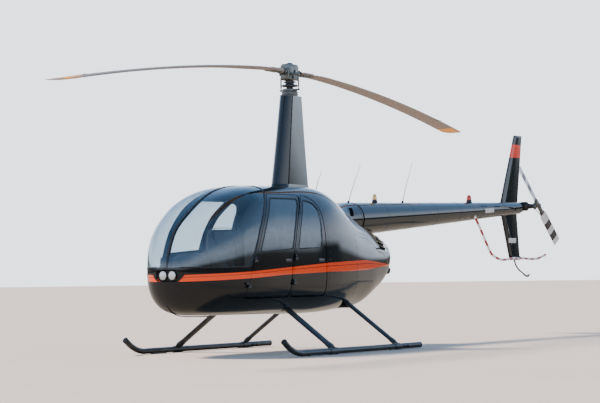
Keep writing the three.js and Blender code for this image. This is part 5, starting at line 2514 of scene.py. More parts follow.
@dataclass
class TailBoom:
    """The tapering boom of riveted sections, and the fairing that carries it back from the roof.

    Attributes:
        front: x of its front end.
        back: x of its rear end.
        radii: radius at each end.
        centres: height of the middle at each end.
        joints: x of the joints between its sections.
        hump: sections of the fairing: x, height above and below its middle, middle, half width.
    """

    front: float = -1.290
    back: float = -5.645
    radii: tuple[float, float] = (0.203, 0.078)
    centres: tuple[float, float] = (1.518, 1.720)
    joints: tuple[float, ...] = (-1.93, -2.57, -3.21, -3.85, -4.49, -5.13)
    hump: tuple[tuple[float, ...], ...] = (
        (-0.180, 0.150, 1.640, 0.320),
        (-0.380, 0.200, 1.600, 0.330),
        (-0.620, 0.212, 1.530, 0.270),
        (-0.900, 0.214, 1.502, 0.222),
        (-1.240, 0.206, 1.515, 0.206),
    )

    def at(self, x: Array) -> tuple[Array, Array]:
        """Radius and middle height of the boom at x."""
        t = (np.asarray(x, float) - self.front) / (self.back - self.front)
        return self.radii[0] + (self.radii[1] - self.radii[0]) * t, self.centres[0] + (
            self.centres[1] - self.centres[0]
        ) * t

    def skin(self, x: Array, turn: Array, lift: float = 0.0) -> Array:
        """Points on the boom's skin: a circle at each x."""
        radius, centre = self.at(x)
        return stacked(x, (radius + lift) * np.cos(turn), centre + (radius + lift) * np.sin(turn))

    def build(self) -> None:
        """Makes the fairing and the boom."""
        self.fairing()
        self.boom()

    def fairing(self) -> None:
        """Makes the fairing: smooth oval sections, a collar and a band at the boom, and a slot on each side."""
        rows = np.asarray(self.hump)[::-1]
        t = np.linspace(rows[0, 0], rows[-1, 0], 70)
        columns = [hermite(t, rows[:, 0], rows[:, k]) for k in (1, 2, 3)]
        turn = full_turn(96)
        ring = stacked(np.cos(turn), np.sin(turn))
        points = stacked(
            t[:, None],
            columns[2][:, None] * ring[None, :, 0],
            columns[1][:, None] + columns[0][:, None] * ring[None, :, 1],
        )
        shell = grid_patch(points, wrap_columns=True, caps=True)
        x = np.linspace(-1.236, -1.292, 6)
        radius, centre = self.at(x)
        path = stacked(x, 0 * x, centre)
        collar = sweep(path, circle(64), scale=(radius - 0.016)[:, None])
        band_x = np.array([-1.222, -1.226, -1.250, -1.254])
        band = sweep(
            stacked(
                band_x, 0 * band_x, np.interp(band_x, rows[:, 0], rows[:, 2])
            ), circle(72), scale=np.array([[0.2060], [0.2085], [0.2085], [0.2060]])
        )
        parts = Kit([(shell, BLACK_PAINT), (collar, SEAL), (band, BLACK_PAINT)])
        spots = np.linspace(0.1, np.pi - 0.1, 13)
        screws_x, reach = -1.238, 0.2088
        height = np.interp(screws_x, rows[:, 0], rows[:, 2])
        heads = stacked(np.full(13, screws_x), reach * np.cos(spots), height + reach * np.sin(spots))
        facing = stacked(0 * spots, np.cos(spots), np.sin(spots))
        parts.add(DARK_METAL, studs(heads, facing, 0.005, 0.0015))
        for side in (PORT, STARBOARD):
            share, level = np.meshgrid(np.linspace(0, 1, 8), np.linspace(0, 1, 10), indexing="ij")
            x = -0.950 - 0.082 * share - 0.040 * level
            up, centre, half = (hermite(x, rows[:, 0], rows[:, k]) for k in (1, 2, 3))
            rise = 1.548 + 0.100 * level
            y = side * half * np.sqrt(np.clip(1 - ((rise - centre) / up) ** 2, 0, 1))
            outside = stacked(x, y + side * 0.0015, rise + 0.0005)
            parts.add(VOID_BLACK, sheet_between(outside, outside - [0, side * 0.006, 0]))
        make_piece("boom_fairing_shell", "airframe", parts, ["boom_fairing"])

    def boom(self) -> None:
        """Makes the boom: a cone with a lapped step and rivets at each joint, and a blank plate."""
        steps = [self.front - 0.0005]
        lifts = [0.0]
        foot, top, lap = 0.0275, 0.027, 0.0009
        for joint in self.joints:
            steps += [joint + foot, joint + top, joint - top, joint - foot]
            lifts += [0.0, lap, lap, 0.0]
        steps.append(self.back)
        lifts.append(0.0)
        order = np.argsort(steps)[::-1]
        x, lift = np.array(steps)[order], np.array(lifts)[order]
        turn = full_turn(80)
        radius, centre = self.at(x)
        outer = stacked(
            x[:, None],
            (radius + lift)[:, None] * np.cos(turn),
            centre[:, None] + (radius + lift)[:, None] * np.sin(turn),
        )
        rim = outer[[0]] + (np.array([self.front, 0, self.centres[0]]) - outer[[0]]) * 0.05
        shell = grid_patch(np.concatenate([rim, outer]), wrap_columns=True, caps=True)
        spots, facing = [], []
        for joint in self.joints:
            for shift in (-0.019, 0.019):
                r, c = self.at(joint + shift)
                around = full_turn(44)
                spots.append(
                    stacked(np.full(44, joint + shift), (r + lap) * np.cos(around), c + (r + lap) * np.sin(around))
                )
                facing.append(stacked(0 * around, np.cos(around), np.sin(around)))
        rivets = studs(np.vstack(spots), np.vstack(facing), 0.0028, 0.0008, 6)
        x, turn = np.meshgrid(np.linspace(-4.52, -4.775, 8), np.linspace(-0.30, 0.24, 8), indexing="ij")
        plate = sheet_between(self.skin(x, turn, 0.0012), self.skin(x, turn, -0.001))
        make_piece(
            "tail_boom_skin",
            "airframe",
            [(shell, BLACK_PAINT), (rivets, BLACK_PAINT), (plate, AERIAL_WHITE)],
            ["tail_boom"],
        )


def hermite(at: Array, x: Array, y: Array) -> Array:
    """Values of the smooth curve through x and y: cubic pieces with averaged slopes.

    Args:
        at: where to work it out.
        x: rising positions.
        y: values there.

    Returns:
        The values.
    """
    slope = np.gradient(y, x)
    i = np.clip(np.searchsorted(x, at, side="right") - 1, 0, len(x) - 2)
    h = x[i + 1] - x[i]
    u = (at - x[i]) / h
    return (
        (2 * u**3 - 3 * u**2 + 1) * y[i]
        + (u**3 - 2 * u**2 + u) * h * slope[i]
        + (3 * u**2 - 2 * u**3) * y[i + 1]
        + (u**3 - u**2) * h * slope[i + 1]
    )


def foil(count: int = 22) -> Array:
    """A symmetrical aerofoil of chord 1 and thickness 1, from its leading edge round and back.

    Half thickness is 1.4845 r(t) - 0.63 t - 1.758 t^2 + 1.4215 t^3 - 0.5075 t^4, where r is the square root.

    Args:
        count: number of points on each side.

    Returns:
        Columns: distance from the leading edge, and height.
    """
    t = (1 - np.cos(np.linspace(0, np.pi, count))) / 2
    half = 1.4845 * np.sqrt(t) - 0.63 * t - 1.758 * t**2 + 1.4215 * t**3 - 0.5075 * t**4
    half = np.maximum(half, 0.012 * t)
    upper = stacked(t, half)
    lower = stacked(t, -half)[1:-1][::-1]
    end = np.array([[1.0, -0.012]])
    return np.vstack([upper, end, lower])


@dataclass(frozen=True)
class Wing:
    """A fin, stabiliser or blade: aerofoils between two chords, drawn in to a round tip.

    Attributes:
        root: leading x, trailing x, y and z of the root chord.
        tip: the same of the tip chord.
        thickness: thickness at root and tip.
    """

    root: tuple[float, float, float, float]
    tip: tuple[float, float, float, float]
    thickness: tuple[float, float]

    def patch(self, stations: int = 40) -> Patch:
        """The closed patch: each section is the foil, scaled and set between the chords.

        Args:
            stations: number of sections before the tip's own.

        Returns:
            The patch.
        """
        root, tip = np.asarray(self.root), np.asarray(self.tip)
        share = np.linspace(0, 1, stations)
        span = np.hypot(tip[2] - root[2], tip[3] - root[3])
        edge = 0.022 / span
        share = np.sort(
            np.concatenate([share[share < 1 - edge], 1 - edge * (1 - np.sin(np.linspace(0, np.pi / 2, 7)))])
        )
        ends = root + share[:, None] * (tip - root)
        out = np.clip((share - (1 - edge)) / edge, 0, 1)
        draw = np.sqrt(np.clip(1 - out**2, 0.0004, 1))
        thick = self.thickness[0] + (self.thickness[1] - self.thickness[0]) * share
        outline = foil()
        chord = (ends[:, 0] - ends[:, 1]) * (1 - 0.05 * (1 - draw))
        x = ends[:, 0:1] - 0.02 * (1 - draw)[:, None] - outline[None, :, 0] * chord[:, None]
        lift = outline[None, :, 1] * (thick * draw)[:, None]
        normal = unit(np.array([0.0, -(tip[3] - root[3]), tip[2] - root[2]]))
        base = stacked(x, ends[:, 2:3], ends[:, 3:4])
        return grid_patch(base + lift[..., None] * normal, wrap_columns=True, caps=True)


@dataclass
class TailEnd:
    """Fins, stabiliser, skid, gearbox and the rotor guard.

    Attributes:
        y: distance of the fins from the middle plane.
    """

    y: float = -0.102

    def build(self) -> None:
        """Makes the tail's pieces."""
        upper = Wing((-5.322, -5.840, self.y, 1.7453), (-5.770, -6.010, self.y, 2.730), (0.044, 0.028))
        lower = Wing((-5.318, -5.812, self.y, 1.745), (-5.590, -5.900, self.y, 1.010), (0.044, 0.030))
        band = FinPaint("fin_paint_banded", "body_paint")
        make_piece(
            "fin_upper_skin",
            "airframe",
            [(upper.patch(), band), (self.rib_rivets(upper), BLACK_PAINT)],
            ["fin_upper"],
        )
        y = self.y
        knots = [
            (-5.750, y, 1.090), (-5.752, y, 0.975), (-5.830, y, 0.900), (-5.960, y, 0.838), (-6.110, y, 0.792),
            (-6.175, y, 0.806),
        ]
        skid = sweep(smooth_path(knots, 60), circle(16, 0.011), up=Y_AXIS, round_ends=True)
        shoe = sweep(
            smooth_path([(-6.02, y, 0.812), (-6.09, y, 0.787), (-6.15, y, 0.787)], 12),
            circle(14, 0.0135),
            up=Y_AXIS,
            round_ends=True,
        )
        parts = Kit(
            [
                (lower.patch(), BLACK_PAINT),
                (self.rib_rivets(lower), BLACK_PAINT),
                (skid, GEAR_PAINT),
                (shoe, WEAR_STEEL),
            ]
        )
        plate = soft_box((-5.762, y - 0.0185, 1.246), (-5.545, y + 0.0185, 1.312), 0.002)
        parts.add(AERIAL_WHITE, plate)
        make_piece("fin_lower_skin", "airframe", parts, ["fin_lower"])
        stabiliser = Wing((-5.340, -5.670, -0.128, 1.700), (-5.430, -5.650, -0.990, 1.700), (0.040, 0.026))
        make_piece(
            "stabiliser_skin",
            "airframe",
            [(stabiliser.patch(), BLACK_PAINT), (self.rib_rivets(stabiliser), BLACK_PAINT)],
            ["stabiliser"],
        )
        self.gearbox()
        self.guard()

    def rib_rivets(self, wing: Wing) -> Patch:
        """Rivets along the spar line, on both faces of a wing.

        Args:
            wing: the wing.

        Returns:
            All rivets as one patch.
        """
        root, tip = np.asarray(wing.root), np.asarray(wing.tip)
        share = np.linspace(0.06, 0.95, 26)
        ends = root + share[:, None] * (tip - root)
        normal = unit(np.array([0.0, -(tip[3] - root[3]), tip[2] - root[2]]))
        spots, facing = [], []
        thick = wing.thickness[0] + (wing.thickness[1] - wing.thickness[0]) * share
        for chord_share, half in ((0.30, 0.500), (0.62, 0.379)):
            for sign in (1, -1):
                x = ends[:, 0] - chord_share * (ends[:, 0] - ends[:, 1])
                base = stacked(x, ends[:, 2], ends[:, 3])
                spots.append(base + sign * normal * (thick * half)[:, None])
                facing.append(np.tile(sign * normal, (len(share), 1)))
        return studs(np.vstack(spots), np.vstack(facing), 0.0028, 0.0008, 6)

    def gearbox(self) -> None:
        """Makes the tail gearbox: an input cone, a case with fins and the output boss."""
        x, z = -5.775, 1.746
        centre = 1.720
        taper = [
            (0, 0), (0.074, 0), (0.078, 0.004), (0.078, 0.014), (0.072, 0.018), (0.066, 0.05), (0.058, 0.082),
            (0, 0.082),
        ]
        cone = lathe(taper, (-5.6455, 0, centre), (-1, 0, 0), 40)
        body = bar((-5.690, 0, 1.734), (x, 0, z), 0.050, 32, 0.006)
        housing = [
            (0, -0.062), (0.044, -0.062), (0.051, -0.056), (0.056, -0.044), (0.056, -0.02), (0.0585, -0.018),
            (0.0585, -0.012), (0.056, -0.010), (0.056, 0.084), (0.050, 0.096), (0.038, 0.106), (0.034, 0.124),
            (0.031, 0.178), (0, 0.178),
        ]
        case = lathe(housing, (x, 0, z), Y_AXIS, 48)
        fin = [(0.050, 0), (0.0625, 0.001), (0.0625, 0.005), (0.050, 0.006), (0.050, 0)]
        ribs = [
            lathe([(reach, h + step) for reach, step in fin], (x, 0, z), Y_AXIS, 40)
            for h in np.linspace(0.005, 0.075, 6)
        ]
        turn = full_turn(8)
        heads = stacked(x + 0.038 * np.cos(turn), np.full(8, -0.062), z + 0.038 * np.sin(turn))
        bolts = studs(heads, (0, -1, 0), 0.006, 0.005, 6)
        flange = stacked(np.full(8, -5.6635), 0.070 * np.cos(turn), centre + 0.070 * np.sin(turn))
        more = studs(flange, (-1, 0, 0), 0.005, 0.004, 6)
        glass = bar((x - 0.058, 0.01, z - 0.022), (x - 0.076, 0.01, z - 0.026), 0.013, 20, 0.002)
        parts = [
            (cone, CASE_METAL), (body, CASE_METAL), (case, CASE_METAL), (Patch.joined(ribs), CASE_METAL),
            (bolts, BOLT_METAL), (more, BOLT_METAL), (glass, AMBER_LENS),
        ]
        make_piece("tail_gearbox_case", "airframe", parts, ["tail_gearbox"])

    def guard(self) -> None:
        """Makes the bent guard tube in its red and pale bands, with its two clamps."""
        knots = [
            (-4.250, 0.084, 1.600), (-4.350, 0.096, 1.476), (-4.540, 0.100, 1.250), (-4.700, 0.100, 1.090),
            (-4.860, 0.100, 1.036), (-5.400, 0.060, 1.034), (-5.800, -0.020, 1.034), (-6.400, -0.060, 1.036),
            (-6.620, -0.072, 1.080),
        ]
        paint = BandedPaint(
            "guard_paint_banded", "guard_paint", along=(0.82, 0, 0.57), length=0.180, first=(0.34, 0.010, 0.014)
        )
        path = smooth_path(knots, 160)
        pipe = sweep(path, circle(16, 0.0165), up=Y_AXIS, round_ends=True)
        clamp = bar((-5.655, self.y - 0.020, 1.052), (-5.655, 0.030, 1.052), 0.014, 16, 0.002)
        foot = sweep(path[:8], circle(20, 0.018), up=Y_AXIS, scale=np.linspace(1.25, 0.75, 8)[:, None])
        make_piece("tail_guard_tube", "airframe", [(pipe, paint), (clamp, DARK_METAL), (foot, paint)], ["tail_guard"])


@dataclass(frozen=True)
class FinPaint(GlossPaint):
    """The upper fin's paint: gloss black with a red band, and nothing on it.

    Attributes:
        low: height of the band's lower edge.
        high: height of its upper edge.
        band_color: the band's colour.
    """

    low: float = 2.42
    high: float = 2.60
    band_color: Triple = (0.72, 0.060, 0.040)

    def make(self, s: Shader) -> bpy.types.Material:
        """Builds the material.

        Args:
            s: the shader to fill.

        Returns:
            The material.
        """
        place = s.place()
        _, _, z = s.axes(place)
        band = s.band(z, self.low, self.high, 0.0015)
        smear = s.noise(place, 7.0, 4.0, 0.62)
        fine = s.noise(place, 420.0, 2.0, 0.6)
        return s.done(
            s.principled(
                Base_Color=s.color(band, self.color, self.band_color),
                Roughness=0.08 + 0.06 * smear + 0.02 * fine,
                Specular_IOR_Level=0.12,
                Coat_Weight=0.9 + 0.1 * fine - 0.45 * band,
                Coat_IOR=1.5,
                Coat_Roughness=0.02,
                Normal=s.bump(s.noise(place, 95.0, 1.0, 0.4), 0.03, 0.002),
            )
        )


# The mast and the rotors


@dataclass
class Mast:
    """The tall streamlined mast fairing and the swashplate on it.

    Attributes:
        sections: height, leading x, trailing x and thickness.
        top: height of the fairing's top.
        seam: share of the chord at which its rear panel, which is flat, starts.
    """

    sections: tuple[tuple[float, ...], ...] = (
        (1.780, 0.375, -0.370, 0.206), (2.350, 0.258, -0.300, 0.186), (2.930, 0.146, -0.240, 0.168)
    )
    top: float = 2.930
    seam: float = 0.21

    def build(self) -> None:
        """Makes the fairing with its seams, rims and screws, and the swashplate."""
        rows = np.asarray(self.sections)
        z = np.linspace(1.780, self.top, 60)
        lead, trail, thick = (hermite(z, rows[:, 0], rows[:, k]) for k in (1, 2, 3))
        outline = foil(40)
        rear = np.clip((outline[:, 0] - self.seam) / (1 - self.seam), 0, 1)
        outline[:, 1] = np.where(
            outline[:, 0] > self.seam, np.sign(outline[:, 1]) * (0.482 * (1 - rear) + 0.030 * rear), outline[:, 1]
        )
        x = lead[:, None] - outline[None, :, 0] * (lead - trail)[:, None]
        y = outline[None, :, 1] * thick[:, None]
        points = stacked(x, y, z[:, None])
        shell = grid_patch(points, wrap_columns=True, caps=True)
        parts = Kit([(shell, BLACK_PAINT)])
        spots, facing = [], []
        for side in (PORT, STARBOARD):
            column = int(np.argmin(np.abs(outline[:40, 0] - self.seam)))
            seam = points[:, column] * [1, side, 1]
            parts.add(VOID_BLACK, sweep(seam, rounded_bar(0.013, 0.0022), up=(0, side, 0)))
            for shift in (-0.014, 0.014):
                spots.append(seam[3:-2:4] + [shift, side * 0.0004, 0])
                facing.append(np.tile([[0, side, 0.0]], (len(seam[3:-2:4]), 1)))
        parts.add(DARK_METAL, studs(np.vstack(spots), np.vstack(facing), 0.004, 0.0012))
        rim_z = np.array([self.top - 0.012, self.top - 0.010, self.top - 0.0002])
        rim = stacked(
            lead[-1] + 0.002 - outline[None, :, 0] * (lead - trail + 0.004)[-1],
            outline[None, :, 1] * (thick[-1] + 0.004),
            rim_z[:, None],
        )
        parts.add(ROOF_TRIM, grid_patch(rim, wrap_columns=True, caps=True))
        base_z = np.linspace(1.84, 1.905, 5)
        flare = np.array([0.030, 0.018, 0.010, 0.004, 0.001])
        base_lead = hermite(base_z, rows[:, 0], rows[:, 1]) + flare
        base_trail = hermite(base_z, rows[:, 0], rows[:, 2]) - flare
        base_thick = hermite(base_z, rows[:, 0], rows[:, 3]) + 2 * np.array([0.026, 0.015, 0.008, 0.004, 0.001])
        base = stacked(
            base_lead[:, None] - outline[None, :, 0] * (base_lead - base_trail)[:, None],
            outline[None, :, 1] * base_thick[:, None],
            base_z[:, None],
        )
        parts.add(BLACK_PAINT, grid_patch(base, wrap_columns=True, caps=True))
        make_piece("mast_fairing_shell", "airframe", parts, ["mast_fairing"])
        ring = [
            (0.041, 2.9305), (0.094, 2.9305), (0.096, 2.934), (0.096, 2.946), (0.090, 2.950), (0.090, 2.956),
            (0.096, 2.959), (0.096, 2.968), (0.093, 2.972), (0.041, 2.972), (0.041, 2.9305),
        ]
        plates = Kit([(lathe(ring, ORIGIN, Z_AXIS, 56), HUB_METAL)])
        turn = full_turn(12)
        heads = stacked(0.082 * np.cos(turn), 0.082 * np.sin(turn), np.full(12, 2.972))
        plates.add(BOLT_METAL, studs(heads, Z_AXIS, 0.0045, 0.003, 6))
        make_piece("swashplate_rings", "airframe", plates, ["swashplate"])


@dataclass
class MainRotor:
    """Hub, pitch links and two drooping blades.

    Attributes:
        radius: the blades' tip radius.
        chord: the blades' chord.
        azimuth: angle of the front blade from the nose, in degrees.
        root: height of the blades' line at the axis.
        droop: how far the tips hang under it.
        hub: height of the hub's middle.
        stations: a blade's sections: radius, leading and trailing edge in chords, thickness.
    """

    radius: float = 5.030
    chord: float = 0.254
    azimuth: float = 7.19
    root: float = 3.205
    droop: float = 0.455
    hub: float = 3.160
    stations: tuple[tuple[float, ...], ...] = (
        (0.250, 0.220, -0.220, 0.060),
        (0.430, 0.320, -0.280, 0.044),
        (0.620, 0.420, -0.500, 0.032),
        (0.800, 0.450, -0.550, 0.030),
        (2.700, 0.450, -0.550, 0.029),
        (4.500, 0.450, -0.550, 0.026),
        (4.860, 0.450, -0.550, 0.024),
        (4.960, 0.360, -0.540, 0.020),
        (5.012, 0.230, -0.520, 0.016),
        (5.030, 0.140, -0.480, 0.010),
    )

    def build(self) -> None:
        """Makes the hub and both blades."""
        turn = math.radians(self.azimuth)
        blade_paint = BladePaint("blade_paint_tipped", "blade_paint", turn=turn)
        whole = turn_about(Z_AXIS, turn)
        make_piece(
            "rotor_hub_assembly",
            "main_rotor",
            [(outward(p).turned(whole), f) for p, f in self.hub_parts()],
            ["rotor_hub"],
            crease=38,
        )
        for word, extra in (("front", 0.0), ("rear", math.pi)):
            matrix = turn_about(Z_AXIS, turn + extra)
            parts = [(self.blade(), blade_paint)] + self.grip()
            make_piece(
                f"main_blade_{word}_dressed",
                "main_rotor",
                [(outward(p).turned(matrix), f) for p, f in parts],
                [f"main_blade_{word}"],
                crease=38,
            )

    def line(self, r: Array) -> Array:
        """Height of a blade's middle line at radius r: it hangs by droop (r / radius)^1.7."""
        return self.root - self.droop * (r / self.radius) ** 1.7

    def blade(self) -> Patch:
        """A blade: foils between the stations, pitched less towards the tip.

        Returns:
            The closed patch, along +X.
        """
        rows = np.asarray(self.stations)
        start, length = 4.86, 0.17  # where the tip's curve starts, and its length
        r = np.unique(np.concatenate([np.linspace(0.25, start, 94), np.linspace(start, self.radius, 16)]))
        lead, trail, thick = (np.interp(r, rows[:, 0], rows[:, k]) for k in (1, 2, 3))
        tip = r > start
        t = np.clip((r - start) / length, 0, 1)
        lead = np.where(tip, 0.45 - 0.31 * t**2.2, lead)
        thick = np.where(r > 4.99, thick * np.sqrt(np.clip((5.0305 - r) / 0.0405, 0.03, 1)), thick)
        outline = foil(26)
        y = (lead[:, None] - outline[None, :, 0] * (lead - trail)[:, None]) * self.chord
        lift = outline[None, :, 1] * thick[:, None]
        pitch = np.radians(np.interp(r, [0.43, 0.9, 5.03], [0.0, 2.2, -1.6]))[:, None]
        yy = y * np.cos(pitch) - lift * np.sin(pitch)
        zz = y * np.sin(pitch) + lift * np.cos(pitch) + self.line(r)[:, None]
        return grid_patch(stacked(r[:, None], yy, zz), wrap_columns=True, caps=True)

    def grip(self) -> Parts:
        """A blade's spindle, boot, root fitting and trim tab, along +X.

        Returns:
            Patches with their finishes.
        """
        z = self.hub + 0.037
        turned = [
            (0, 0.1305), (0.036, 0.1305), (0.039, 0.135), (0.039, 0.165), (0.036, 0.170), (0.038, 0.175),
            (0.038, 0.23), (0.034, 0.245), (0.030, 0.30), (0.020, 0.34), (0, 0.34),
        ]
        spindle = lathe(turned, (0, 0, z), X_AXIS, 36)
        folds = np.linspace(0.176, 0.232, 15)
        bellows = [(0.0400 if k % 2 else 0.0365, x) for k, x in enumerate(folds)]
        boot = lathe([(0, folds[0])] + bellows + [(0, folds[-1])], (0, 0, z), X_AXIS, 32)
        cuff = soft_box((0.30, -0.048, z - 0.024), (0.56, 0.066, z + 0.020), 0.009)
        spots = np.array([[x, y, z + 0.020] for x in (0.34, 0.39, 0.44, 0.49) for y in (-0.026, 0.043)])
        bolts = studs(spots, Z_AXIS, 0.008, 0.007, 6)
        tab_x = np.array([4.05, 4.27])
        tab_z = self.line(tab_x)
        tab = soft_box((4.05, -0.160, tab_z.mean() - 0.009), (4.27, -0.128, tab_z.mean() - 0.005), 0.0015)
        return [(spindle, HUB_METAL), (boot, SEAL), (cuff, HUB_METAL), (bolts, BOLT_METAL), (tab, HUB_METAL)]

    def hub_parts(self) -> Parts:
        """The shaft, its discs, the teetering head with its bolts and cap, the pitch horns and links.

        Returns:
            Patches with their finishes.
        """
        z = self.hub
        parts = Kit()
        parts.add(HUB_METAL, bar((0, 0, 2.9305), (0, 0, 3.240), 0.030, 32, 0.002))
        driver = [
            (0, 2.978), (0.084, 2.978), (0.088, 2.982), (0.088, 3.000), (0.082, 3.005), (0.044, 3.006),
            (0.036, 3.03), (0, 3.03),
        ]
        parts.add(HUB_METAL, lathe(driver, ORIGIN, Z_AXIS, 44))
        parts.add(HUB_METAL, soft_box((-0.130, -0.056, z - 0.052), (0.130, 0.056, z + 0.074), 0.016, 5))
        discs = [
            (0, 3.030), (0.084, 3.030), (0.092, 3.035), (0.092, 3.047), (0.084, 3.053), (0.052, 3.058),
            (0.048, 3.074), (0.070, 3.078), (0.070, 3.090), (0.036, 3.100), (0, 3.100),
        ]
        parts.add(DARK_METAL, lathe(discs, ORIGIN, Z_AXIS, 44))
        for side in (PORT, STARBOARD):
            parts.add(
                HUB_METAL,
                soft_box((-0.104, side * 0.056 - 0.014, z - 0.058), (0.104, side * 0.056 + 0.014, z + 0.112), 0.012),
            )
            parts.add(DARK_METAL, bar((0, side * 0.030, z + 0.037), (0, side * 0.080, z + 0.037), 0.026, 28, 0.003))
            parts.add(
                VOID_BLACK, bar((0.060, side * 0.040, z - 0.024), (0.060, side * 0.0715, z - 0.024), 0.020, 28, 0.001)
            )
            parts.add(BOLT_METAL, bar((0, side * 0.078, z + 0.037), (0, side * 0.088, z + 0.037), 0.015, 6, 0.001))
            for reach in (-0.092, 0.092):
                parts.add(
                    DARK_METAL,
                    bar((reach, side * 0.040, z + 0.012), (reach, side * 0.076, z + 0.012), 0.017, 28, 0.002),
                )
                parts.add(
                    BOLT_METAL,
                    bar((reach, side * 0.074, z + 0.012), (reach, side * 0.083, z + 0.012), 0.011, 6, 0.001),
                )
        parts.add(HUB_METAL, soft_box((-0.100, -0.060, z + 0.050), (0.100, 0.060, 3.290), 0.012))
        cap = [(0, 3.276), (0.040, 3.276), (0.042, 3.286), (0.036, 3.302), (0.012, 3.310), (0, 3.310)]
        parts.add(DARK_METAL, lathe(cap, ORIGIN, Z_AXIS, 28))
        for side in (PORT, STARBOARD):
            low, high = np.array([side * 0.040, side * 0.132, 2.992]), np.array([side * 0.052, side * 0.136, z + 0.018])
            along = unit(high - low)
            length = float(np.linalg.norm(high - low))
            link = [
                (0, 0), (0.0055, 0), (0.0055, 0.028), (0.0090, 0.032), (0.0090, length - 0.032),
                (0.0055, length - 0.028), (0.0055, length), (0, length),
            ]
            parts.add(HUB_METAL, lathe(link, low, along, 20))
            for spot in (low, high):
                parts.add(DARK_METAL, bar(spot - [0.012, 0, 0], spot + [0.012, 0, 0], 0.012, 20, 0.003))
            parts.add(
                HUB_METAL,
                soft_box(
                    *between((side * 0.022, side * 0.044, z + 0.002), (side * 0.085, side * 0.147, z + 0.028)), 0.007
                ),
            )
            parts.add(
                HUB_METAL,
                soft_box(*between((side * 0.022, side * 0.062, 2.985), (side * 0.058, side * 0.143, 3.001)), 0.005),
            )
        return parts


@dataclass
class TailRotor:
    """The two-bladed tail rotor, its hub and pitch plate.

    Attributes:
        x: place of its axis along the body.
        z: height of its axis.
        plane: distance of the blades from the middle plane.
        radius: tip radius.
        chord: the blades' chord.
        angle: angle of the blades, in degrees.
        pitch: turn of each blade about its own length, in degrees.
    """

    x: float = -5.775
    z: float = 1.746
    plane: float = 0.262
    radius: float = 0.737
    chord: float = 0.130
    angle: float = 42.0
    pitch: float = 16.0

    def build(self) -> None:
        """Makes the tail rotor: built level at the origin, then turned about Y and moved."""
        paint = TailBladePaint("tail_blade_paint", "blade_paint")
        p = self.plane
        parts = Kit()
        boss = [
            (0, 0.1805), (0.027, 0.1805), (0.030, 0.184), (0.030, 0.225), (0.026, 0.232), (0.026, p + 0.022),
            (0.020, p + 0.028), (0, p + 0.028),
        ]
        parts.add(HUB_METAL, lathe(boss, ORIGIN, Y_AXIS, 36))
        parts.add(HUB_METAL, soft_box((-0.118, p - 0.020, -0.025), (0.118, p + 0.020, 0.025), 0.007))
        nut = [(0, p + 0.018), (0.034, p + 0.018), (0.034, p + 0.024), (0.024, p + 0.027), (0, p + 0.027)]
        parts.add(DARK_METAL, lathe(nut, ORIGIN, Y_AXIS, 30))
        slider = [(0, 0.196), (0.046, 0.196), (0.048, 0.199), (0.048, 0.209), (0.044, 0.212), (0, 0.212)]
        parts.add(HUB_METAL, lathe(slider, ORIGIN, Y_AXIS, 36))
        outline = foil(20)
        for side in (PORT, STARBOARD):
            r = np.unique(
                np.concatenate(
                    [np.linspace(0.100, 0.19, 10), np.linspace(0.19, 0.71, 30), np.linspace(0.71, self.radius, 8)]
                )
            )
            half = np.interp(r, [0.10, 0.19], [0.030, self.chord / 2])
            thick = np.interp(r, [0.10, 0.19, 0.64, self.radius], [0.026, 0.018, 0.015, 0.011])
            draw = np.sqrt(np.clip((self.radius + 0.0005 - r) / 0.016, 0.05, 1))
            u = half[:, None] * (1 - 2 * outline[None, :, 0])
            v = outline[None, :, 1] * (thick * draw)[:, None]
            flat, steep = math.cos(math.radians(self.pitch)), math.sin(math.radians(self.pitch))
            points = stacked(side * r[:, None], p + v * flat - u * steep, side * (u * flat + v * steep))
            parts.add(paint, grid_patch(points, wrap_columns=True, caps=True))
            for reach in (0.082, 0.106):
                parts.add(BOLT_METAL, bar((side * reach, p - 0.026, 0), (side * reach, p + 0.026, 0), 0.006, 6, 0.001))
            link = [
                (side * 0.040, 0.204, side * 0.022),
                (side * 0.085, 0.232, side * 0.040),
                (side * 0.120, p - 0.004, side * 0.044),
            ]
            parts.add(DARK_METAL, tube(link, 0.0045, 12, 10))
        matrix = turn_about(Y_AXIS, -math.radians(self.angle))
        moved = [(outward(patch).turned(matrix).moved((self.x, 0, self.z)), finish) for patch, finish in parts]
        make_piece("tail_rotor_assembly", "tail_rotor", moved, ["tail_rotor"], crease=38)


# Inside


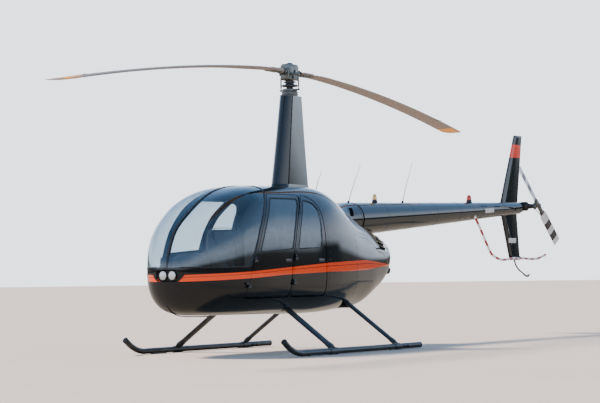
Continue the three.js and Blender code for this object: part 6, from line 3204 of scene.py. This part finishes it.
@dataclass
class Cabin:
    """The cabin's floor, firewall, seats, console and controls.

    Attributes:
        rows: for each row of seats the rear and front edge of its seats.
        seat_y: inner and outer edge of a port seat.
        base: height of the seat boxes' tops.
    """

    rows: tuple[tuple[str, float, float], ...] = (("front", 0.965, 1.440), ("rear", 0.200, 0.700))
    seat_y: tuple[float, float] = (0.030, 0.490)
    base: float = 0.7803

    def build(self) -> None:
        """Makes everything inside the cabin."""
        self.firewall()
        self.floor()
        self.console()
        self.controls()
        Seats(self).build()

    def firewall(self) -> None:
        """Makes the upholstered firewall: body sections drawn in by the wall, with quilted ribs."""
        turn = full_turn(120)
        parts = Kit()
        for low, high, depth, finish in ((0.1503, 0.182, 0.031, DARK_METAL), (0.182, 0.1900, 0.033, TRIM)):
            x = np.array([low, low + 0.001, high - 0.001, high])
            inset = depth + np.array([0.002, 0, 0, 0.002])
            s = FORM.run_at(x)
            points = np.array([FORM.line(np.full_like(turn, a), turn, b)[0] for a, b in zip(s, inset)])
            parts.add(finish, grid_patch(points, wrap_columns=True, caps=True))
        for y in np.linspace(-0.5, 0.5, 9):
            parts.add(CARPET, bar((0.190, y, 0.92), (0.190, y, 1.62), 0.0035, 10))
        make_piece("firewall_panel", "airframe", parts, ["firewall"])

    def floor(self) -> None:
        """Makes the carpeted floor, cut to the body's sides, and the seat boxes."""
        x = np.linspace(0.1905, 2.148, 80)
        rows = []
        for z, inset in ((0.575, 0.036), (0.600, 0.037)):
            edges = []
            for side in (PORT, STARBOARD):
                run, turn = FORM.locate(x, np.full_like(x, z), side)
                edges.append(FORM.line(run, turn, inset)[0])
            rows.append(edges)
        across = np.linspace(0, 1, 41)[None, :, None]
        layers = []
        for edges in rows:
            middle = edges[0][:, None] * (1 - across) + edges[1][:, None] * across
            middle[..., 0] = x[:, None]
            layers.append(middle)
        floor = sheet_between(layers[1], layers[0])
        parts = Kit([(floor, CARPET)])
        for low, high in ((0.960, 1.430), (0.1905, 0.690)):
            parts.add(TRIM, soft_box((low, -0.500, 0.592), (high, 0.500, 0.780), 0.014))
            for side in (PORT, STARBOARD):
                parts.add(
                    ROOF_TRIM,
                    soft_box(
                        (high - 0.004, side * 0.26 - 0.19, 0.625), (high + 0.003, side * 0.26 + 0.19, 0.755), 0.003
                    ),
                )
                parts.add(
                    DARK_METAL,
                    bar(
                        (high + 0.002, side * 0.26 - 0.03, 0.745),
                        (high + 0.002, side * 0.26 + 0.03, 0.745),
                        0.005,
                        10,
                    ),
                )
        make_piece("cabin_floor_trim", "airframe", parts, ["cabin_floor"])

    def console(self) -> None:
        """Makes the instrument console: pedestal, hooded panel, dials, switches and radio faces."""
        parts = Kit()
        parts.add(PANEL_BLACK, soft_box((1.802, -0.138, 0.6015), (2.008, 0.138, 0.962), 0.016))
        outline = np.array([
            (1.834, 0.930), (1.834, 1.090), (1.842, 1.108), (1.870, 1.118), (1.960, 1.112), (2.040, 1.070),
            (2.058, 1.020), (2.056, 0.930),
        ])
        y = np.array([-0.198, -0.194, -0.180, 0.180, 0.194, 0.198])
        draw = np.array([0.90, 0.965, 1.0, 1.0, 0.965, 0.90])
        middle = outline.mean(axis=0)
        shape = middle + (outline[None] - middle) * draw[:, None, None]
        points = stacked(shape[..., 0], y[:, None], shape[..., 1])
        parts.add(PANEL_BLACK, grid_patch(points, wrap_columns=True, caps=True))
        face = 1.8335
        for row_z, count, radius in ((1.062, 4, 0.036), (0.978, 4, 0.036)):
            for k in range(count):
                spot = (face, -0.135 + 0.09 * k, row_z)
                rim = [
                    (radius * 0.86, -0.004), (radius, -0.004), (radius, 0.004), (radius * 0.93, 0.006),
                    (radius * 0.86, 0.002), (radius * 0.86, -0.004),
                ]
                parts.add(DARK_METAL, lathe(rim, spot, (-1, 0, 0), 28))
                parts.add(
                    DIAL,
                    lathe(
                        [(0, 0.001), (radius * 0.86, 0.001), (radius * 0.86, -0.003), (0, -0.003)],
                        spot,
                        (-1, 0, 0),
                        28,
                    ),
                )
        for z in (0.78, 0.85, 0.91):
            parts.add(GLARE_BLACK, soft_box((1.794, -0.085, z - 0.024), (1.806, 0.085, z + 0.024), 0.003))
            for y_spot in (-0.068, 0.068):
                parts.add(TRIM, bar((1.797, y_spot, z), (1.782, y_spot, z), 0.009, 16, 0.002))
        spots = np.array([[1.8325, yy, 0.937] for yy in np.linspace(-0.16, 0.16, 11)])
        parts.add(HUB_METAL, studs(spots, (-1, 0, 0), 0.0045, 0.010, 8))
        make_piece("instrument_console_dressed", "airframe", parts, ["instrument_console"])

    def controls(self) -> None:
        """Makes the centre cyclic stick with its cross bar and grips, and the pedals."""
        parts = Kit()
        parts.add(DARK_METAL, bar((1.6398, 0, 0.602), (1.601, 0, 1.045), 0.015, 24, 0.002))
        boot = [
            (0, 0), (0.045, 0), (0.047, 0.004), (0.038, 0.014), (0.041, 0.020), (0.030, 0.030), (0.033, 0.036),
            (0.021, 0.048), (0, 0.05),
        ]
        parts.add(SEAL, lathe(boot, (1.6398, 0, 0.6012), (-0.087, 0, 1), 28))
        parts.add(
            DARK_METAL,
            tube(
                [
                    (1.600, -0.330, 1.050), (1.600, -0.18, 1.045), (1.600, 0.0, 1.042), (1.600, 0.18, 1.045),
                    (1.600, 0.330, 1.050),
                ],
                0.0105,
                40,
                16,
                up=Z_AXIS,
            ),
        )
        parts.add(DARK_METAL, soft_box((1.582, -0.032, 1.022), (1.618, 0.032, 1.066), 0.009))
        for side in (PORT, STARBOARD):
            grip = [
                (1.602, side * 0.320, 1.066), (1.598, side * 0.320, 1.03), (1.592, side * 0.320, 0.985),
                (1.586, side * 0.320, 0.935),
            ]
            share = np.linspace(0, 1, 22)
            size = 1 + 0.10 * np.sin(share * np.pi * 5) * (share < 0.8)
            parts.add(
                PANEL_BLACK,
                sweep(smooth_path(grip, 22), circle(20, 0.0155), up=X_AXIS, scale=size[:, None], round_ends=True),
            )
        make_piece("cyclic_stick_dressed", "airframe", parts, ["cyclic_stick"])
        parts = Kit(
            [
                (bar((2.060, -0.298, 0.640), (2.060, 0.298, 0.640), 0.0118, 20, 0.002), DARK_METAL),
                (soft_box((2.046, -0.030, 0.6012), (2.074, 0.030, 0.645), 0.004), DARK_METAL),
            ]
        )
        for y in (-0.300, -0.170, 0.170, 0.300):
            parts.add(HUB_METAL, soft_box((2.056, y - 0.037, 0.640), (2.072, y + 0.037, 0.740), 0.005))
            for z in np.linspace(0.655, 0.725, 6):
                parts.add(SEAL, bar((2.0555, y - 0.031, z), (2.0555, y + 0.031, z), 0.0022, 8))
        make_piece("pedals_dressed", "airframe", parts, ["pedals"])


@dataclass(frozen=True)
class DialFace(Finish):
    """A black instrument face with pale tick marks round it and a pointer."""

    def make(self, s: Shader) -> bpy.types.Material:
        """Builds the material: ticks by the angle about each dial's middle, repeated every 90 mm.

        Args:
            s: the shader to fill.

        Returns:
            The material.
        """
        place = s.place()
        _, y, z = s.axes(place)
        v = s.math("FRACT", (y + 0.18) / 0.09 + 10.0) - 0.5
        upper = s.step(z, 1.019, 1.021)
        w = (z - (0.978 + 0.084 * upper)) / 0.09
        reach = s.math("SQRT", v * v + w * w)
        angle = s.math("ARCTAN2", w, v)
        tick = s.step(s.math("FRACT", angle * (30 / (2 * math.pi)) + 20.0), 0.16, 0.12)
        ring = s.band(reach, 0.27, 0.33, 0.004)
        pointer = s.step(abs(s.math("ADD", v * 0.6, w * -0.8)), 0.016, 0.010) * s.step(reach, 0.26, 0.24)
        mark = s.math("MAXIMUM", tick * ring, pointer)
        return s.done(
            s.principled(
                Base_Color=s.color(mark, (0.010, 0.010, 0.011), (0.75, 0.75, 0.70)),
                Roughness=0.3 + 0.2 * mark,
                Coat_Weight=0.8 + 0.1 * mark,
                Coat_Roughness=0.03,
            )
        )


DIAL = DialFace("dial_faces", "cabin_trim")


@dataclass
class Seats:
    """Four padded seats: a cushion and a back each, inflated as cloth, then piped and belted.

    Attributes:
        cabin: the cabin that they stand in.
        swell: pressure of the cloth simulation.
        voxel: size of the cloth's mesh.
        frames: how many frames it runs.
        cap: how far the cloth may move.
        power: exponent of the pads' outline, a superellipse.
        rise: height of a back's middle over the seat boxes.
    """

    cabin: Cabin
    swell: float = 4.0
    voxel: float = 0.0075
    frames: int = 20
    cap: float = 0.016
    power: float = 5.0
    rise: float = 0.335

    def build(self) -> None:
        """Makes one cushion and one back, and sets a copy of each in all four seats."""
        low, high = self.cabin.seat_y
        middle, half = (low + high) / 2, (high - low) / 2
        cushion = self.inflated("cushion", self.pad((-0.195, 0.195), half - 0.012, (0.008, 0.070)))
        back = self.inflated("back", self.pad((-0.285, 0.285), half - 0.012, (0.012, 0.092)))
        for word, rear, front in self.cabin.rows:
            for side in (PORT, STARBOARD):
                centre = np.array([0, side * middle, 0])
                lean = turn_about(Y_AXIS, -math.pi / 2)
                seat = cushion.moved(centre + [self.middle(rear, front), 0, self.cabin.base])
                rest = back.turned(lean).moved(centre + [rear + 0.101, 0, self.cabin.base + self.rise])
                shell = soft_box(
                    (rear + 0.002, side * middle - half, self.cabin.base),
                    (rear + 0.030, side * middle + half, 1.385),
                    0.012,
                )
                name = f"{word}_{SIDE_WORDS[side]}"
                pads = make_piece(
                    f"seat_{name}_pads",
                    "airframe",
                    [(seat, HIDE), (rest, HIDE), (outward(shell), TRIM)],
                    [f"seat_{name}"],
                    crease=60,
                )
                self.trimmings(name, rear, front, side * middle, half)

    def middle(self, rear: float, front: float) -> float:
        """x of a cushion's middle, between the back's face and the seat's front edge."""
        return (rear + 0.10 + front) / 2 + 0.010

    def reach(self, turn: Array) -> Array:
        """Distance of the pads' outline from its middle at an angle, one along each axis."""
        n = self.power
        return (np.abs(np.cos(turn)) ** n + np.abs(np.sin(turn)) ** n) ** (-1 / n)

    def pad(self, length: tuple[float, float], half: float, thick: tuple[float, float]) -> Patch:
        """A crowned pad before it is inflated: an even superellipse outline, thin at its edge.

        Args:
            length: its ends along X.
            half: half its width.
            thick: heights of its underside and its crown.

        Returns:
            The closed patch.
        """
        turn = full_turn(72)
        reach = self.reach(turn)
        ax, ay = (length[1] - length[0]) / 2, half
        cx = (length[0] + length[1]) / 2
        lift = np.linspace(-1, 1, 15)
        draw = (1 - np.abs(lift) ** 3.2) ** (1 / 3.2)
        draw = np.maximum(draw, 0.02)
        low, high = thick
        middle = low + 0.42 * (high - low)
        z = np.where(lift < 0, middle + lift * (middle - low), middle + lift * (high - middle))
        scale = 0.86 + 0.14 * draw[:, None]
        points = stacked(
            cx + (ax * reach * np.cos(turn))[None] * scale, (ay * reach * np.sin(turn))[None] * scale, z[:, None]
        )
        return grid_patch(points, wrap_columns=True, caps=True)

    def inflated(self, name: str, patch: Patch) -> Patch:
        """The pad after it swells: remeshed, blown up as cloth with pressure and capped.

        Args:
            name: name of the working object.
            patch: the closed pad.

        Returns:
            The swollen pad.
        """
        patch = outward(patch)
        mesh = bpy.data.meshes.new(name)
        mesh.from_pydata(patch.points.tolist(), [], [row for block in patch.faces for row in block.tolist()])
        work = bpy.data.objects.new(name, mesh)
        bpy.context.scene.collection.objects.link(work)
        remesh = work.modifiers.new("remesh", "REMESH")
        remesh.mode, remesh.voxel_size = "VOXEL", self.voxel
        baked = bpy.data.meshes.new_from_object(work.evaluated_get(bpy.context.evaluated_depsgraph_get()))
        work.modifiers.clear()
        work.data = baked
        start = np.empty(len(baked.vertices) * 3)
        baked.vertices.foreach_get("co", start)
        start = start.reshape(-1, 3)
        cloth = work.modifiers.new("cloth", "CLOTH")
        settings = cloth.settings
        settings.quality, settings.mass = 6, 0.25
        settings.use_pressure, settings.uniform_pressure_force = True, self.swell
        settings.effector_weights.gravity = 0.0
        settings.tension_stiffness = settings.compression_stiffness = 18.0
        settings.bending_stiffness = 0.6
        scene = bpy.context.scene
        for frame in range(1, self.frames + 1):
            scene.frame_set(frame)
        made = bpy.data.meshes.new_from_object(work.evaluated_get(bpy.context.evaluated_depsgraph_get()))
        end = np.empty(len(made.vertices) * 3)
        made.vertices.foreach_get("co", end)
        move = end.reshape(-1, 3) - start
        size = np.linalg.norm(move, axis=1, keepdims=True)
        points = start + move * np.minimum(1, self.cap / np.maximum(size, 1e-9))
        corners = np.empty(len(made.loops), int)
        made.loops.foreach_get("vertex_index", corners)
        totals = np.empty(len(made.polygons), int)
        made.polygons.foreach_get("loop_total", totals)
        starts = np.concatenate([[0], np.cumsum(totals)[:-1]])
        faces = [corners[starts[totals == count][:, None] + np.arange(count)] for count in np.unique(totals)]
        scene.frame_set(1)
        bpy.data.objects.remove(work)
        return Patch(points, faces)

    def trimmings(self, name: str, rear: float, front: float, y: float, half: float) -> None:
        """Makes a seat's piping and its belt.

        Args:
            name: the seat's name.
            rear: x of its rear edge.
            front: x of its front edge.
            y: its middle's place.
            half: half its width.
        """
        parts = Kit()
        turn = full_turn(120)
        reach = self.reach(turn)
        cx = self.middle(rear, front)
        loop = stacked(
            cx + 0.1975 * reach * np.cos(turn),
            y + (half - 0.0095) * reach * np.sin(turn),
            np.full_like(turn, self.cabin.base + 0.034),
        )
        parts.add(PIPING, sweep(loop, circle(8, 0.0035), closed=True))
        loop = stacked(
            np.full_like(turn, rear + 0.064),
            y + (half - 0.0095) * reach * np.sin(turn),
            self.cabin.base + self.rise + 0.2875 * reach * np.cos(turn),
        )
        parts.add(PIPING, sweep(loop, circle(8, 0.0035), up=X_AXIS, closed=True))
        side = np.sign(y)
        belt = [
            (rear + 0.150, y - side * 0.215, self.cabin.base + 0.075),
            (rear + 0.200, y - side * 0.15, self.cabin.base + 0.100),
            (rear + 0.215, y, self.cabin.base + 0.104),
            (rear + 0.200, y + side * 0.15, self.cabin.base + 0.100),
            (rear + 0.150, y + side * 0.215, self.cabin.base + 0.075),
        ]
        parts.add(BELT_WEB, sweep(smooth_path(belt, 40), rounded_bar(0.046, 0.0022), up=(0.2, 0, 1)))
        parts.add(
            BOLT_METAL,
            soft_box(
                (rear + 0.186, y - 0.028, self.cabin.base + 0.102),
                (rear + 0.244, y + 0.028, self.cabin.base + 0.116),
                0.004,
            ),
        )
        sash = [
            (
                rear + 0.020, y + side * 0.13, 1.390
            ), (rear + 0.118, y + side * 0.12, 1.355), (rear + 0.118, y + side * 0.05, 1.20),
            (rear + 0.122, y - side * 0.08, 1.02), (rear + 0.165, y - side * 0.17, self.cabin.base + 0.105),
        ]
        parts.add(BELT_WEB, sweep(smooth_path(sash, 60), rounded_bar(0.046, 0.0022), up=(1, 0, 0.05)))
        make_piece(f"seat_{name}_trimmings", "airframe", parts)


def hollow_pipe(path: Array, radius: float, bore: float, sides: int = 36) -> Patch:
    """A pipe along a path that keeps its distance from the middle plane.

    Args:
        path: points of its middle.
        radius: its radius.
        bore: the bore's share of that.
        sides: number of points round it.

    Returns:
        The closed patch.
    """
    rings = sweep(path, circle(sides, radius), up=Y_AXIS).points[: len(path) * sides]
    outer = rings.reshape(len(path), sides, 3)
    inner = path[:, None] + (outer - path[:, None]) * bore
    return grid_patch(np.concatenate([outer, inner[::-1]]), wrap_rows=True, wrap_columns=True)


@dataclass
class EngineBay:
    """The flat engine as one dressed block, with its mounts, and the tailpipe."""

    def build(self) -> None:
        """Makes the engine's cylinders, exhaust stubs and mounts over its block, and the pipe."""
        parts = Kit([(soft_box((-0.798, -0.17, 0.572), (-0.062, 0.17, 0.978), 0.03), ENGINE_METAL)])
        for side in (PORT, STARBOARD):
            for x in (-0.66, -0.43, -0.20):
                fins = [(0, 0.15), (0.085, 0.15)]
                for h in np.linspace(0.158, 0.292, 12):
                    fins += [(0.088, h), (0.100, h + 0.002), (0.100, h + 0.005), (0.088, h + 0.007)]
                fins += [(0.090, 0.305), (0.080, 0.326), (0, 0.328)]
                parts.add(ENGINE_METAL, lathe(fins, (x, 0, 0.775), (0, side, 0), 32))
                parts.add(
                    EXHAUST,
                    tube(
                        [
                            (x, side * 0.30, 0.70), (x - 0.02, side * 0.305, 0.64), (x - 0.09, side * 0.27, 0.60),
                            (x - 0.12, side * 0.18, 0.60),
                        ],
                        0.021,
                        20,
                        14,
                    ),
                )
            for z in (0.620, 0.900):
                parts.add(DARK_METAL, bar((-0.09, side * 0.300, z), (0.1497, side * 0.300, z), 0.021, 16, 0.002))
                parts.add(
                    DARK_METAL,
                    soft_box((-0.12, side * 0.300 - 0.03, z - 0.03), (-0.062, side * 0.300 + 0.03, z + 0.03), 0.006),
                )
        make_piece("engine_dressed", "airframe", parts, ["engine"])
        path = smooth_path([(-1.560, 0.1, 0.960), (-1.690, 0.1, 0.925), (-1.800, 0.1, 0.908), (-1.975, 0.1, 0.900)], 40)
        shell, bead = hollow_pipe(path, 0.0448, 0.88), hollow_pipe(path[-3:], 0.0452, 0.90)
        make_piece("tailpipe_heated", "airframe", [(shell, EXHAUST), (bead, EXHAUST)], ["tailpipe"])


@dataclass
class Aerials:
    """Whips, a dome and two beacons on the roof and boom, and the bent whip under the chin.

    Attributes:
        whips: x and z of each whip's foot, and x and z of its tip.
        chin: x and z of the bends of the aerial under the chin.
        chin_y: its distance from the middle plane.
    """

    whips: tuple[tuple[float, ...], ...] = (
        (-0.510, 1.800, -0.660, 2.080),
        (-1.250, 1.722, -1.540, 2.180),
        (-2.535, 1.745, -2.800, 2.255),
    )
    chin: tuple[tuple[float, float], ...] = (
        (2.335, 0.600), (2.300, 0.548), (2.262, 0.512), (2.16, 0.466), (2.03, 0.446), (1.90, 0.439), (1.55, 0.432),
    )
    chin_y: float = -0.073

    def whip(self, foot: Sequence[float], tip: Sequence[float], base: float = 0.016) -> Parts:
        """A tapering whip aerial on a rubber foot: a slightly bowed path, thinner towards its tip.

        Args:
            foot: where it stands.
            tip: where it ends.
            base: radius of its foot.

        Returns:
            Patches with their finishes.
        """
        a, b = np.asarray(foot, float), np.asarray(tip, float)
        bow = (a + b) / 2 + np.array([0.012, 0, 0.0])
        path = smooth_path([a, bow, b], 24)
        size = np.linspace(1.0, 0.45, 24)[:, None]
        rod = sweep(path, circle(10, 0.0048), up=Y_AXIS, scale=size, round_ends=True)
        along = unit(b - a)
        rubber = [
            (0, -0.012), (base, -0.012), (base, 0.004), (base * 0.8, 0.010), (base * 0.42, 0.022),
            (base * 0.32, 0.045), (0, 0.047),
        ]
        cup = lathe(rubber, a, along, 24)
        return [(rod, AERIAL_BLACK), (cup, SEAL)]

    def beacon(self, foot: Sequence[float], lens: Finish, radius: float, height: float) -> Parts:
        """A beacon: a stepped base and a domed lens.

        Args:
            foot: where it stands.
            lens: the lens's finish.
            radius: the lens's radius.
            height: the lens's height.

        Returns:
            Patches with their finishes.
        """
        r, h = radius, height
        stepped = [(0, -0.02), (r * 1.25, -0.02), (r * 1.25, 0.006), (r * 1.1, 0.014), (r * 1.05, 0.030), (0, 0.030)]
        base = lathe(stepped, foot, Z_AXIS, 32)
        dome = [(0, 0.028), (r, 0.028)] + [
            (r * math.cos(a) ** 0.6, 0.030 + (h - 0.030) * math.sin(a) ** 0.9)
            for a in np.linspace(0.05, math.pi / 2 - 0.02, 10)
        ] + [(0, h)]
        return [(base, PANEL_BLACK), (lathe(dome, foot, Z_AXIS, 32), lens)]

    def build(self) -> None:
        """Makes all of them on the airframe."""
        parts = Kit()
        for x, z, tip_x, tip_z in self.whips:
            parts += self.whip((x, 0.0, z), (tip_x, 0.0, tip_z))
        dome = [(0, -0.02), (0.030, -0.02), (0.030, 0.0), (0.028, 0.012), (0.021, 0.024), (0.010, 0.031), (0, 0.032)]
        parts.add(AERIAL_BLACK, lathe(dome, (-0.870, 0, 1.716), Z_AXIS, 28))
        parts += self.beacon((-1.860, 0, 1.735), AMBER_LENS, 0.028, 0.100)
        parts += self.beacon((-4.270, 0, 1.775), RED_LENS, 0.032, 0.098)
        make_piece("roof_aerials_and_beacons", "airframe", parts)
        knots = [(x, self.chin_y, z) for x, z in self.chin]
        make_piece("chin_aerial", "airframe", [(tube(knots, 0.0055, 40, 12, up=Y_AXIS, round_ends=True), AERIAL_BLACK)])


# The studio


@dataclass
class Studio:
    """Camera, floor, sky and key light.

    Attributes:
        eye: the camera's place.
        yaw: direction that it looks in, in degrees from +X.
        pitch: how far it looks up, in degrees.
        roll: its roll, in degrees.
        focal: focal length in pixels of an image 600 wide.
        sky_strength: strength of the sky in reflections and as light.
        block_color: a dark block in the sky, seen only in reflections.
        backdrop_color: the plain sky that the camera sees.
        backdrop_strength: its strength.
        key_strength: the key light's strength.
    """

    eye: Triple = (20.621, 13.518, 0.977)
    yaw: float = -146.99
    pitch: float = 1.70
    roll: float = -0.721
    focal: float = 2146.1
    sky_strength: float = 2.3
    block_color: Triple = (0.030, 0.038, 0.042)
    backdrop_color: Triple = (0.90, 0.94, 1.0)
    backdrop_strength: float = 2.6
    key_strength: float = 6.8

    def camera(self) -> None:
        """Makes the camera from its measured place and direction."""
        yaw, pitch, roll = (math.radians(a) for a in (self.yaw, self.pitch, self.roll))
        ahead = np.array([math.cos(pitch) * math.cos(yaw), math.cos(pitch) * math.sin(yaw), math.sin(pitch)])
        right = unit(np.cross(ahead, [0, 0, 1.0]))
        up = np.cross(right, ahead)
        right, up = right * math.cos(roll) + up * math.sin(roll), up * math.cos(roll) - right * math.sin(roll)
        data = bpy.data.cameras.new("view")
        sensor, pixels = 36.0, 600.0
        data.sensor_fit, data.sensor_width = "HORIZONTAL", sensor
        data.lens = self.focal * sensor / pixels
        data.clip_start, data.clip_end = 0.5, 400.0
        camera = bpy.data.objects.new("view", data)
        bpy.context.scene.collection.objects.link(camera)
        matrix = np.eye(4)
        matrix[:3, 0], matrix[:3, 1], matrix[:3, 2] = right, up, -ahead
        matrix[:3, 3] = np.asarray(self.eye) + [MAST_X, 0, 0]
        camera.matrix_world = Matrix(matrix.tolist())
        bpy.context.scene.camera = camera

    def floor(self) -> None:
        """Makes a plain pale floor: a disc of rings, which reflections show in a darker brown as a painted reflection.
        """
        radius = np.array([0.5, 8.0, 20.0, 45.0, 90.0])
        ring = circle(96)
        points = np.concatenate([radius[:, None, None] * ring[None], np.zeros((5, 96, 1))], axis=-1)
        patch = grid_patch(points, wrap_columns=True, caps=True)
        mesh = bpy.data.meshes.new("floor")
        fan = [row for block in (patch.faces[0], patch.faces[1]) for row in block[:, ::-1].tolist()]
        mesh.from_pydata(patch.points[:-1].tolist(), [], [row for row in fan if max(row) < len(patch.points) - 1])
        mesh.update()
        if mesh.polygons[0].normal.z < 0:
            mesh.flip_normals()
        shader = Shader("studio_floor")
        spot = shader.place()
        cloud = shader.noise(spot, 0.7, 5.0, 0.6)
        # Painted reflection: glossy rays see the floor in a darker brown than the camera does.
        mirrored = shader.wire("LightPath", None, None, "Is Glossy Ray")
        color = shader.color(
            mirrored, shader.color(cloud, (0.73, 0.555, 0.435), (0.80, 0.63, 0.51)), (0.27, 0.215, 0.155)
        )
        mesh.materials.append(shader.done(shader.principled(Base_Color=color, Roughness=0.85)))
        floor = bpy.data.objects.new("floor", mesh)
        bpy.context.scene.collection.objects.link(floor)

    def light(self) -> None:
        """Makes the soft sky, its gradient seen in the gloss, and a broad key light."""
        sky = SkyShader("studio")
        ahead = Wire(sky, sky.node("TexCoord").outputs["Generated"])
        x, y, z = sky.axes(ahead)
        stops = (
            (0.0, (0.055, 0.052, 0.048)), (0.030, (0.07, 0.075, 0.075)), (0.060, (0.50, 0.58, 0.68)),
            (0.15, (0.66, 0.76, 0.92)), (0.36, (0.20, 0.34, 0.56)), (0.75, (0.075, 0.16, 0.30)),
            (1.0, (0.11, 0.19, 0.31)),
        )
        open_sky = sky.wire("ValToRGB", {"stops": stops}, {"Fac": z})
        block = sky.step(x, -0.960, -0.925) * sky.step(x, -0.845, -0.868) * sky.step(y, 0.10, 0.16)
        block = block * sky.step(z, 0.100, 0.050)
        mirrored = {"Color": sky.color(block, open_sky, self.block_color), "Strength": self.sky_strength}
        glow = sky.wire("Background", None, mirrored)
        plain = sky.wire("Background", None, {"Color": self.backdrop_color, "Strength": self.backdrop_strength})
        seen = sky.wire("LightPath", None, None, "Is Camera Ray")
        sky.done(sky.wire("MixShader", None, {0: seen, 1: glow, 2: plain}))
        key = bpy.data.lights.new("key", "SUN")
        key.energy, key.angle, key.color = self.key_strength, math.radians(12), (1.0, 0.97, 0.92)
        lamp = bpy.data.objects.new("key", key)
        lamp.visible_glossy = False
        lamp.rotation_euler = (math.radians(38), math.radians(-12), math.radians(40))
        bpy.context.scene.collection.objects.link(lamp)

    def build(self) -> None:
        """Makes all of the studio."""
        self.floor()
        self.light()


def main() -> None:
    """Builds the studio and the helicopter."""
    logging.basicConfig(level=logging.INFO, format="%(message)s")
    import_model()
    studio = Studio()
    studio.camera()
    for maker in (
        CabinShell(), LampBay(), Cowlings(), LandingGear(), TailBoom(), TailEnd(), Mast(), MainRotor(), TailRotor(),
        Cabin(), EngineBay(), Aerials(),
    ):
        maker.build()
        LOG.info("built %s", type(maker).__name__)
    studio.build()
    bpy.context.view_layer.update()


if __name__ == "__main__":
    main()
